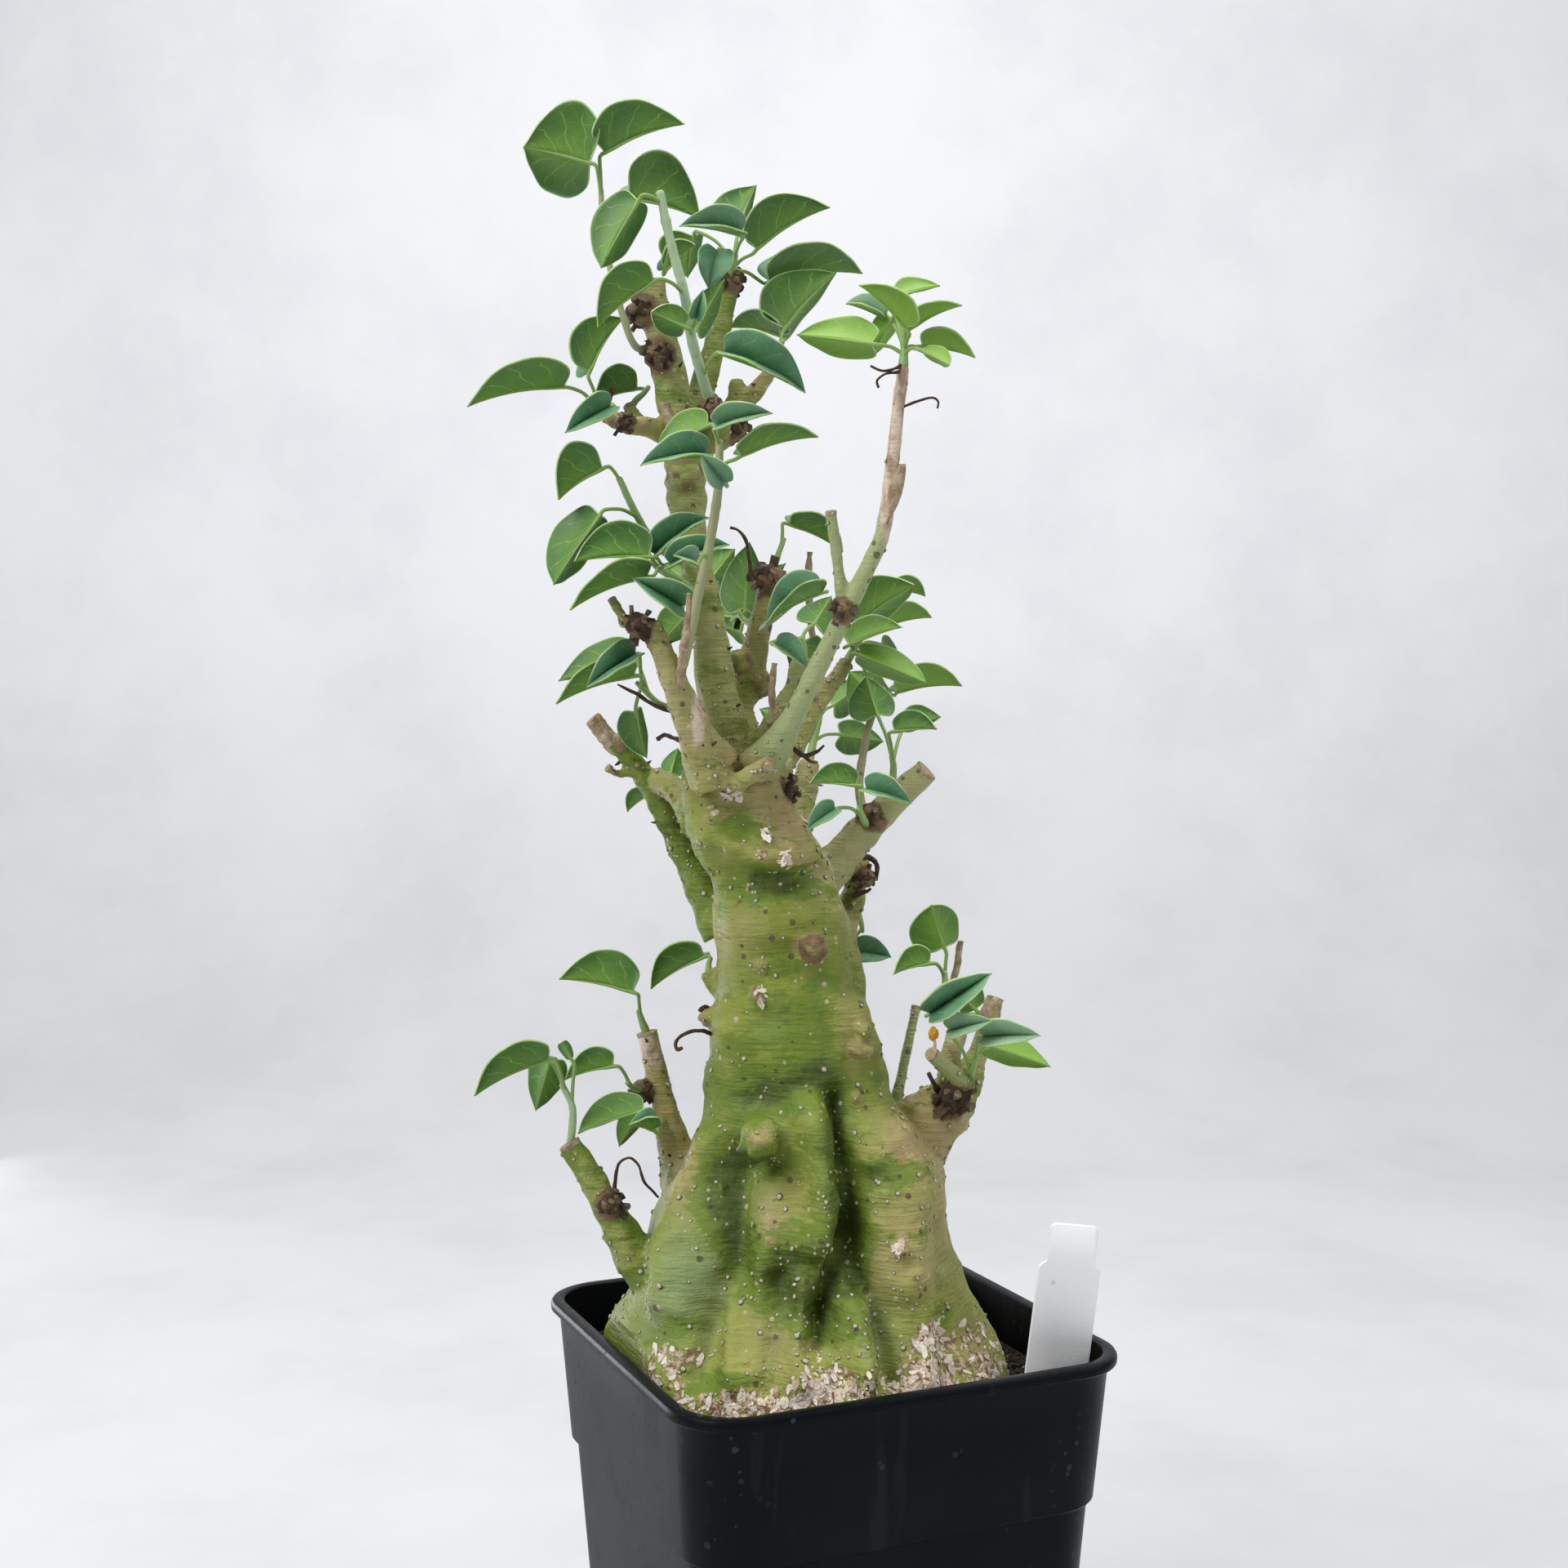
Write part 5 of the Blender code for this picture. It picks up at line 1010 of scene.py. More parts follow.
def branchLine(name, step):
    # a branch's route with its radius, swollen a little at its joints
    line = smoothLine([(*seen(px, py, depth), radius) for px, py, depth, radius in woodyBranches[name]], step)
    draw = random.Random(name)
    travelled, nextJoint = 0.0, draw.uniform(3, 8)
    joints = []
    for a, b in zip(line, line[1:]):
        travelled += np.linalg.norm((b - a)[:3])
        if travelled > nextJoint:
            joints.append(travelled)
            nextJoint = travelled + draw.uniform(7, 14)
    travelled = 0.0
    for k, row in enumerate(line):
        if k:
            travelled += np.linalg.norm((row - line[k - 1])[:3])
        for joint in joints:
            row[3] *= 1 + 0.06 * math.exp(-((travelled - joint) / 1.3) ** 2)
    return line


# patches of the skin on the front: pixel, half width and half height in pixels, strength
skinPatches = {
    "moss": [
        (948, 1082, 66, 17, 0.95), (905, 1012, 34, 26, 0.8), (930, 1062, 40, 10, 0.5),
        (958, 1183, 24, 11, 0.95), (900, 1108, 30, 12, 0.4), (936, 1338, 46, 30, 0.85),
        (985, 1318, 30, 26, 0.5), (1000, 1290, 22, 30, 0.35), (930, 1420, 34, 20, 0.95),
        (880, 1486, 27, 36, 0.6), (900, 1450, 20, 26, 0.6), (905, 1520, 18, 40, 0.45),
        (978, 1566, 44, 50, 1.7), (1010, 1600, 20, 40, 0.6), (1030, 1382, 12, 60, 0.75),
        (1072, 1436, 28, 15, 0.8), (1042, 1502, 19, 46, 0.9), (1060, 1540, 24, 30, 0.5),
        (1133, 1513, 20, 18, 0.6), (1152, 1604, 24, 16, 0.75), (1020, 1470, 24, 26, 0.4),
        (778, 1566, 16, 16, 1), (1066, 1703, 50, 18, 0.55), (960, 1240, 60, 26, 0.4),
        (1068, 1330, 20, 26, 0.4), (870, 1690, 60, 12, 0.4), (1185, 1690, 30, 24, 0.4),
        (826, 470, 12, 60, 0.5), (840, 590, 16, 20, 0.9), (870, 820, 12, 60, 0.5), (800, 985, 20, 30, 0.5),
        (1010, 1210, 24, 16, 0.45), (905, 1280, 24, 20, 0.4), (878, 1440, 30, 46, 0.6),
        (1016, 1400, 14, 90, 0.8), (950, 1300, 66, 34, 0.45), (900, 1510, 24, 60, 0.6),
        (1046, 1560, 14, 40, 0.9), (1000, 1395, 24, 30, 0.5), (866, 1350, 14, 50, 0.4),
        (968, 1232, 34, 22, 0.5), (1100, 1460, 24, 16, 0.5), (820, 1640, 30, 20, 0.35),
        (936, 1076, 50, 12, 0.5),
    ],
    "tan": [
        (955, 995, 54, 46, 1.5), (905, 940, 40, 36, 1.1), (990, 1070, 30, 26, 0.8),
        (1120, 1410, 52, 40, 0.95), (1105, 1530, 60, 64, 0.9), (948, 1505, 30, 44, 0.8),
        (955, 1650, 60, 50, 0.55), (1046, 1250, 22, 50, 0.6), (900, 1140, 34, 30, 0.45),
        (1152, 1368, 46, 30, 1.2), (838, 1440, 30, 34, 1), (996, 1160, 16, 16, 0.9),
        (930, 1398, 22, 14, 0.9), (1000, 1440, 20, 50, 0.5), (865, 1190, 14, 60, 0.6),
        (1170, 1660, 50, 50, 0.5), (900, 1730, 90, 14, 0.6), (872, 1330, 18, 40, 0.5),
        (760, 1530, 22, 22, 0.5), (1085, 1250, 12, 60, 0.5),
    ],
    "sage": [
        (812, 1610, 54, 56, 1), (866, 1560, 34, 46, 0.7), (918, 1470, 24, 46, 0.7),
        (1062, 1610, 26, 60, 0.7), (836, 1530, 30, 46, 0.7), (1096, 1640, 30, 40, 0.4),
        (950, 1380, 30, 20, 0.3),
    ],
    "cork": [
        (968, 985, 20, 20, 0.4), (930, 950, 18, 14, 0.4), (985, 1030, 14, 12, 0.35),
        (893, 978, 12, 12, 0.35), (1000, 1060, 12, 14, 0.4), (997, 1163, 9, 9, 0.5),
        (930, 1400, 12, 9, 0.5), (1052, 1286, 7, 6, 0.5), (1148, 1405, 20, 10, 0.35),
        (1100, 1385, 14, 10, 0.3), (838, 1450, 10, 16, 0.4), (778, 1520, 12, 12, 0.35),
    ],
    "dry": [
        (1095, 560, 18, 120, 1.6), (1102, 470, 18, 50, 1.6), (745, 902, 34, 22, 1.5), (855, 880, 9, 40, 1),
        (750, 510, 26, 16, 0.6), (1204, 1250, 20, 40, 0.9), (1166, 1262, 14, 16, 0.9),
        (1180, 1285, 20, 10, 0.4),
    ],
    "flaky": [
        (872, 996, 7, 9, 1.1), (935, 1019, 6, 7, 1), (931, 1045, 9, 8, 1), (962, 1052, 7, 14, 1.1),
        (893, 975, 14, 12, 0.9), (1150, 1638, 34, 28, 1), (1125, 1672, 30, 22, 0.7),
        (1208, 1655, 22, 60, 0.8), (830, 1656, 44, 15, 0.75), (800, 1690, 40, 20, 0.6),
        (940, 1722, 130, 20, 1), (1010, 1690, 40, 22, 0.8), (1140, 1700, 80, 22, 0.9),
        (1150, 1490, 14, 30, 0.35), (930, 1216, 8, 12, 0.8), (1000, 1640, 14, 30, 0.5),
        (1101, 1530, 7, 6, 0.9),
    ],
}
# tan, moss and young bark on each branch, where they aren't the plain mix
branchTones = {
    "leader": (0.5, 0.25, 0.3), "leader_fork": (0.3, 0.4, 0.1), "front_left": (0.75, 0.1, 0.2),
    "front_spur": (1, 0, 0.2), "crown_spur": (0.9, 0.2, 0.2), "left_arm": (0.3, 0.85, 0),
    "long_shoot": (0.2, 0.1, 1), "long_spur": (0.1, 0.1, 1), "mid_stem": (0.5, 0.1, 0.5),
    "right_arm": (1.2, 0, 0.6), "right_low": (1.3, 0, 0), "right_low_bow": (0.9, 0.1, 0.3),
    "right_low_tall": (0.8, 0.1, 0.3), "right_low_spur": (0.4, 0.2, 0.7), "right_stick": (0.3, 0.1, 0.9),
    "left_low_upper": (1, 0.1, 0), "left_low_lower": (0.2, 0.5, 0.2), "back_arm": (0.8, 0.2, 0),
    "right_high_spur": (0.9, 0.2, 0), "left_high_spur": (1.2, 0, 0), "green_stem_foot": (0.2, 0.2, 0.8),
}


def patchField(px, py, patches):
    total = np.zeros_like(px)
    for x, y, wide, high, strength in patches:
        away = ((px - x) / wide) ** 2 + ((py - y) / high) ** 2
        total += strength * np.exp(-0.9 * away)
    return total


def skinValues(points):
    # per-point shares of the skin's finishes, from its place on the plant
    look = caudexShape
    spine = np.array(caudexSpine(2.0))
    order = np.argsort(spine[:, 0])
    cx = np.interp(points[:, 2], spine[order, 0], spine[order, 1])
    cy = np.interp(points[:, 2], spine[order, 0], spine[order, 2])
    front = shownAt(points)
    mirrored = shownAt(np.stack([2 * cx - points[:, 0], 2 * cy - points[:, 1], points[:, 2]], -1))
    behind = 1 / (1 + np.exp(-(points[:, 1] - cy) / 2.5))
    values = {}
    for name, patches in skinPatches.items():
        # the back has patches of its own, the front's moved and turned over
        ahead = patchField(*front, patches)
        hidden = patchField(mirrored[0] + look["patchSide"], mirrored[1] - look["patchUp"], patches)
        values[name] = ahead * (1 - behind) + hidden * behind
    foldFront = bumpField(*front, frontRelief)[1]
    foldBack = bumpField(*mirrored, backRelief)[1]
    # how deep the folds are, where the skin lays its painted shade
    values["fold"] = np.clip((foldFront * (1 - behind) + foldBack * behind - 1.6) / 4.2, 0, 1)
    band = np.clip((potShape["high"] + 4 - points[:, 2]) / 15, 0, 1)
    values["flaky"] = np.clip(values["flaky"] + 0.3 * band, 0, 1.2)
    # branches have tones of their own
    samples = []
    for name in woodyBranches:
        tones = branchTones.get(name, (0.6, 0.15, 0.1))
        line = branchLine(name, 2.0)
        samples += [(row, tones, min(1.0, k / 5)) for k, row in enumerate(line)]
    tree = KDTree(len(samples))
    for index, (row, _, _) in enumerate(samples):
        tree.insert(row[:3], index)
    tree.balance()
    young, trunk = np.zeros(len(points)), np.ones(len(points))
    for k, point in enumerate(points):
        _, index, away = tree.find(point)
        row, tones, grown = samples[index]
        share = max(0.0, min(1.0, 2.4 - away / (row[3] + 0.5))) * grown
        if share:
            values["tan"][k] += (tones[0] - values["tan"][k]) * share
            values["moss"][k] += (tones[1] - values["moss"][k]) * share * 0.8
            values["sage"][k] *= 1 - share
            values["fold"][k] *= 1 - share
            young[k] = tones[2] * share
            trunk[k] = 1 - share
    values["young"] = young
    values["trunk"] = trunk * np.clip((points[:, 2] - potShape["high"]) / 12, 0, 1)
    cork = np.zeros(len(points))
    for px, py, depth, radius in woodyKnobs:
        if radius:
            radius *= 0.7 if py in plainKnobs else 1.0
            away = np.linalg.norm(points - seen(px, py, depth), axis=1)
            cork = np.maximum(cork, np.clip(2.6 - 1.6 * away / radius, 0, 1))
    values["cork"] = np.maximum(cork, values["cork"] * trunk)
    return values


def onTrunk(piece):
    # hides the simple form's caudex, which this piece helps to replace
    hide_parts("caudex")
    return piece


def makeCaudex(finishes):
    look = caudexShape
    shape = Shape()
    rings = trunkRings()
    shape.add([point for ring in rings for point in ring], ringFaces(len(rings), look["sides"]))
    skin = np.concatenate(rings)
    skin = skin[skin[:, 1] < 0]
    skinX, skinY = shownAt(skin)
    stubs = []
    for index, (px, py, radius) in enumerate(trunkKnobs):
        place = skin[np.argmin(np.hypot(skinX - px, skinY - py))]
        stubs.append((place, radius))
        deep = (0.5 if radius > look["lowStub"] else 0.1) * radius
        shape.ball(place + (0, deep, 0), radius * 1.25, index * 1.3, rough=0.4)
        shape.ball(place - (0, 0.85 * radius, 0.1 * radius), radius * 0.66, index * 2.1, rough=0.6)
    for index, name in enumerate(woodyBranches):
        line = branchLine(name, 1.0)
        shape.tube(line, 24, lumps=0.16, seed=index * 2.3)
    for index, (px, py, depth, radius) in enumerate(woodyKnobs):
        if radius:
            shape.ball(seen(px, py, depth), radius * 0.96, index, rough=0.3)
    piece = shape.piece("caudexAndBranches", [finishes["skin"]], turn=False)
    remesh = piece.modifiers.new("grown", "REMESH")
    remesh.mode = "VOXEL"
    remesh.voxel_size = look["grain"] * mm
    soften = piece.modifiers.new("soften", "SMOOTH")
    soften.factor, soften.iterations = 0.5, 3
    applyModifiers(piece)
    count, goal = triangleCount(piece.data), look["triangles"]
    if count > goal:
        thin = piece.modifiers.new("thin", "DECIMATE")
        thin.ratio = goal / count
        applyModifiers(piece)
    keepLargest(piece)
    mesh = piece.data
    mesh.materials.clear()
    mesh.materials.append(finishes["skin"])
    count = len(mesh.vertices)
    points, normals = np.zeros(count * 3, np.float32), np.zeros(count * 3, np.float32)
    mesh.vertices.foreach_get("co", points)
    mesh.vertices.foreach_get("normal", normals)
    points, normals = points.reshape(-1, 3).astype(float) / mm, normals.reshape(-1, 3).astype(float)
    values = skinValues(points)
    for place, radius in stubs:
        tip, reach, share = place, radius, 0.9 if radius > 3.0 else 0.35
        if radius > look["lowStub"]:
            tip, reach, share = place - (0, 0.9 * radius, 0), radius * 0.36, 0.5
        near = np.clip(2.3 - 1.1 * np.linalg.norm(points - tip, axis=1) / reach, 0, 1)
        values["cork"] = np.maximum(values["cork"], share * near)
        values["tan"] = np.maximum(values["tan"], near * (0.4 + 0.6 * share))
        values["moss"] *= 1 - near * share
    # fine lumps, and rings of shallow wrinkles
    push = np.zeros(count)
    for k, point in enumerate(points):
        place = Vector(point)
        small = noise.noise(place * 0.22)
        rings = noise.noise(Vector((place.x * 0.05, place.y * 0.05, place.z * 0.55)))
        rough = 0.25 + 1.6 * values["cork"][k] + 0.8 * min(1.0, values["flaky"][k])
        push[k] = look["fineLumps"] * (0.8 * small + 0.25 * rings + 0.5 * rough * noise.noise(place * 0.9))
        # the crown's bark is rougher
        crown = math.exp(-((point[2] - 254) / 15) ** 2)
        push[k] += crown * (0.5 * noise.noise(place * 0.3) + 0.3 * noise.noise(place * 0.75))
        if values["trunk"][k] > 0.02:
            large = noise.noise(place * 0.048 + Vector((3, 7, 1))) * 1.5 + noise.noise(place * 0.11) * 0.9
            large += noise.noise(Vector((place.x * 0.1, place.y * 0.1, place.z * 0.3))) * 0.45
            push[k] += look["trunkLumps"] * large * values["trunk"][k]
    push *= np.where(values["young"] > 0.5, 0.35, 1.0)
    del values["trunk"]
    points = points + normals * push[:, None]
    for name, value in values.items():
        addValues(mesh, name, np.clip(value, 0, 1.3))
    mesh.vertices.foreach_set("co", turnedWithPot(points).astype(np.float32).ravel())
    mesh.polygons.foreach_set("use_smooth", [True] * len(mesh.polygons))
    mesh.update()
    return onTrunk(piece), points, normals, values


def keepLargest(piece):
    # remeshing can leave crumbs: only the part with the most points stays
    work = bmesh.new()
    work.from_mesh(piece.data)
    left, groups = set(work.verts), []
    while left:
        first = left.pop()
        group, frontier = [first], [first]
        while frontier:
            vertex = frontier.pop()
            for edge in vertex.link_edges:
                other = edge.other_vert(vertex)
                if other in left:
                    left.discard(other)
                    group.append(other)
                    frontier.append(other)
        groups.append(group)
    groups.sort(key=len)
    for group in groups[:-1]:
        bmesh.ops.delete(work, geom=group, context="VERTS")
    work.to_mesh(piece.data)
    work.free()


def facingFrame(normal):
    # two directions that lie in the skin
    side = unit(np.cross(normal, (0.0, 0.0, 1.0) if abs(normal[2]) < 0.9 else (1.0, 0.0, 0.0)))
    return side, np.cross(side, normal)


wartShape = {
    "count": 2000, "sides": 9, "high": (0.22, 0.45), "small": (0.22, 0.38), "large": (0.3, 0.62),
    "stretch": (0.8, 1.35), "sunk": 0.1, "top": 0.9, "topTone": 0.8,
    "thin": 0.34, "thick": 0.85, "crown": (236, 330), "highFrom": 275,
    # rings from the foot up: share of the radius, height, tone
    # the flat, wide first ring at tone 0 is a darker rim of painted shade round the wart's foot
    "rings": ((1.35, 0.0, 0.0), (0.98, 0.36, 0.15), (0.8, 0.75, 0.9), (0.45, 0.98, 1.0)),
}

def makeWarts(finishes, points, normals, values):
    # pale warts over the skin, thicker towards the soil
    look, sides = wartShape, wartShape["sides"]
    draw = random.Random(7)
    shape = Shape()
    made = 0
    while made < look["count"]:
        k = draw.randrange(len(points))
        z = points[k][2]
        if z < soilTop + 1 or values["cork"][k] > 0.6:
            continue
        keep = look["thin"] + (1 - look["thin"]) * max(0.0, min(1.0, (215 - z) / 80))
        if look["crown"][0] < z < look["crown"][1] and values["young"][k] < 0.5:
            keep = look["thick"]    # the crown and the leader's foot have many
        if draw.random() > keep:
            continue
        if z > look["highFrom"] or values["young"][k] > 0.5:
            radius = draw.uniform(*look["high"])
        else:
            radius = draw.choice((draw.uniform(*look["small"]), draw.uniform(*look["large"])))
        side, up = facingFrame(normals[k])
        centre = points[k] - normals[k] * look["sunk"] * radius
        long = draw.uniform(*look["stretch"])
        lay = draw.uniform(0, math.pi)
        rows, tones = [], []
        for share, rise, tone in look["rings"]:
            for i in range(sides):
                angle = 2 * math.pi * i / sides
                wide = share * draw.uniform(0.9, 1.1)
                a, b = turned(radius * wide * math.cos(angle) * long, radius * wide * math.sin(angle), lay)
                rows.append(centre + side * a + up * b + normals[k] * rise * radius)
                tones.append(tone)
        rows.append(centre + normals[k] * look["top"] * radius)
        tones.append(look["topTone"])
        top = [(3 * sides + i, 3 * sides + (i + 1) % sides, 4 * sides) for i in range(sides)]
        shape.add(rows, ringFaces(4, sides, capEnd=False) + top, 0, tones)
        made += 1
    piece = shape.piece("paleWarts", [finishes["wart"]])
    return onTrunk(piece)


flakeShape = {
    "count": 950, "tries": 400000, "lift": 0.28, "size": (0.35, 1.2), "corners": (6, 9),
    "length": (1.0, 2.2), "lay": (-1.7, 1.7), "curl": 0.10, "sides": (-0.14, 0.05),
}

def makeFlakes(finishes, points, normals, values):
    # curled chips of cream bark round the foot
    look = flakeShape
    draw = random.Random(11)
    shape = Shape()
    made, tries = 0, 0
    while made < look["count"] and tries < look["tries"]:
        tries += 1
        k = draw.randrange(len(points))
        if points[k][2] < soilTop + 0.8 or values["flaky"][k] < draw.uniform(0.4, 1.15):
            continue
        normal = unit(normals[k] + np.array([draw.uniform(-look["lift"], look["lift"]) for _ in range(3)]))
        side, up = facingFrame(normal)
        size = draw.uniform(*look["size"]) * (1.5 if draw.random() < 0.2 else 0.9)
        count = draw.randint(*look["corners"])
        long, lay = draw.uniform(*look["length"]), draw.uniform(*look["lay"])
        outline = []
        for i in range(count):
            angle = 2 * math.pi * i / count
            reach = size * draw.uniform(0.6, 1.15)
            outline.append(turned(reach * math.cos(angle) * long, reach * math.sin(angle) * 0.8, lay))
        rows = []
        for rise in look["sides"]:
            for a, b in outline:
                curl = look["curl"] * (a * a + b * b) / max(size, 0.3)
                rows.append(points[k] + side * a + up * b + normal * (rise + curl * draw.uniform(0.3, 1.0)))
        fresh = draw.uniform(0.0, 1.0)
        # the foot ring keeps tone 0, so each chip's edge darkens towards the skin: painted shade; its top
        # takes a random tone
        shape.add(rows, ringFaces(2, count), 0, [0.0] * count + [fresh] * count)
        made += 1
    piece = shape.piece("creamFlakes", [finishes["flake"]], smooth=False)
    return onTrunk(piece)


plainKnobs = (585, 812, 838, 884)   # rows of the knobs that keep their skin
knobShape = {"stubs": 10, "thick": 0.3, "stand": 1.34, "heart": 0.86, "turn": 2.39996}

def makeKnobs(finishes):
    # clusters of dry stubs where shoots were cut back again and again
    look = knobShape
    shape = Shape()
    for index, (px, py, depth, radius) in enumerate(woodyKnobs):
        if not radius or py in plainKnobs:
            continue
        draw = random.Random(index + 31)
        centre = seen(px, py, depth)
        shape.ball(centre, radius * look["heart"] * 1.12, index + 0.5, rough=0.55)
        for stub in range(look["stubs"]):
            rise = 1 - 2 * (stub + 0.5) / look["stubs"]
            angle = stub * look["turn"] + draw.uniform(-0.5, 0.5)
            flat = math.sqrt(1 - rise * rise)
            out = np.array((flat * math.cos(angle), flat * math.sin(angle), rise))
            thick = radius * look["thick"] * draw.uniform(0.55, 1.25)
            stand = radius * look["stand"] * draw.uniform(0.8, 1.1)
            sway = np.array([draw.uniform(-0.25, 0.25) * radius for _ in range(3)])
            line = [ringRow(centre + out * radius * 0.5, thick * 1.2),
                    ringRow(centre + out * (radius * 0.9) + sway * 0.5, thick * 0.9),
                    ringRow(centre + out * stand + sway, thick * 1.1),
                    ringRow(centre + out * (stand + 0.1 * thick) + sway, thick * 0.86),
                    ringRow(centre + out * (stand - 0.3 * thick) + sway, thick * 0.4)]
            fresh = draw.uniform(0.3, 0.9)
            tones = [0.0] * 18 + [0.15] * 9 + [fresh] * 9 + [fresh * 0.4] * 9
            shape.tube(line, 9, tone=tones, lumps=0.6, seed=index + stub * 1.7)
    piece = shape.piece("corkyKnobs", [finishes["knob"]])
    smoothByAngle(piece, 40)
    return onTrunk(piece)


# branches that end in a clean cut: how far the wood stands in the bark
cutEnds = {
    "leader": 0.95, "right_arm": 0.96, "crown_spur": 0.95, "long_spur": 0.9, "left_low_upper": 0.95,
    "left_low_lower": 0.96, "right_stick": 0.9, "right_low_tall": 0.95, "right_low_spur": 0.92,
    "left_arm": 0.95, "knob_stem": 0.9, "left_arm_twig": 0.9, "front_left_twig": 0.9,
    "right_high_spur": 0.92, "right_high_twig": 0.92, "left_high_twig": 0.92, "back_right": 0.92,
    "back_left": 0.92, "mid_stem": 0.92,
}

def makeCuts(finishes):
    shape = Shape()
    for index, (name, share) in enumerate(cutEnds.items()):
        line = branchLine(name, 1.0)
        end, ahead = line[-1], unit(line[-1][:3] - line[-3][:3])
        radius = woodyBranches[name][-1][3]
        rim = ((-1.2, 0.92), (-0.4, 1.0), (0.05, 1.02), (0.12, share))
        wood = ((-0.6, share), (0.1, share * 0.97), (0.2, share * 0.86), (0.14, share * 0.5),
                (0.02, share * 0.16))
        for rows, slot, lumps, seed in ((rim, 1, 0.12, index), (wood, 0, 0.1, index + 5)):
            line = [ringRow(end[:3] + ahead * rise, radius * wide) for rise, wide in rows]
            shape.tube(line, 20, slot=slot, lumps=lumps, seed=seed)
    piece = shape.piece("cutEnds", [finishes["cut"], finishes["papery"]])
    smoothByAngle(piece, 50)
    return onTrunk(piece)


# dry tendrils, thorns and dead twigs: pixel, depth, radius
dryTwigs = {
    "leftTendril": [(876, 1268, 0, 0.6), (858, 1262, -8, 0.5), (840, 1265, -11, 0.45),
        (828, 1275, -12, 0.45), (829, 1285, -12, 0.5), (836, 1283, -12, 0.35)],
    "curl": [(754, 1474, -13, 0.7), (753, 1448, -15, 0.5), (758, 1425, -16, 0.35), (771, 1418, -16, 0.32),
        (782, 1427, -15, 0.32), (788, 1446, -14, 0.35), (797, 1456, -12, 0.35), (806, 1466, -9, 0.3)],
    "topHook": [(1106, 446, -35, 0.45), (1094, 452, -38, 0.35), (1080, 454, -40, 0.3),
        (1066, 448, -41, 0.25)],
    "topHookLow": [(1104, 455, -35.5, 0.4), (1096, 456, -37, 0.35), (1084, 458, -40, 0.28),
        (1074, 466, -41, 0.25), (1076, 475, -41, 0.3)],
    "sideTendril": [(1106, 498, -35, 0.4), (1124, 491, -37, 0.3), (1142, 487, -38, 0.25),
        (1149, 492, -38, 0.25), (1148, 500, -38, 0.25)],
    "crownTwig": [(958, 902, -9, 0.9), (968, 912, -12, 0.7), (984, 925, -14, 0.6), (999, 921, -15, 0.45),
        (1009, 913, -16, 0.3)],
    "crownTwigSide": [(984, 925, -14, 0.5), (992, 932, -15, 0.4), (1000, 934, -16, 0.3)],
    "highTwig": [(932, 709, 9, 0.7), (921, 704, 8, 0.6), (917, 684, 6, 0.5), (914, 664, 5, 0.5),
        (905, 650, 5, 0.4), (894, 646, 5, 0.35)],
    "leftTwig": [(834, 874, -19, 0.7), (814, 868, -17, 0.6), (798, 862, -16, 0.55), (780, 850, -17, 0.45),
        (764, 842, -17, 0.35), (756, 838, -17, 0.25)],
    "leftThorn": [(806, 905, -5, 0.6), (814, 900, -8, 0.5), (828, 905, -13, 0.6), (843, 908, -17, 0.7)],
    "armThorn": [(750, 476, -3, 0.8), (742, 500, -5, 0.6), (740, 512, -6, 0.5)],
    "paleStickA": [(765, 760, -27.5, 0.8), (762, 766, -26.5, 0.7), (758, 752, -25, 0.6),
        (752, 734, -24, 0.5)],
    "paleStickB": [(772, 776, -27, 0.8), (774, 758, -27, 0.7), (773, 741, -27, 0.55)],
    "rightSpike": [(1057, 1049, 12, 0.9), (1068, 1052, 14, 0.8), (1074, 1060, 12, 0.6),
        (1072, 1078, 11, 0.5)],
    "rightSpikeLow": [(1045, 1099, 16, 0.8), (1050, 1095, 13, 0.8), (1060, 1092, 10, 0.5),
        (1066, 1088, 9, 0.35)],
    "redBud": [(1150, 1338, 0, 0.9), (1142, 1324, -4, 0.6), (1137, 1314, -5, 0.5)],
    "deadStick": [(1166, 1274, -1, 1), (1165, 1250, 0, 1), (1166, 1215, 1, 0.9), (1172, 1180, 2, 0.9),
        (1176, 1152, 2, 0.8)],
    "midStick": [(948, 880, -12, 1), (945, 850, -14, 0.85), (948, 812, -15, 0.75)],
    "palePeg": [(999, 866, 35, 0.9), (997, 800, 29, 0.9), (991, 740, 22, 0.9), (990, 720, 20, 0.9),
        (990, 698, 20, 0.8), (992, 676, 20, 0.8)],
    "splitStalk": [(826, 868, -21, 1.4), (831, 845, -26, 1.35), (837, 800, -31, 1.15),
        (842, 765, -33, 0.95), (844, 726, -33, 0.6)],
    "leftPeg": [(868, 1238, 0, 0.9), (861, 1234, -2, 0.7), (857, 1238, -3, 0.6)],
    "budStalk": [(1142, 1290, -12, 0.5), (1145, 1280, -11, 0.4), (1143, 1268, -10, 0.35)],
}
paleTwigs = ("splitStalk", "deadStick", "palePeg", "paleStickA", "paleStickB", "midStick", "budStalk")
thornyBranches = ("leader", "left_arm", "front_left", "mid_stem", "back_right", "left_arm_root", "knob_stem",
                  "right_arm_root", "left_low_upper", "back_arm", "leader_fork", "right_high_spur")
# loose strips of bark, on the long shoot and on the leader: route and half width
barkStrips = (([(1104, 568, -36), (1099, 590, -37.5), (1094, 615, -37), (1086, 642, -36.5)], 1.5),
              ([(813, 492, -5.2), (820, 515, -5.6), (827, 540, -5.7), (834, 560, -5.3)], 1.3))
# dead tips wrapped in loose dry bark, and their length
deadTips = {"left_arm": 13, "right_low_tall": 9, "front_spur": 7, "left_high_spur": 5}
yellowBud = {"at": (1143, 1266, -10), "radius": 1.5, "stretch": (0.8, 0.8, 1.25)}

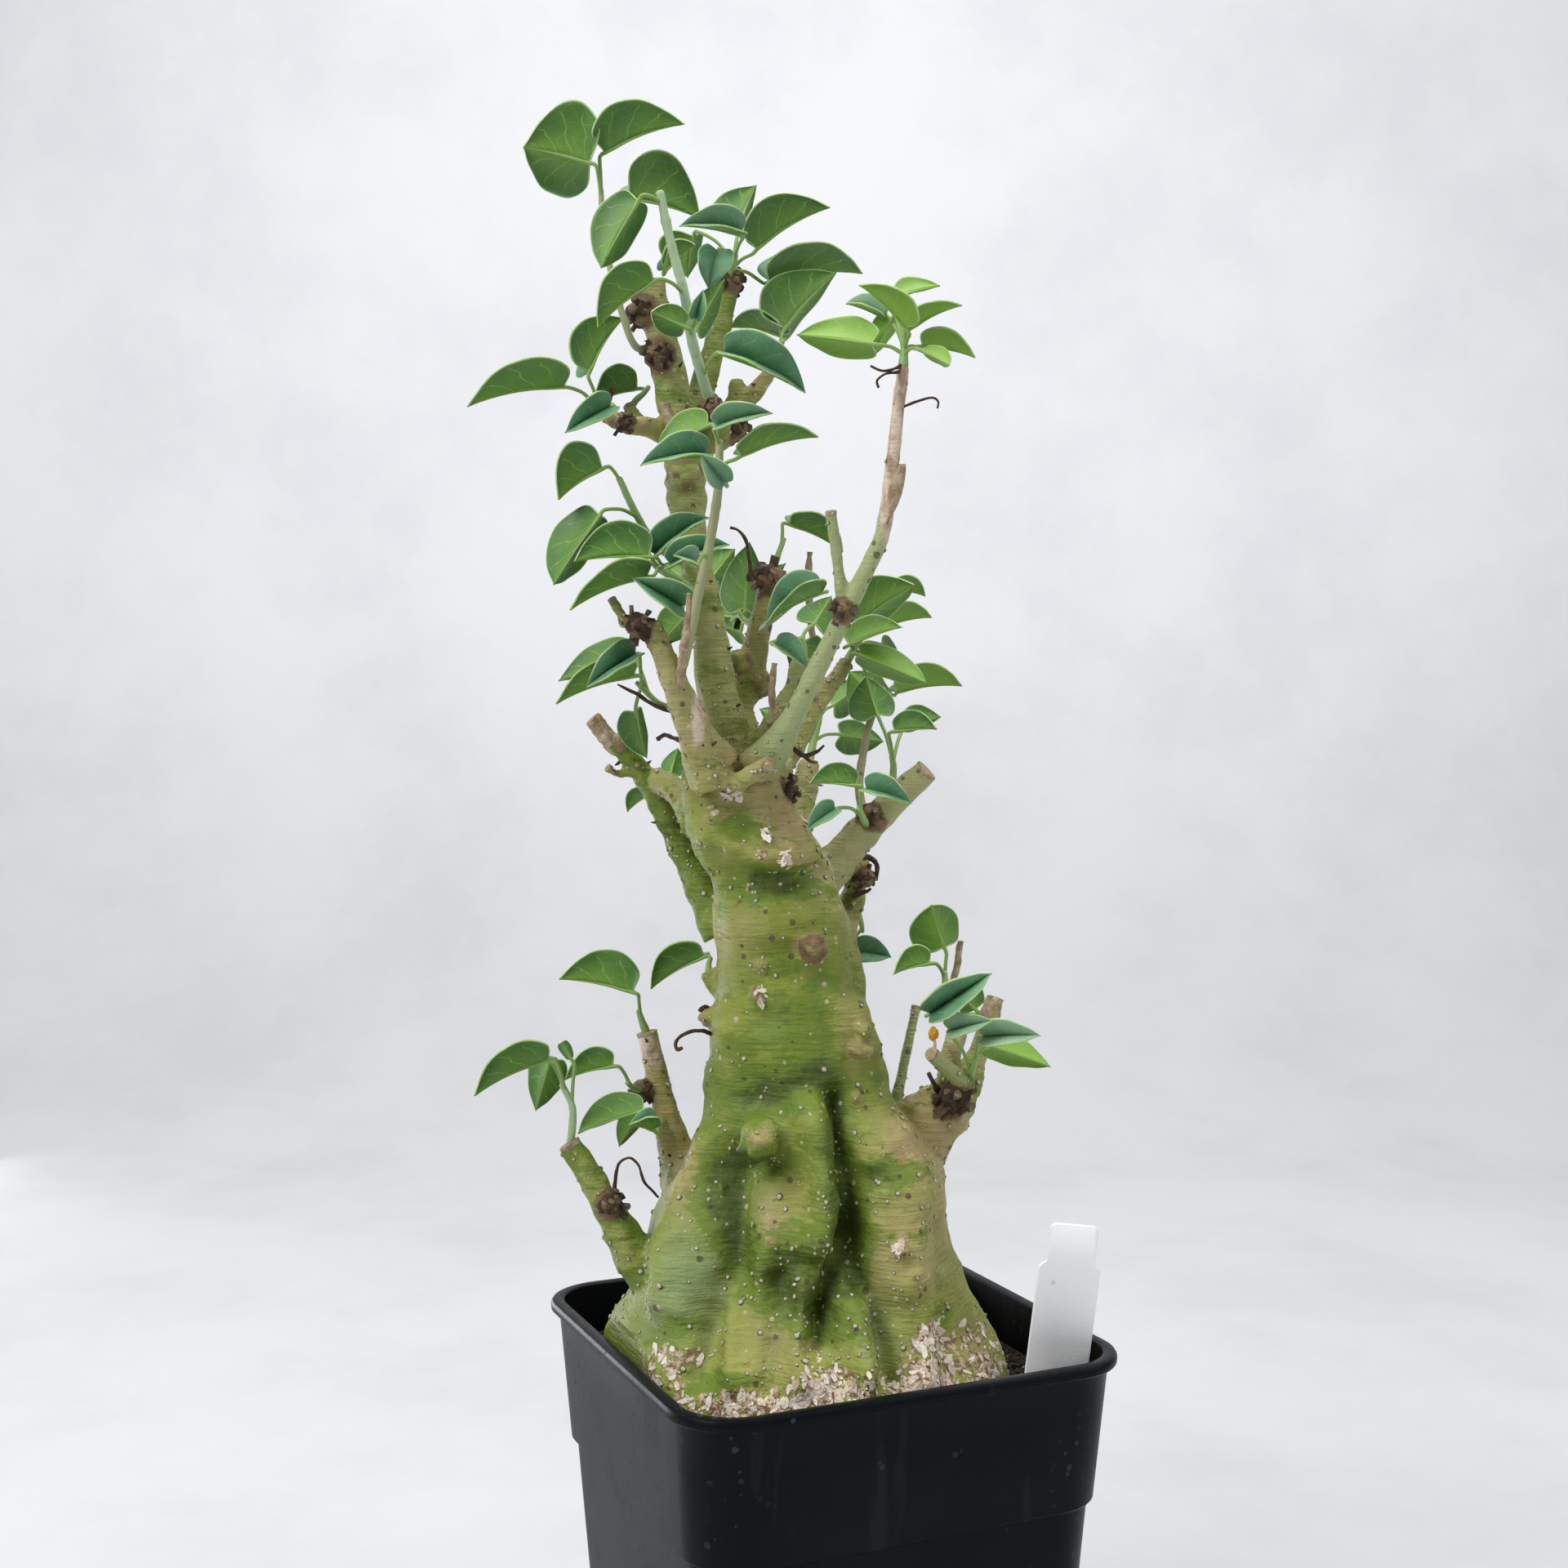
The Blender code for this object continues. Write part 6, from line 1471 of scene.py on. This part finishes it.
def makeDryTwigs(finishes):
    shape = Shape()
    for index, (name, route) in enumerate(dryTwigs.items()):
        line = smoothLine([(*seen(px, py, depth), radius) for px, py, depth, radius in route], 0.5)
        shape.tube(line, 10, slot=1 if name in paleTwigs else 0, lumps=0.5, seed=index * 1.9)
    # short thorns along the bark of the thinner branches
    draw = random.Random(23)
    for name in thornyBranches:
        for row in branchLine(name, 2.0)[4:-1]:
            if draw.random() < 0.5:
                out = unit(np.array([draw.uniform(-1, 1) for _ in range(3)]))
                base = row[:3] + out * row[3] * 0.8
                reach = draw.uniform(0.5, 1.6)
                thorn = [ringRow(base, 0.5), ringRow(base + out * (row[3] * 0.2 + reach * 0.5), 0.34),
                         ringRow(base + out * (row[3] * 0.25 + reach) + (0, 0, 0.2), 0.14)]
                shape.tube(thorn, 7, slot=0, lumps=0.3, seed=draw.random() * 9)
    for route, wide in barkStrips:
        line = smoothLine([seen(*point) for point in route], 1.0)
        rows = []
        for k, point in enumerate(line):
            t = k / (len(line) - 1)
            half = wide * (0.25 + 0.9 * math.sin(math.pi * min(1, t + 0.12)) ** 0.7)
            for a, b in ((-half, 0.5), (0, -0.15), (half, 0.5), (half, 0.8), (0, 0.25), (-half, 0.8)):
                rows.append(point + np.array((a, b, 0)))
        shape.add(rows, ringFaces(len(line), 6), slot=1)
    for name, length in deadTips.items():
        line = branchLine(name, 1.0)[-length:]
        for k, row in enumerate(line):
            row[3] += 0.12 + 0.22 * abs(math.sin(k * 1.9))
        shape.tube(line, 16, slot=1, lumps=0.5, seed=length)
    bud = yellowBud
    shape.ball(seen(*bud["at"]), bud["radius"], 3, rough=0.35, slot=2, stretch=bud["stretch"])
    piece = shape.piece("dryTwigs", [finishes["dry"], finishes["papery"], finishes["bud"]])
    return onTrunk(piece)


# soil

soilShape = {"grains": 1700, "small": 0.5, "large": 1.6, "pale": 0.16}

def makeSoil(finishes, trunk):
    for slot in frame["nodes"]["soil"].material_slots:
        slot.material = finishes["soil"]
    draw = random.Random(5)
    shape = Shape()
    half = potSide(soilTop) - potShape["wall"] - 2.0
    near = trunk[np.abs(trunk[:, 2] - soilTop) < 2.5][:, :2]
    centre = near.mean(0)
    angles = np.arctan2(near[:, 1] - centre[1], near[:, 0] - centre[0])
    reaches = np.hypot(near[:, 0] - centre[0], near[:, 1] - centre[1])
    order = np.argsort(angles)
    made = 0
    while made < soilShape["grains"]:
        x, y = draw.uniform(-half, half), draw.uniform(-half, half)
        corner = half - 11
        if math.hypot(max(abs(x) - corner, 0), max(abs(y) - corner, 0)) > 10.5:
            continue
        x, y = turned(x, y, potTurn)
        edge = np.interp(math.atan2(y - centre[1], x - centre[0]), angles[order], reaches[order])
        size = draw.uniform(soilShape["small"], soilShape["large"])
        if math.hypot(x - centre[0], y - centre[1]) < edge + size * 0.4:
            continue
        stretch = [draw.uniform(0.6, 1.2) for _ in range(3)]
        place = (x, y, soilTop + draw.uniform(-0.3, 0.5) * size)
        slot = 1 if draw.random() < soilShape["pale"] else 0
        shape.ball(place, size, made * 0.7, level=1, rough=0.9, slot=slot, stretch=stretch)
        made += 1
    piece = shape.piece("soilGrains", [finishes["soil"], finishes["pumice"]], smooth=False)
    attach(piece, "root")
    return piece


# leafy shoots

# radius, stem with its depths, and leaves: stem point, the blade's foot and tip in the view, reach
# there of its left and right half (negative where folded over), depths of foot and tip, how it lies
leafyShoots = {
    "shoot_top_left": (1, [(806, 432, 0), (778, 424, -5), (764, 390, -8), (750, 340, -9), (738, 285, -9),
        (736, 232, -9)], [
        (5, 722, 200, 641, 180, 46, 66, -12, -16, "back"),
        (5, 741, 187, 838, 152, 46, -36, -9, -12, "fold"), (4, 770, 243, 858, 268, 62, -18, -4, 2, "back"),
    ]),
    "shoot_green_stem": (1.5, [(870, 493, -5), (860, 462, -13), (846, 410, -17), (838, 360, -19),
        (822, 300, -20), (808, 235, -21)], [
        (4, 782, 246, 736, 328, 18, 36, -24, -26, "back"),
        (3, 801, 345, 732, 401, -8, 40, -26, -28, "fold"),
        (2, 838, 400, 797, 382, 18, 20, -26, -30, "back"),
        (1, 886, 434, 986, 481, 36, -10, -24, -22, "face"),
        (4, 816, 330, 852, 300, 20, -12, -14, -10, "fold"),
        (2, 854, 400, 887, 342, 20, 14, -13, -9, "back"), (2, 852, 388, 861, 355, 9, 9, -22, -25, "face"),
    ]),
    "shoot_fork_top": (1.3, [(894, 352, 15), (896, 330, 12), (900, 312, 10)], [
        (2, 906, 275, 926, 227, 38, 10, 18, 24, "back"), (1, 927, 305, 1016, 254, 43, -34, 12, 10, "fold"),
        (2, 904, 287, 832, 277, -6, 30, 2, -4, "face"), (2, 879, 309, 867, 353, 20, 22, 0, -5, "face"),
        (2, 850, 290, 842, 340, 10, 40, 22, 26, "back"), (1, 942, 344, 1056, 335, 38, -30, 20, 26, "fold"),
    ]),
    "shoot_fork_right": (1, [(944, 456, 10), (952, 432, 8), (958, 418, 6)], [
        (2, 961, 402, 1024, 334, 50, 10, 10, 16, "back"), (2, 955, 411, 894, 401, -12, 24, 14, 20, "fold"),
    ]),
    "shoot_left_high": (1, [(744, 509, -6), (733, 500, -8), (726, 492, -9)], [
        (2, 690, 474, 572, 498, -14, 38, -14, -20, "fold"),
        (1, 722, 455, 764, 389, 40, -16, -10, -4, "fold"), (2, 746, 499, 692, 530, 8, 22, -18, -24, "face"),
    ]),
    "shoot_left_twig": (0.9, [(771, 502, 4), (779, 490, 5), (788, 482, 6), (794, 474, 7)], [
        (3, 780, 476, 727, 494, -10, 34, 7, 4, "fold"),
    ]),
    "shoot_left_green": (1.2, [(838, 690, -1), (804, 668, -8), (780, 632, -12), (758, 586, -15)], [
        (3, 738, 574, 684, 612, -18, 46, -18, -22, "fold"),
        (2, 735, 631, 678, 716, 16, 34, -20, -26, "back"),
    ]),
    "shoot_left_mid": (1.1, [(860, 735, -1), (835, 712, -8), (812, 700, -11), (800, 690, -12)], [
        (2, 795, 682, 703, 688, -8, 44, -20, -24, "back"),
        (2, 792, 706, 698, 747, -8, 28, -26, -32, "fold"),
        (3, 804, 680, 868, 634, 22, -12, -15, -13, "face"),
        (3, 824, 692, 893, 667, 24, -4, -20, -21, "face"),
        (1, 832, 742, 774, 708, 10, 24, -22, -32, "face"),
    ]),
    "shoot_front": (1.4, [(828, 836, -24), (842, 790, -31), (854, 732, -33), (866, 680, -34),
        (878, 610, -34), (880, 575, -34), (881, 540, -34)], [
        (6, 866, 522, 803, 552, -8, 24, -30, -26, "back"),
        (5, 862, 560, 784, 570, -4, 32, -40, -46, "face"),
        (6, 881, 523, 946, 506, 18, -8, -38, -42, "face"),
        (5, 908, 558, 1002, 535, 26, -14, -36, -34, "fold"),
        (5, 886, 590, 858, 556, 14, 16, -44, -48, "face"),
        (3, 848, 690, 824, 680, -2, 20, -44, -48, "face"),
    ]),
    "shoot_center_back": (1, [(930, 765, 13), (912, 760, 18), (904, 748, 19)], [
        (2, 912, 744, 918, 664, 30, 22, 20, 24, "back"), (2, 900, 755, 962, 690, 22, 10, 26, 32, "back"),
        (1, 905, 772, 886, 768, 16, 24, 30, 36, "back"),
    ]),
    "shoot_center_front": (1, [(930, 775, 12), (938, 765, 4), (956, 752, -4)], [
        (2, 1006, 726, 938, 764, -22, 36, -14, -20, "face"),
    ]),
    "shoot_knob_top": (0.9, [(948, 694, 12), (954, 676, 13), (960, 660, 14)], [
        (2, 966, 642, 1032, 676, 26, -14, 16, 20, "fold"),
    ]),
    "shoot_mid_stem": (1, [(984, 808, -6), (984, 792, -8), (980, 782, -10)], [
        (2, 950, 790, 988, 818, 22, 2, -16, -20, "face"), (1, 984, 786, 986, 850, 26, 20, 4, 10, "back"),
        (2, 998, 762, 1018, 730, 24, 26, -2, 8, "back"),
    ]),
    "shoot_long_top": (1.2, [(1106, 451, -35), (1107, 434, -35), (1108, 426, -35)], [
        (1, 1067, 421, 976, 410, 20, 28, -34, -32, "back"),
        (2, 1109, 402, 1052, 349, -4, 28, -40, -44, "fold"),
        (2, 1104, 362, 1151, 350, 14, -6, -24, -20, "back"),
        (2, 1082, 388, 1036, 372, -6, 20, -26, -24, "face"),
        (1, 1092, 392, 1066, 438, 9, 18, -28, -24, "back"),
        (2, 1115, 402, 1178, 374, 18, -10, -36, -38, "fold"),
        (2, 1130, 424, 1194, 438, 25, -8, -32, -34, "fold"),
        (1, 1130, 430, 1162, 447, 14, 4, -43, -48, "back"),
    ]),
    "shoot_back_right": (1.3, [(1035, 814, 43), (1046, 794, 45), (1056, 776, 46)], [
        (2, 1052, 764, 1120, 716, 40, 14, 40, 36, "back"),
        (2, 1076, 770, 1141, 756, 24, -6, 52, 58, "fold"),
        (1, 1040, 790, 1104, 768, 22, -8, 34, 30, "back"),
        (2, 1086, 722, 1133, 730, 20, -8, 58, 64, "fold"),
        (1, 1052, 802, 1134, 836, 18, 10, 34, 30, "back"),
        (1, 1066, 850, 1040, 822, 26, 24, 50, 56, "back"),
        (1, 1098, 848, 1178, 840, 30, -12, 46, 50, "fold"),
        (1, 1080, 792, 1104, 822, 14, 18, 58, 66, "back"),
    ]),
    "shoot_back_left": (1.2, [(862, 772, 44), (858, 752, 46), (856, 730, 48)], [
        (2, 846, 716, 812, 690, 24, 26, 54, 60, "back"), (2, 868, 712, 900, 672, 28, 20, 56, 62, "back"),
        (1, 876, 748, 912, 762, 20, 22, 50, 58, "back"), (1, 838, 756, 806, 792, 18, 26, 48, 54, "back"),
    ]),
    "shoot_left_cluster": (0.9, [(832, 870, -21), (808, 862, -14), (794, 850, -12), (780, 836, -12)], [
        (3, 776, 828, 681, 862, -8, 30, -16, -20, "fold"), (3, 777, 803, 718, 842, 4, 24, -20, -27, "face"),
        (2, 770, 806, 684, 834, -4, 22, -6, -2, "back"), (3, 779, 872, 792, 928, 8, 26, -8, -6, "back"),
    ]),
    "shoot_left_arm": (0.9, [(800, 965, 15), (808, 969, 22), (813, 962, 27), (816, 956, 29)], [
        (2, 798, 971, 768, 994, -4, 18, 29, 33, "fold"), (3, 822, 945, 830, 916, 14, 16, 32, 36, "back"),
    ]),
    "shoot_back_arm": (1.2, [(990, 937, 50), (996, 908, 54), (1002, 886, 56), (1004, 872, 57)], [
        (3, 1022, 862, 1064, 832, 22, 20, 62, 70, "back"), (3, 996, 852, 978, 808, 22, 24, 62, 72, "back"),
        (1, 970, 892, 930, 868, 20, 24, 64, 74, "back"), (1, 1030, 900, 1082, 908, 20, 22, 60, 64, "back"),
    ]),
    "shoot_right_twig": (1.1, [(1092, 985, 5), (1093, 958, 8), (1094, 938, 9), (1092, 926, 9)], [
        (3, 1096, 896, 1147, 893, 24, -6, 4, 0, "back"), (3, 1112, 888, 1152, 878, 22, 8, 18, 22, "back"),
        (3, 1074, 874, 1060, 828, 32, 24, 14, 18, "back"),
    ]),
    "shoot_right_stem": (1.3, [(1062, 1008, 6), (1052, 966, 14), (1060, 905, 20), (1070, 870, 22)], [
        (3, 1062, 862, 1046, 856, 8, 8, 26, 28, "back"),
    ]),
    "shoot_right_arm": (1, [(1062, 1012, 5), (1056, 1000, -6), (1052, 990, -9)], [
        (2, 1048, 962, 991, 960, -8, 26, -12, -14, "back"),
        (2, 1062, 968, 1116, 984, 24, 2, -14, -20, "face"),
        (1, 1022, 992, 988, 1016, 6, 18, -16, -20, "face"),
    ]),
    "shoot_left_low_top": (1.1, [(792, 1266, 10), (786, 1250, 9), (782, 1238, 8)], [
        (2, 774, 1215, 685, 1199, -10, 44, 4, 0, "back"),
    ]),
    "shoot_left_mid_spur": (0.9, [(867, 1192, 9), (868, 1180, 12), (870, 1174, 14)], [
        (2, 862, 1172, 797, 1211, -6, 32, 16, 18, "fold"),
    ]),
    "shoot_left_low_end": (1.1, [(698, 1402, -12), (701, 1374, -13), (700, 1352, -14), (688, 1328, -14)], [
        (3, 672, 1298, 581, 1342, -8, 34, -18, -22, "fold"),
        (3, 672, 1302, 656, 1360, 24, 22, -8, -4, "back"),
        (2, 700, 1298, 688, 1276, 6, 6, -18, -22, "back"),
    ]),
    "shoot_left_low_knob": (0.9, [(788, 1336, 8), (776, 1332, 2), (768, 1326, 0)], [
        (2, 750, 1306, 692, 1322, -10, 28, -2, -6, "fold"),
    ]),
    "shoot_left_low_side": (0.9, [(815, 1372, 10), (806, 1376, 0), (796, 1372, -4)], [
        (2, 788, 1360, 708, 1388, -10, 24, -8, -14, "back"), (1, 780, 1368, 758, 1404, 8, 18, 4, 6, "back"),
        (2, 800, 1384, 770, 1378, -20, 24, -12, -16, "face"),
    ]),
    "shoot_right_low_tall": (1.2, [(1173, 1264, -2), (1160, 1236, -3), (1158, 1206, -4), (1156, 1190, -4)],
        [
        (3, 1156, 1160, 1140, 1108, 36, 26, -4, -8, "back"),
        (3, 1138, 1180, 1094, 1193, -4, 26, -8, -12, "fold"),
        (2, 1194, 1236, 1160, 1204, 16, 26, -10, -16, "back"),
        (1, 1140, 1240, 1214, 1192, 18, 14, -18, -20, "face"),
    ]),
    "shoot_right_low_side": (1, [(1186, 1322, 4), (1190, 1312, -6), (1196, 1292, -10)], [
        (2, 1214, 1282, 1286, 1306, 22, 14, -10, -8, "back"),
        (2, 1206, 1270, 1274, 1268, 20, 10, -18, -24, "face"),
        (1, 1166, 1262, 1216, 1250, 18, 8, -20, -26, "face"),
    ]),
    "shoot_right_back": (0.9, [(1046, 1104, 18), (1054, 1128, 25), (1056, 1140, 28)], [
        (2, 1046, 1166, 1091, 1172, 22, 10, 32, 30, "face"),
    ]),
}

# half a blade's outline: place along the midrib, the edge's place along it, and the edge's reach
bladeShape = {
    "outline": [(0.0, 0.0, 0.0), (0.08, -0.055, 0.62), (0.30, 0.22, 0.985), (0.54, 0.56, 0.89),
                (0.80, 0.82, 0.49), (1.0, 1.0, 0.0)],
    "thick": 0.42, "halfWidth": 0.46, "arch": 0.22, "leastFold": math.radians(48),
    "rows": 26, "columns": 9, "bulge": 0.055, "flare": 0.05, "wave": 0.022,
    "petiole": 0.56, "quickRows": 14, "quickColumns": 5,
}
# how woody each shoot's stem is: 0 green, 0.5 pale bloom, 1 wood
stemTones = {
    "shoot_green_stem": 0.5, "shoot_front": 0.85, "shoot_top_left": 0.8, "shoot_right_stem": 0.9,
    "shoot_left_low_end": 0.35, "shoot_right_low_tall": 0.3, "shoot_center_front": 0.7,
}
# shoots whose leaves are younger and brighter
brightShoots = {
    "shoot_long_top": 0.85, "shoot_back_right": 0.55, "shoot_right_low_side": 0.7,
    "shoot_left_low_side": 0.3, "shoot_fork_top": 0.35, "shoot_front": 0.45, "shoot_right_low_tall": 0.3,
}


def bladeFrame(leaf):
    # foot, tip, directions of the two halves, half width and upper side
    _, footX, footY, tipX, tipY, left, right, footDepth, tipDepth, lie = leaf
    start, end = seen(footX, footY, footDepth), seen(tipX, tipY, tipDepth)
    camera = np.array((frontView["side"], -frontView["distance"], frontView["height"]))
    ahead = unit(end - start)
    toward = unit(camera - (start + end) / 2)
    toward = unit(toward - ahead * np.dot(toward, ahead))
    side = np.cross(toward, ahead)
    scale = (frontView["distance"] + footDepth) / frontView["focal"]
    reaches = [left * scale, right * scale]
    widest = max(abs(reach) for reach in reaches)
    width = max(bladeShape["halfWidth"] * np.linalg.norm(end - start), 1.04 * widest)
    halves = []
    for which, reach in enumerate(reaches):
        lean = math.sqrt(max(0.0, 1 - (reach / width) ** 2))
        if lie == "back" or (lie == "fold" and abs(reach) < widest):
            lean = -lean
        sign = 1 if which == 0 else -1
        halves.append(unit(side * sign * reach / width + toward * lean))
    opening = halves[0] + halves[1]
    if np.dot(halves[0], halves[1]) > math.cos(bladeShape["leastFold"]):
        apart = unit(halves[0] - halves[1]) * math.sin(bladeShape["leastFold"] / 2)
        middle = unit(opening) * math.cos(bladeShape["leastFold"] / 2)
        halves = [middle + apart, middle - apart]
    if np.linalg.norm(opening) < 0.35:
        upper = -toward if lie == "back" else toward
    else:
        upper = unit(opening)
    return start, end, halves, width, upper


def ribPoint(start, end, upper, t):
    # a place along the blade's arched midrib
    return start + (end - start) * t + upper * np.linalg.norm(end - start) * bladeShape["arch"] * t * (1 - t)


def curveThrough(table, p):
    # the row of a table at p from 0 to 1, along a curve through its rows
    rows = [np.array(row, dtype=float) for row in table]
    place = min(max(p, 0.0), 0.999999) * (len(rows) - 1)
    k = int(place)
    t = place - k
    a = rows[k - 1] if k > 0 else 2 * rows[0] - rows[1]
    b, c = rows[k], rows[k + 1]
    d = rows[k + 2] if k + 2 < len(rows) else 2 * rows[-1] - rows[-2]
    return curveAt(a, b, c, d, t)


def addBlade(sheet, lays, leaf, tone, seed):
    # one blade as a single sheet, upper side out, into sheet; its lay goes into lays
    look = bladeShape
    start, end, halves, width, upper = bladeFrame(leaf)
    rows = look["rows"]
    columns = look["columns"]
    draw = random.Random(seed)
    phase, waves = draw.uniform(0, 6.3), draw.uniform(2.2, 3.6)
    normals = [unit(upper - half * np.dot(upper, half)) for half in halves]
    vertices, faces, lay = [], [], []
    for j in range(rows + 1):
        p = j / rows
        t, along, reach = curveThrough(look["outline"], p)
        rib = ribPoint(start, end, upper, t)
        fullness = math.sin(math.pi * min(1.0, p * 1.02)) ** 0.6 if 0 < p < 1 else 0.0
        vertices.append(rib)
        lay.append((0.5, p))
        for half, normal, sign in ((halves[0], normals[0], -1), (halves[1], normals[1], 1)):
            edge = ribPoint(start, end, upper, along) + half * width * max(0.0, reach)
            for i in range(1, columns + 1):
                s = i / columns
                ripple = math.sin(waves * math.pi * 2 * p + phase + sign)
                lift = look["bulge"] * math.sin(math.pi * s) - look["flare"] * s ** 3
                lift = (lift + look["wave"] * s * s * ripple) * width * fullness
                vertices.append(rib * (1 - s) + edge * s + normal * lift)
                lay.append((0.5 + 0.5 * sign * s, p))
    each = 1 + 2 * columns
    for j in range(rows):
        low, high = j * each, (j + 1) * each
        left, leftUp = ([row + i for i in range(columns + 1)] for row in (low, high))
        right, rightUp = ([row] + [row + 1 + columns + i for i in range(columns)] for row in (low, high))
        for i in range(columns):
            faces.append((left[i], leftUp[i], leftUp[i + 1], left[i + 1]))
            faces.append((right[i], right[i + 1], rightUp[i + 1], rightUp[i]))
    # the sheet's upper side has to face the way the blade opens
    a, b, c = (vertices[faces[columns * rows][k]] for k in (0, 1, 2))
    if np.dot(np.cross(b - a, c - a), upper) < 0:
        faces = [tuple(reversed(face)) for face in faces]
    sheet.add(vertices, faces, 0, tone)
    lays.extend(lay)


def addPetiole(stalks, leaf, place):
    # a stalk from the stem that runs on under the blade as its midrib
    start, end, _, _, upper = bladeFrame(leaf)
    ahead = unit(end - start)
    away = np.linalg.norm(start - place)
    neck = start - ahead * max(1.5, min(1.6, 0.35 * away)) - upper * min(0.5, 0.3 * away)
    bow = (place + neck) / 2 + np.array((0, 0, 0.08 * away))
    thick = bladeShape["petiole"]
    points = [(*place, thick * 1.25), (*(place + (bow - place) * 0.25), thick * 0.95), (*bow, thick * 0.85),
              (*neck, thick * 0.9), (*start, thick * 0.95)]
    for t, share in ((0.12, 0.72), (0.3, 0.52), (0.5, 0.38), (0.7, 0.26), (0.86, 0.16)):
        points.append((*(ribPoint(start, end, upper, t) - upper * (0.1 + 0.22 * share)), thick * share))
    stalks.tube(smoothLine(points, 0.7), 10, slot=3, lumps=0.06)


def petioleStart(leaf, origin, places):
    # the place on the stem from which the petiole reaches the blade from behind
    start, end = bladeFrame(leaf)[:2]
    ahead = unit(end - start)

    def cost(place):
        behind = np.dot(unit(start - place[:3]), ahead)
        return np.linalg.norm(place[:3] - origin) + 14 * max(0.0, 0.5 - behind)

    return min(places, key=cost)[:3]


def makeShoot(name, shoot, finishes, index):
    radius, stem, leaves = shoot
    route = [seen(*point) for point in stem]
    points = [(*point, radius * (1 - 0.3 * k / (len(route) - 1))) for k, point in enumerate(route)]
    line = smoothLine(points, 0.4)
    sheet, lays, stalks = Shape(), [], Shape()
    draw = random.Random(index * 17 + 3)
    # little swellings where leaves stood
    marks = [draw.uniform(0.1, 0.95) * len(line) for _ in range(max(2, len(line) // 14))]
    for k, row in enumerate(line):
        row[3] *= 1 + 0.07 * sum(math.exp(-((k - mark) / 1.6) ** 2) for mark in marks)
    top = line[-1].copy()
    ahead = unit(line[-1][:3] - line[-3][:3])
    for rise, share in ((0.25, 0.9), (0.36, 0.55)):
        row = top.copy()
        row[:3] += ahead * rise
        row[3] *= share
        line.append(row)
    stalks.tube(line[::2] + [line[-1]], 14, slot=3, tone=stemTones.get(name, 0.15), lumps=0.1, seed=index)
    for which, leaf in enumerate(leaves):
        seed = index * 100 + which
        tone = brightShoots.get(name, 0.1) + random.Random(seed).uniform(-0.1, 0.3)
        place = petioleStart(leaf, route[leaf[0]], line[8:-6] if len(line) > 20 else line[4:-3])
        addBlade(sheet, lays, leaf, tone, seed)
        addPetiole(stalks, leaf, place)
    materials = [finishes["upper"], finishes["under"], finishes["margin"], finishes["stem"]]
    blades = sheet.piece(name.replace("shoot", "leafy"), materials)
    layer = blades.data.uv_layers.new(name="bladeLay")
    corners = np.zeros(len(blades.data.loops), dtype=np.int32)
    blades.data.loops.foreach_get("vertex_index", corners)
    layer.data.foreach_set("uv", np.array(lays, dtype=np.float32)[corners].ravel())
    thick = blades.modifiers.new("thickness", "SOLIDIFY")
    thick.thickness, thick.offset = bladeShape["thick"] * mm, 0.0
    thick.material_offset, thick.material_offset_rim = 1, 2
    applyModifiers(blades)
    # thickness must not carry the outermost tips past the box of the simple form
    for vertex in blades.data.vertices:
        for axis in range(3):
            vertex.co[axis] = min(max(vertex.co[axis], cadBox[0][axis]), cadBox[1][axis])
    stems = stalks.piece("stems", materials)
    work = bmesh.new()
    work.from_mesh(blades.data)
    work.from_mesh(stems.data)
    work.to_mesh(blades.data)
    work.free()
    bpy.data.objects.remove(stems)
    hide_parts(name)
    return blades


# the whole plant

def main():
    print("camera, light and floor")
    makeCamera()
    makeLights()
    makeStage()
    print("finishes")
    finishes = makeFinishes()
    print("pot and label")
    pieces = [makePot(finishes), makeLabel(finishes)]
    print("caudex and branches")
    caudex, points, normals, values = makeCaudex(finishes)
    pieces.append(caudex)
    print("warts, flakes, knobs, cuts and dry twigs")
    pieces.append(makeWarts(finishes, points, normals, values))
    pieces.append(makeFlakes(finishes, points, normals, values))
    pieces += [makeKnobs(finishes), makeCuts(finishes), makeDryTwigs(finishes)]
    print("soil")
    makeSoil(finishes, points)
    print("leafy shoots")
    for index, (name, shoot) in enumerate(leafyShoots.items()):
        pieces.append(makeShoot(name, shoot, finishes, index))
    for piece in pieces:
        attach(piece, "root")
    for old in [made for made in bpy.data.objects if made.name in ("Cube", "Light", "Camera")]:
        bpy.data.objects.remove(old)
    print("triangles", sum(triangleCount(piece.data) for piece in pieces))


main()
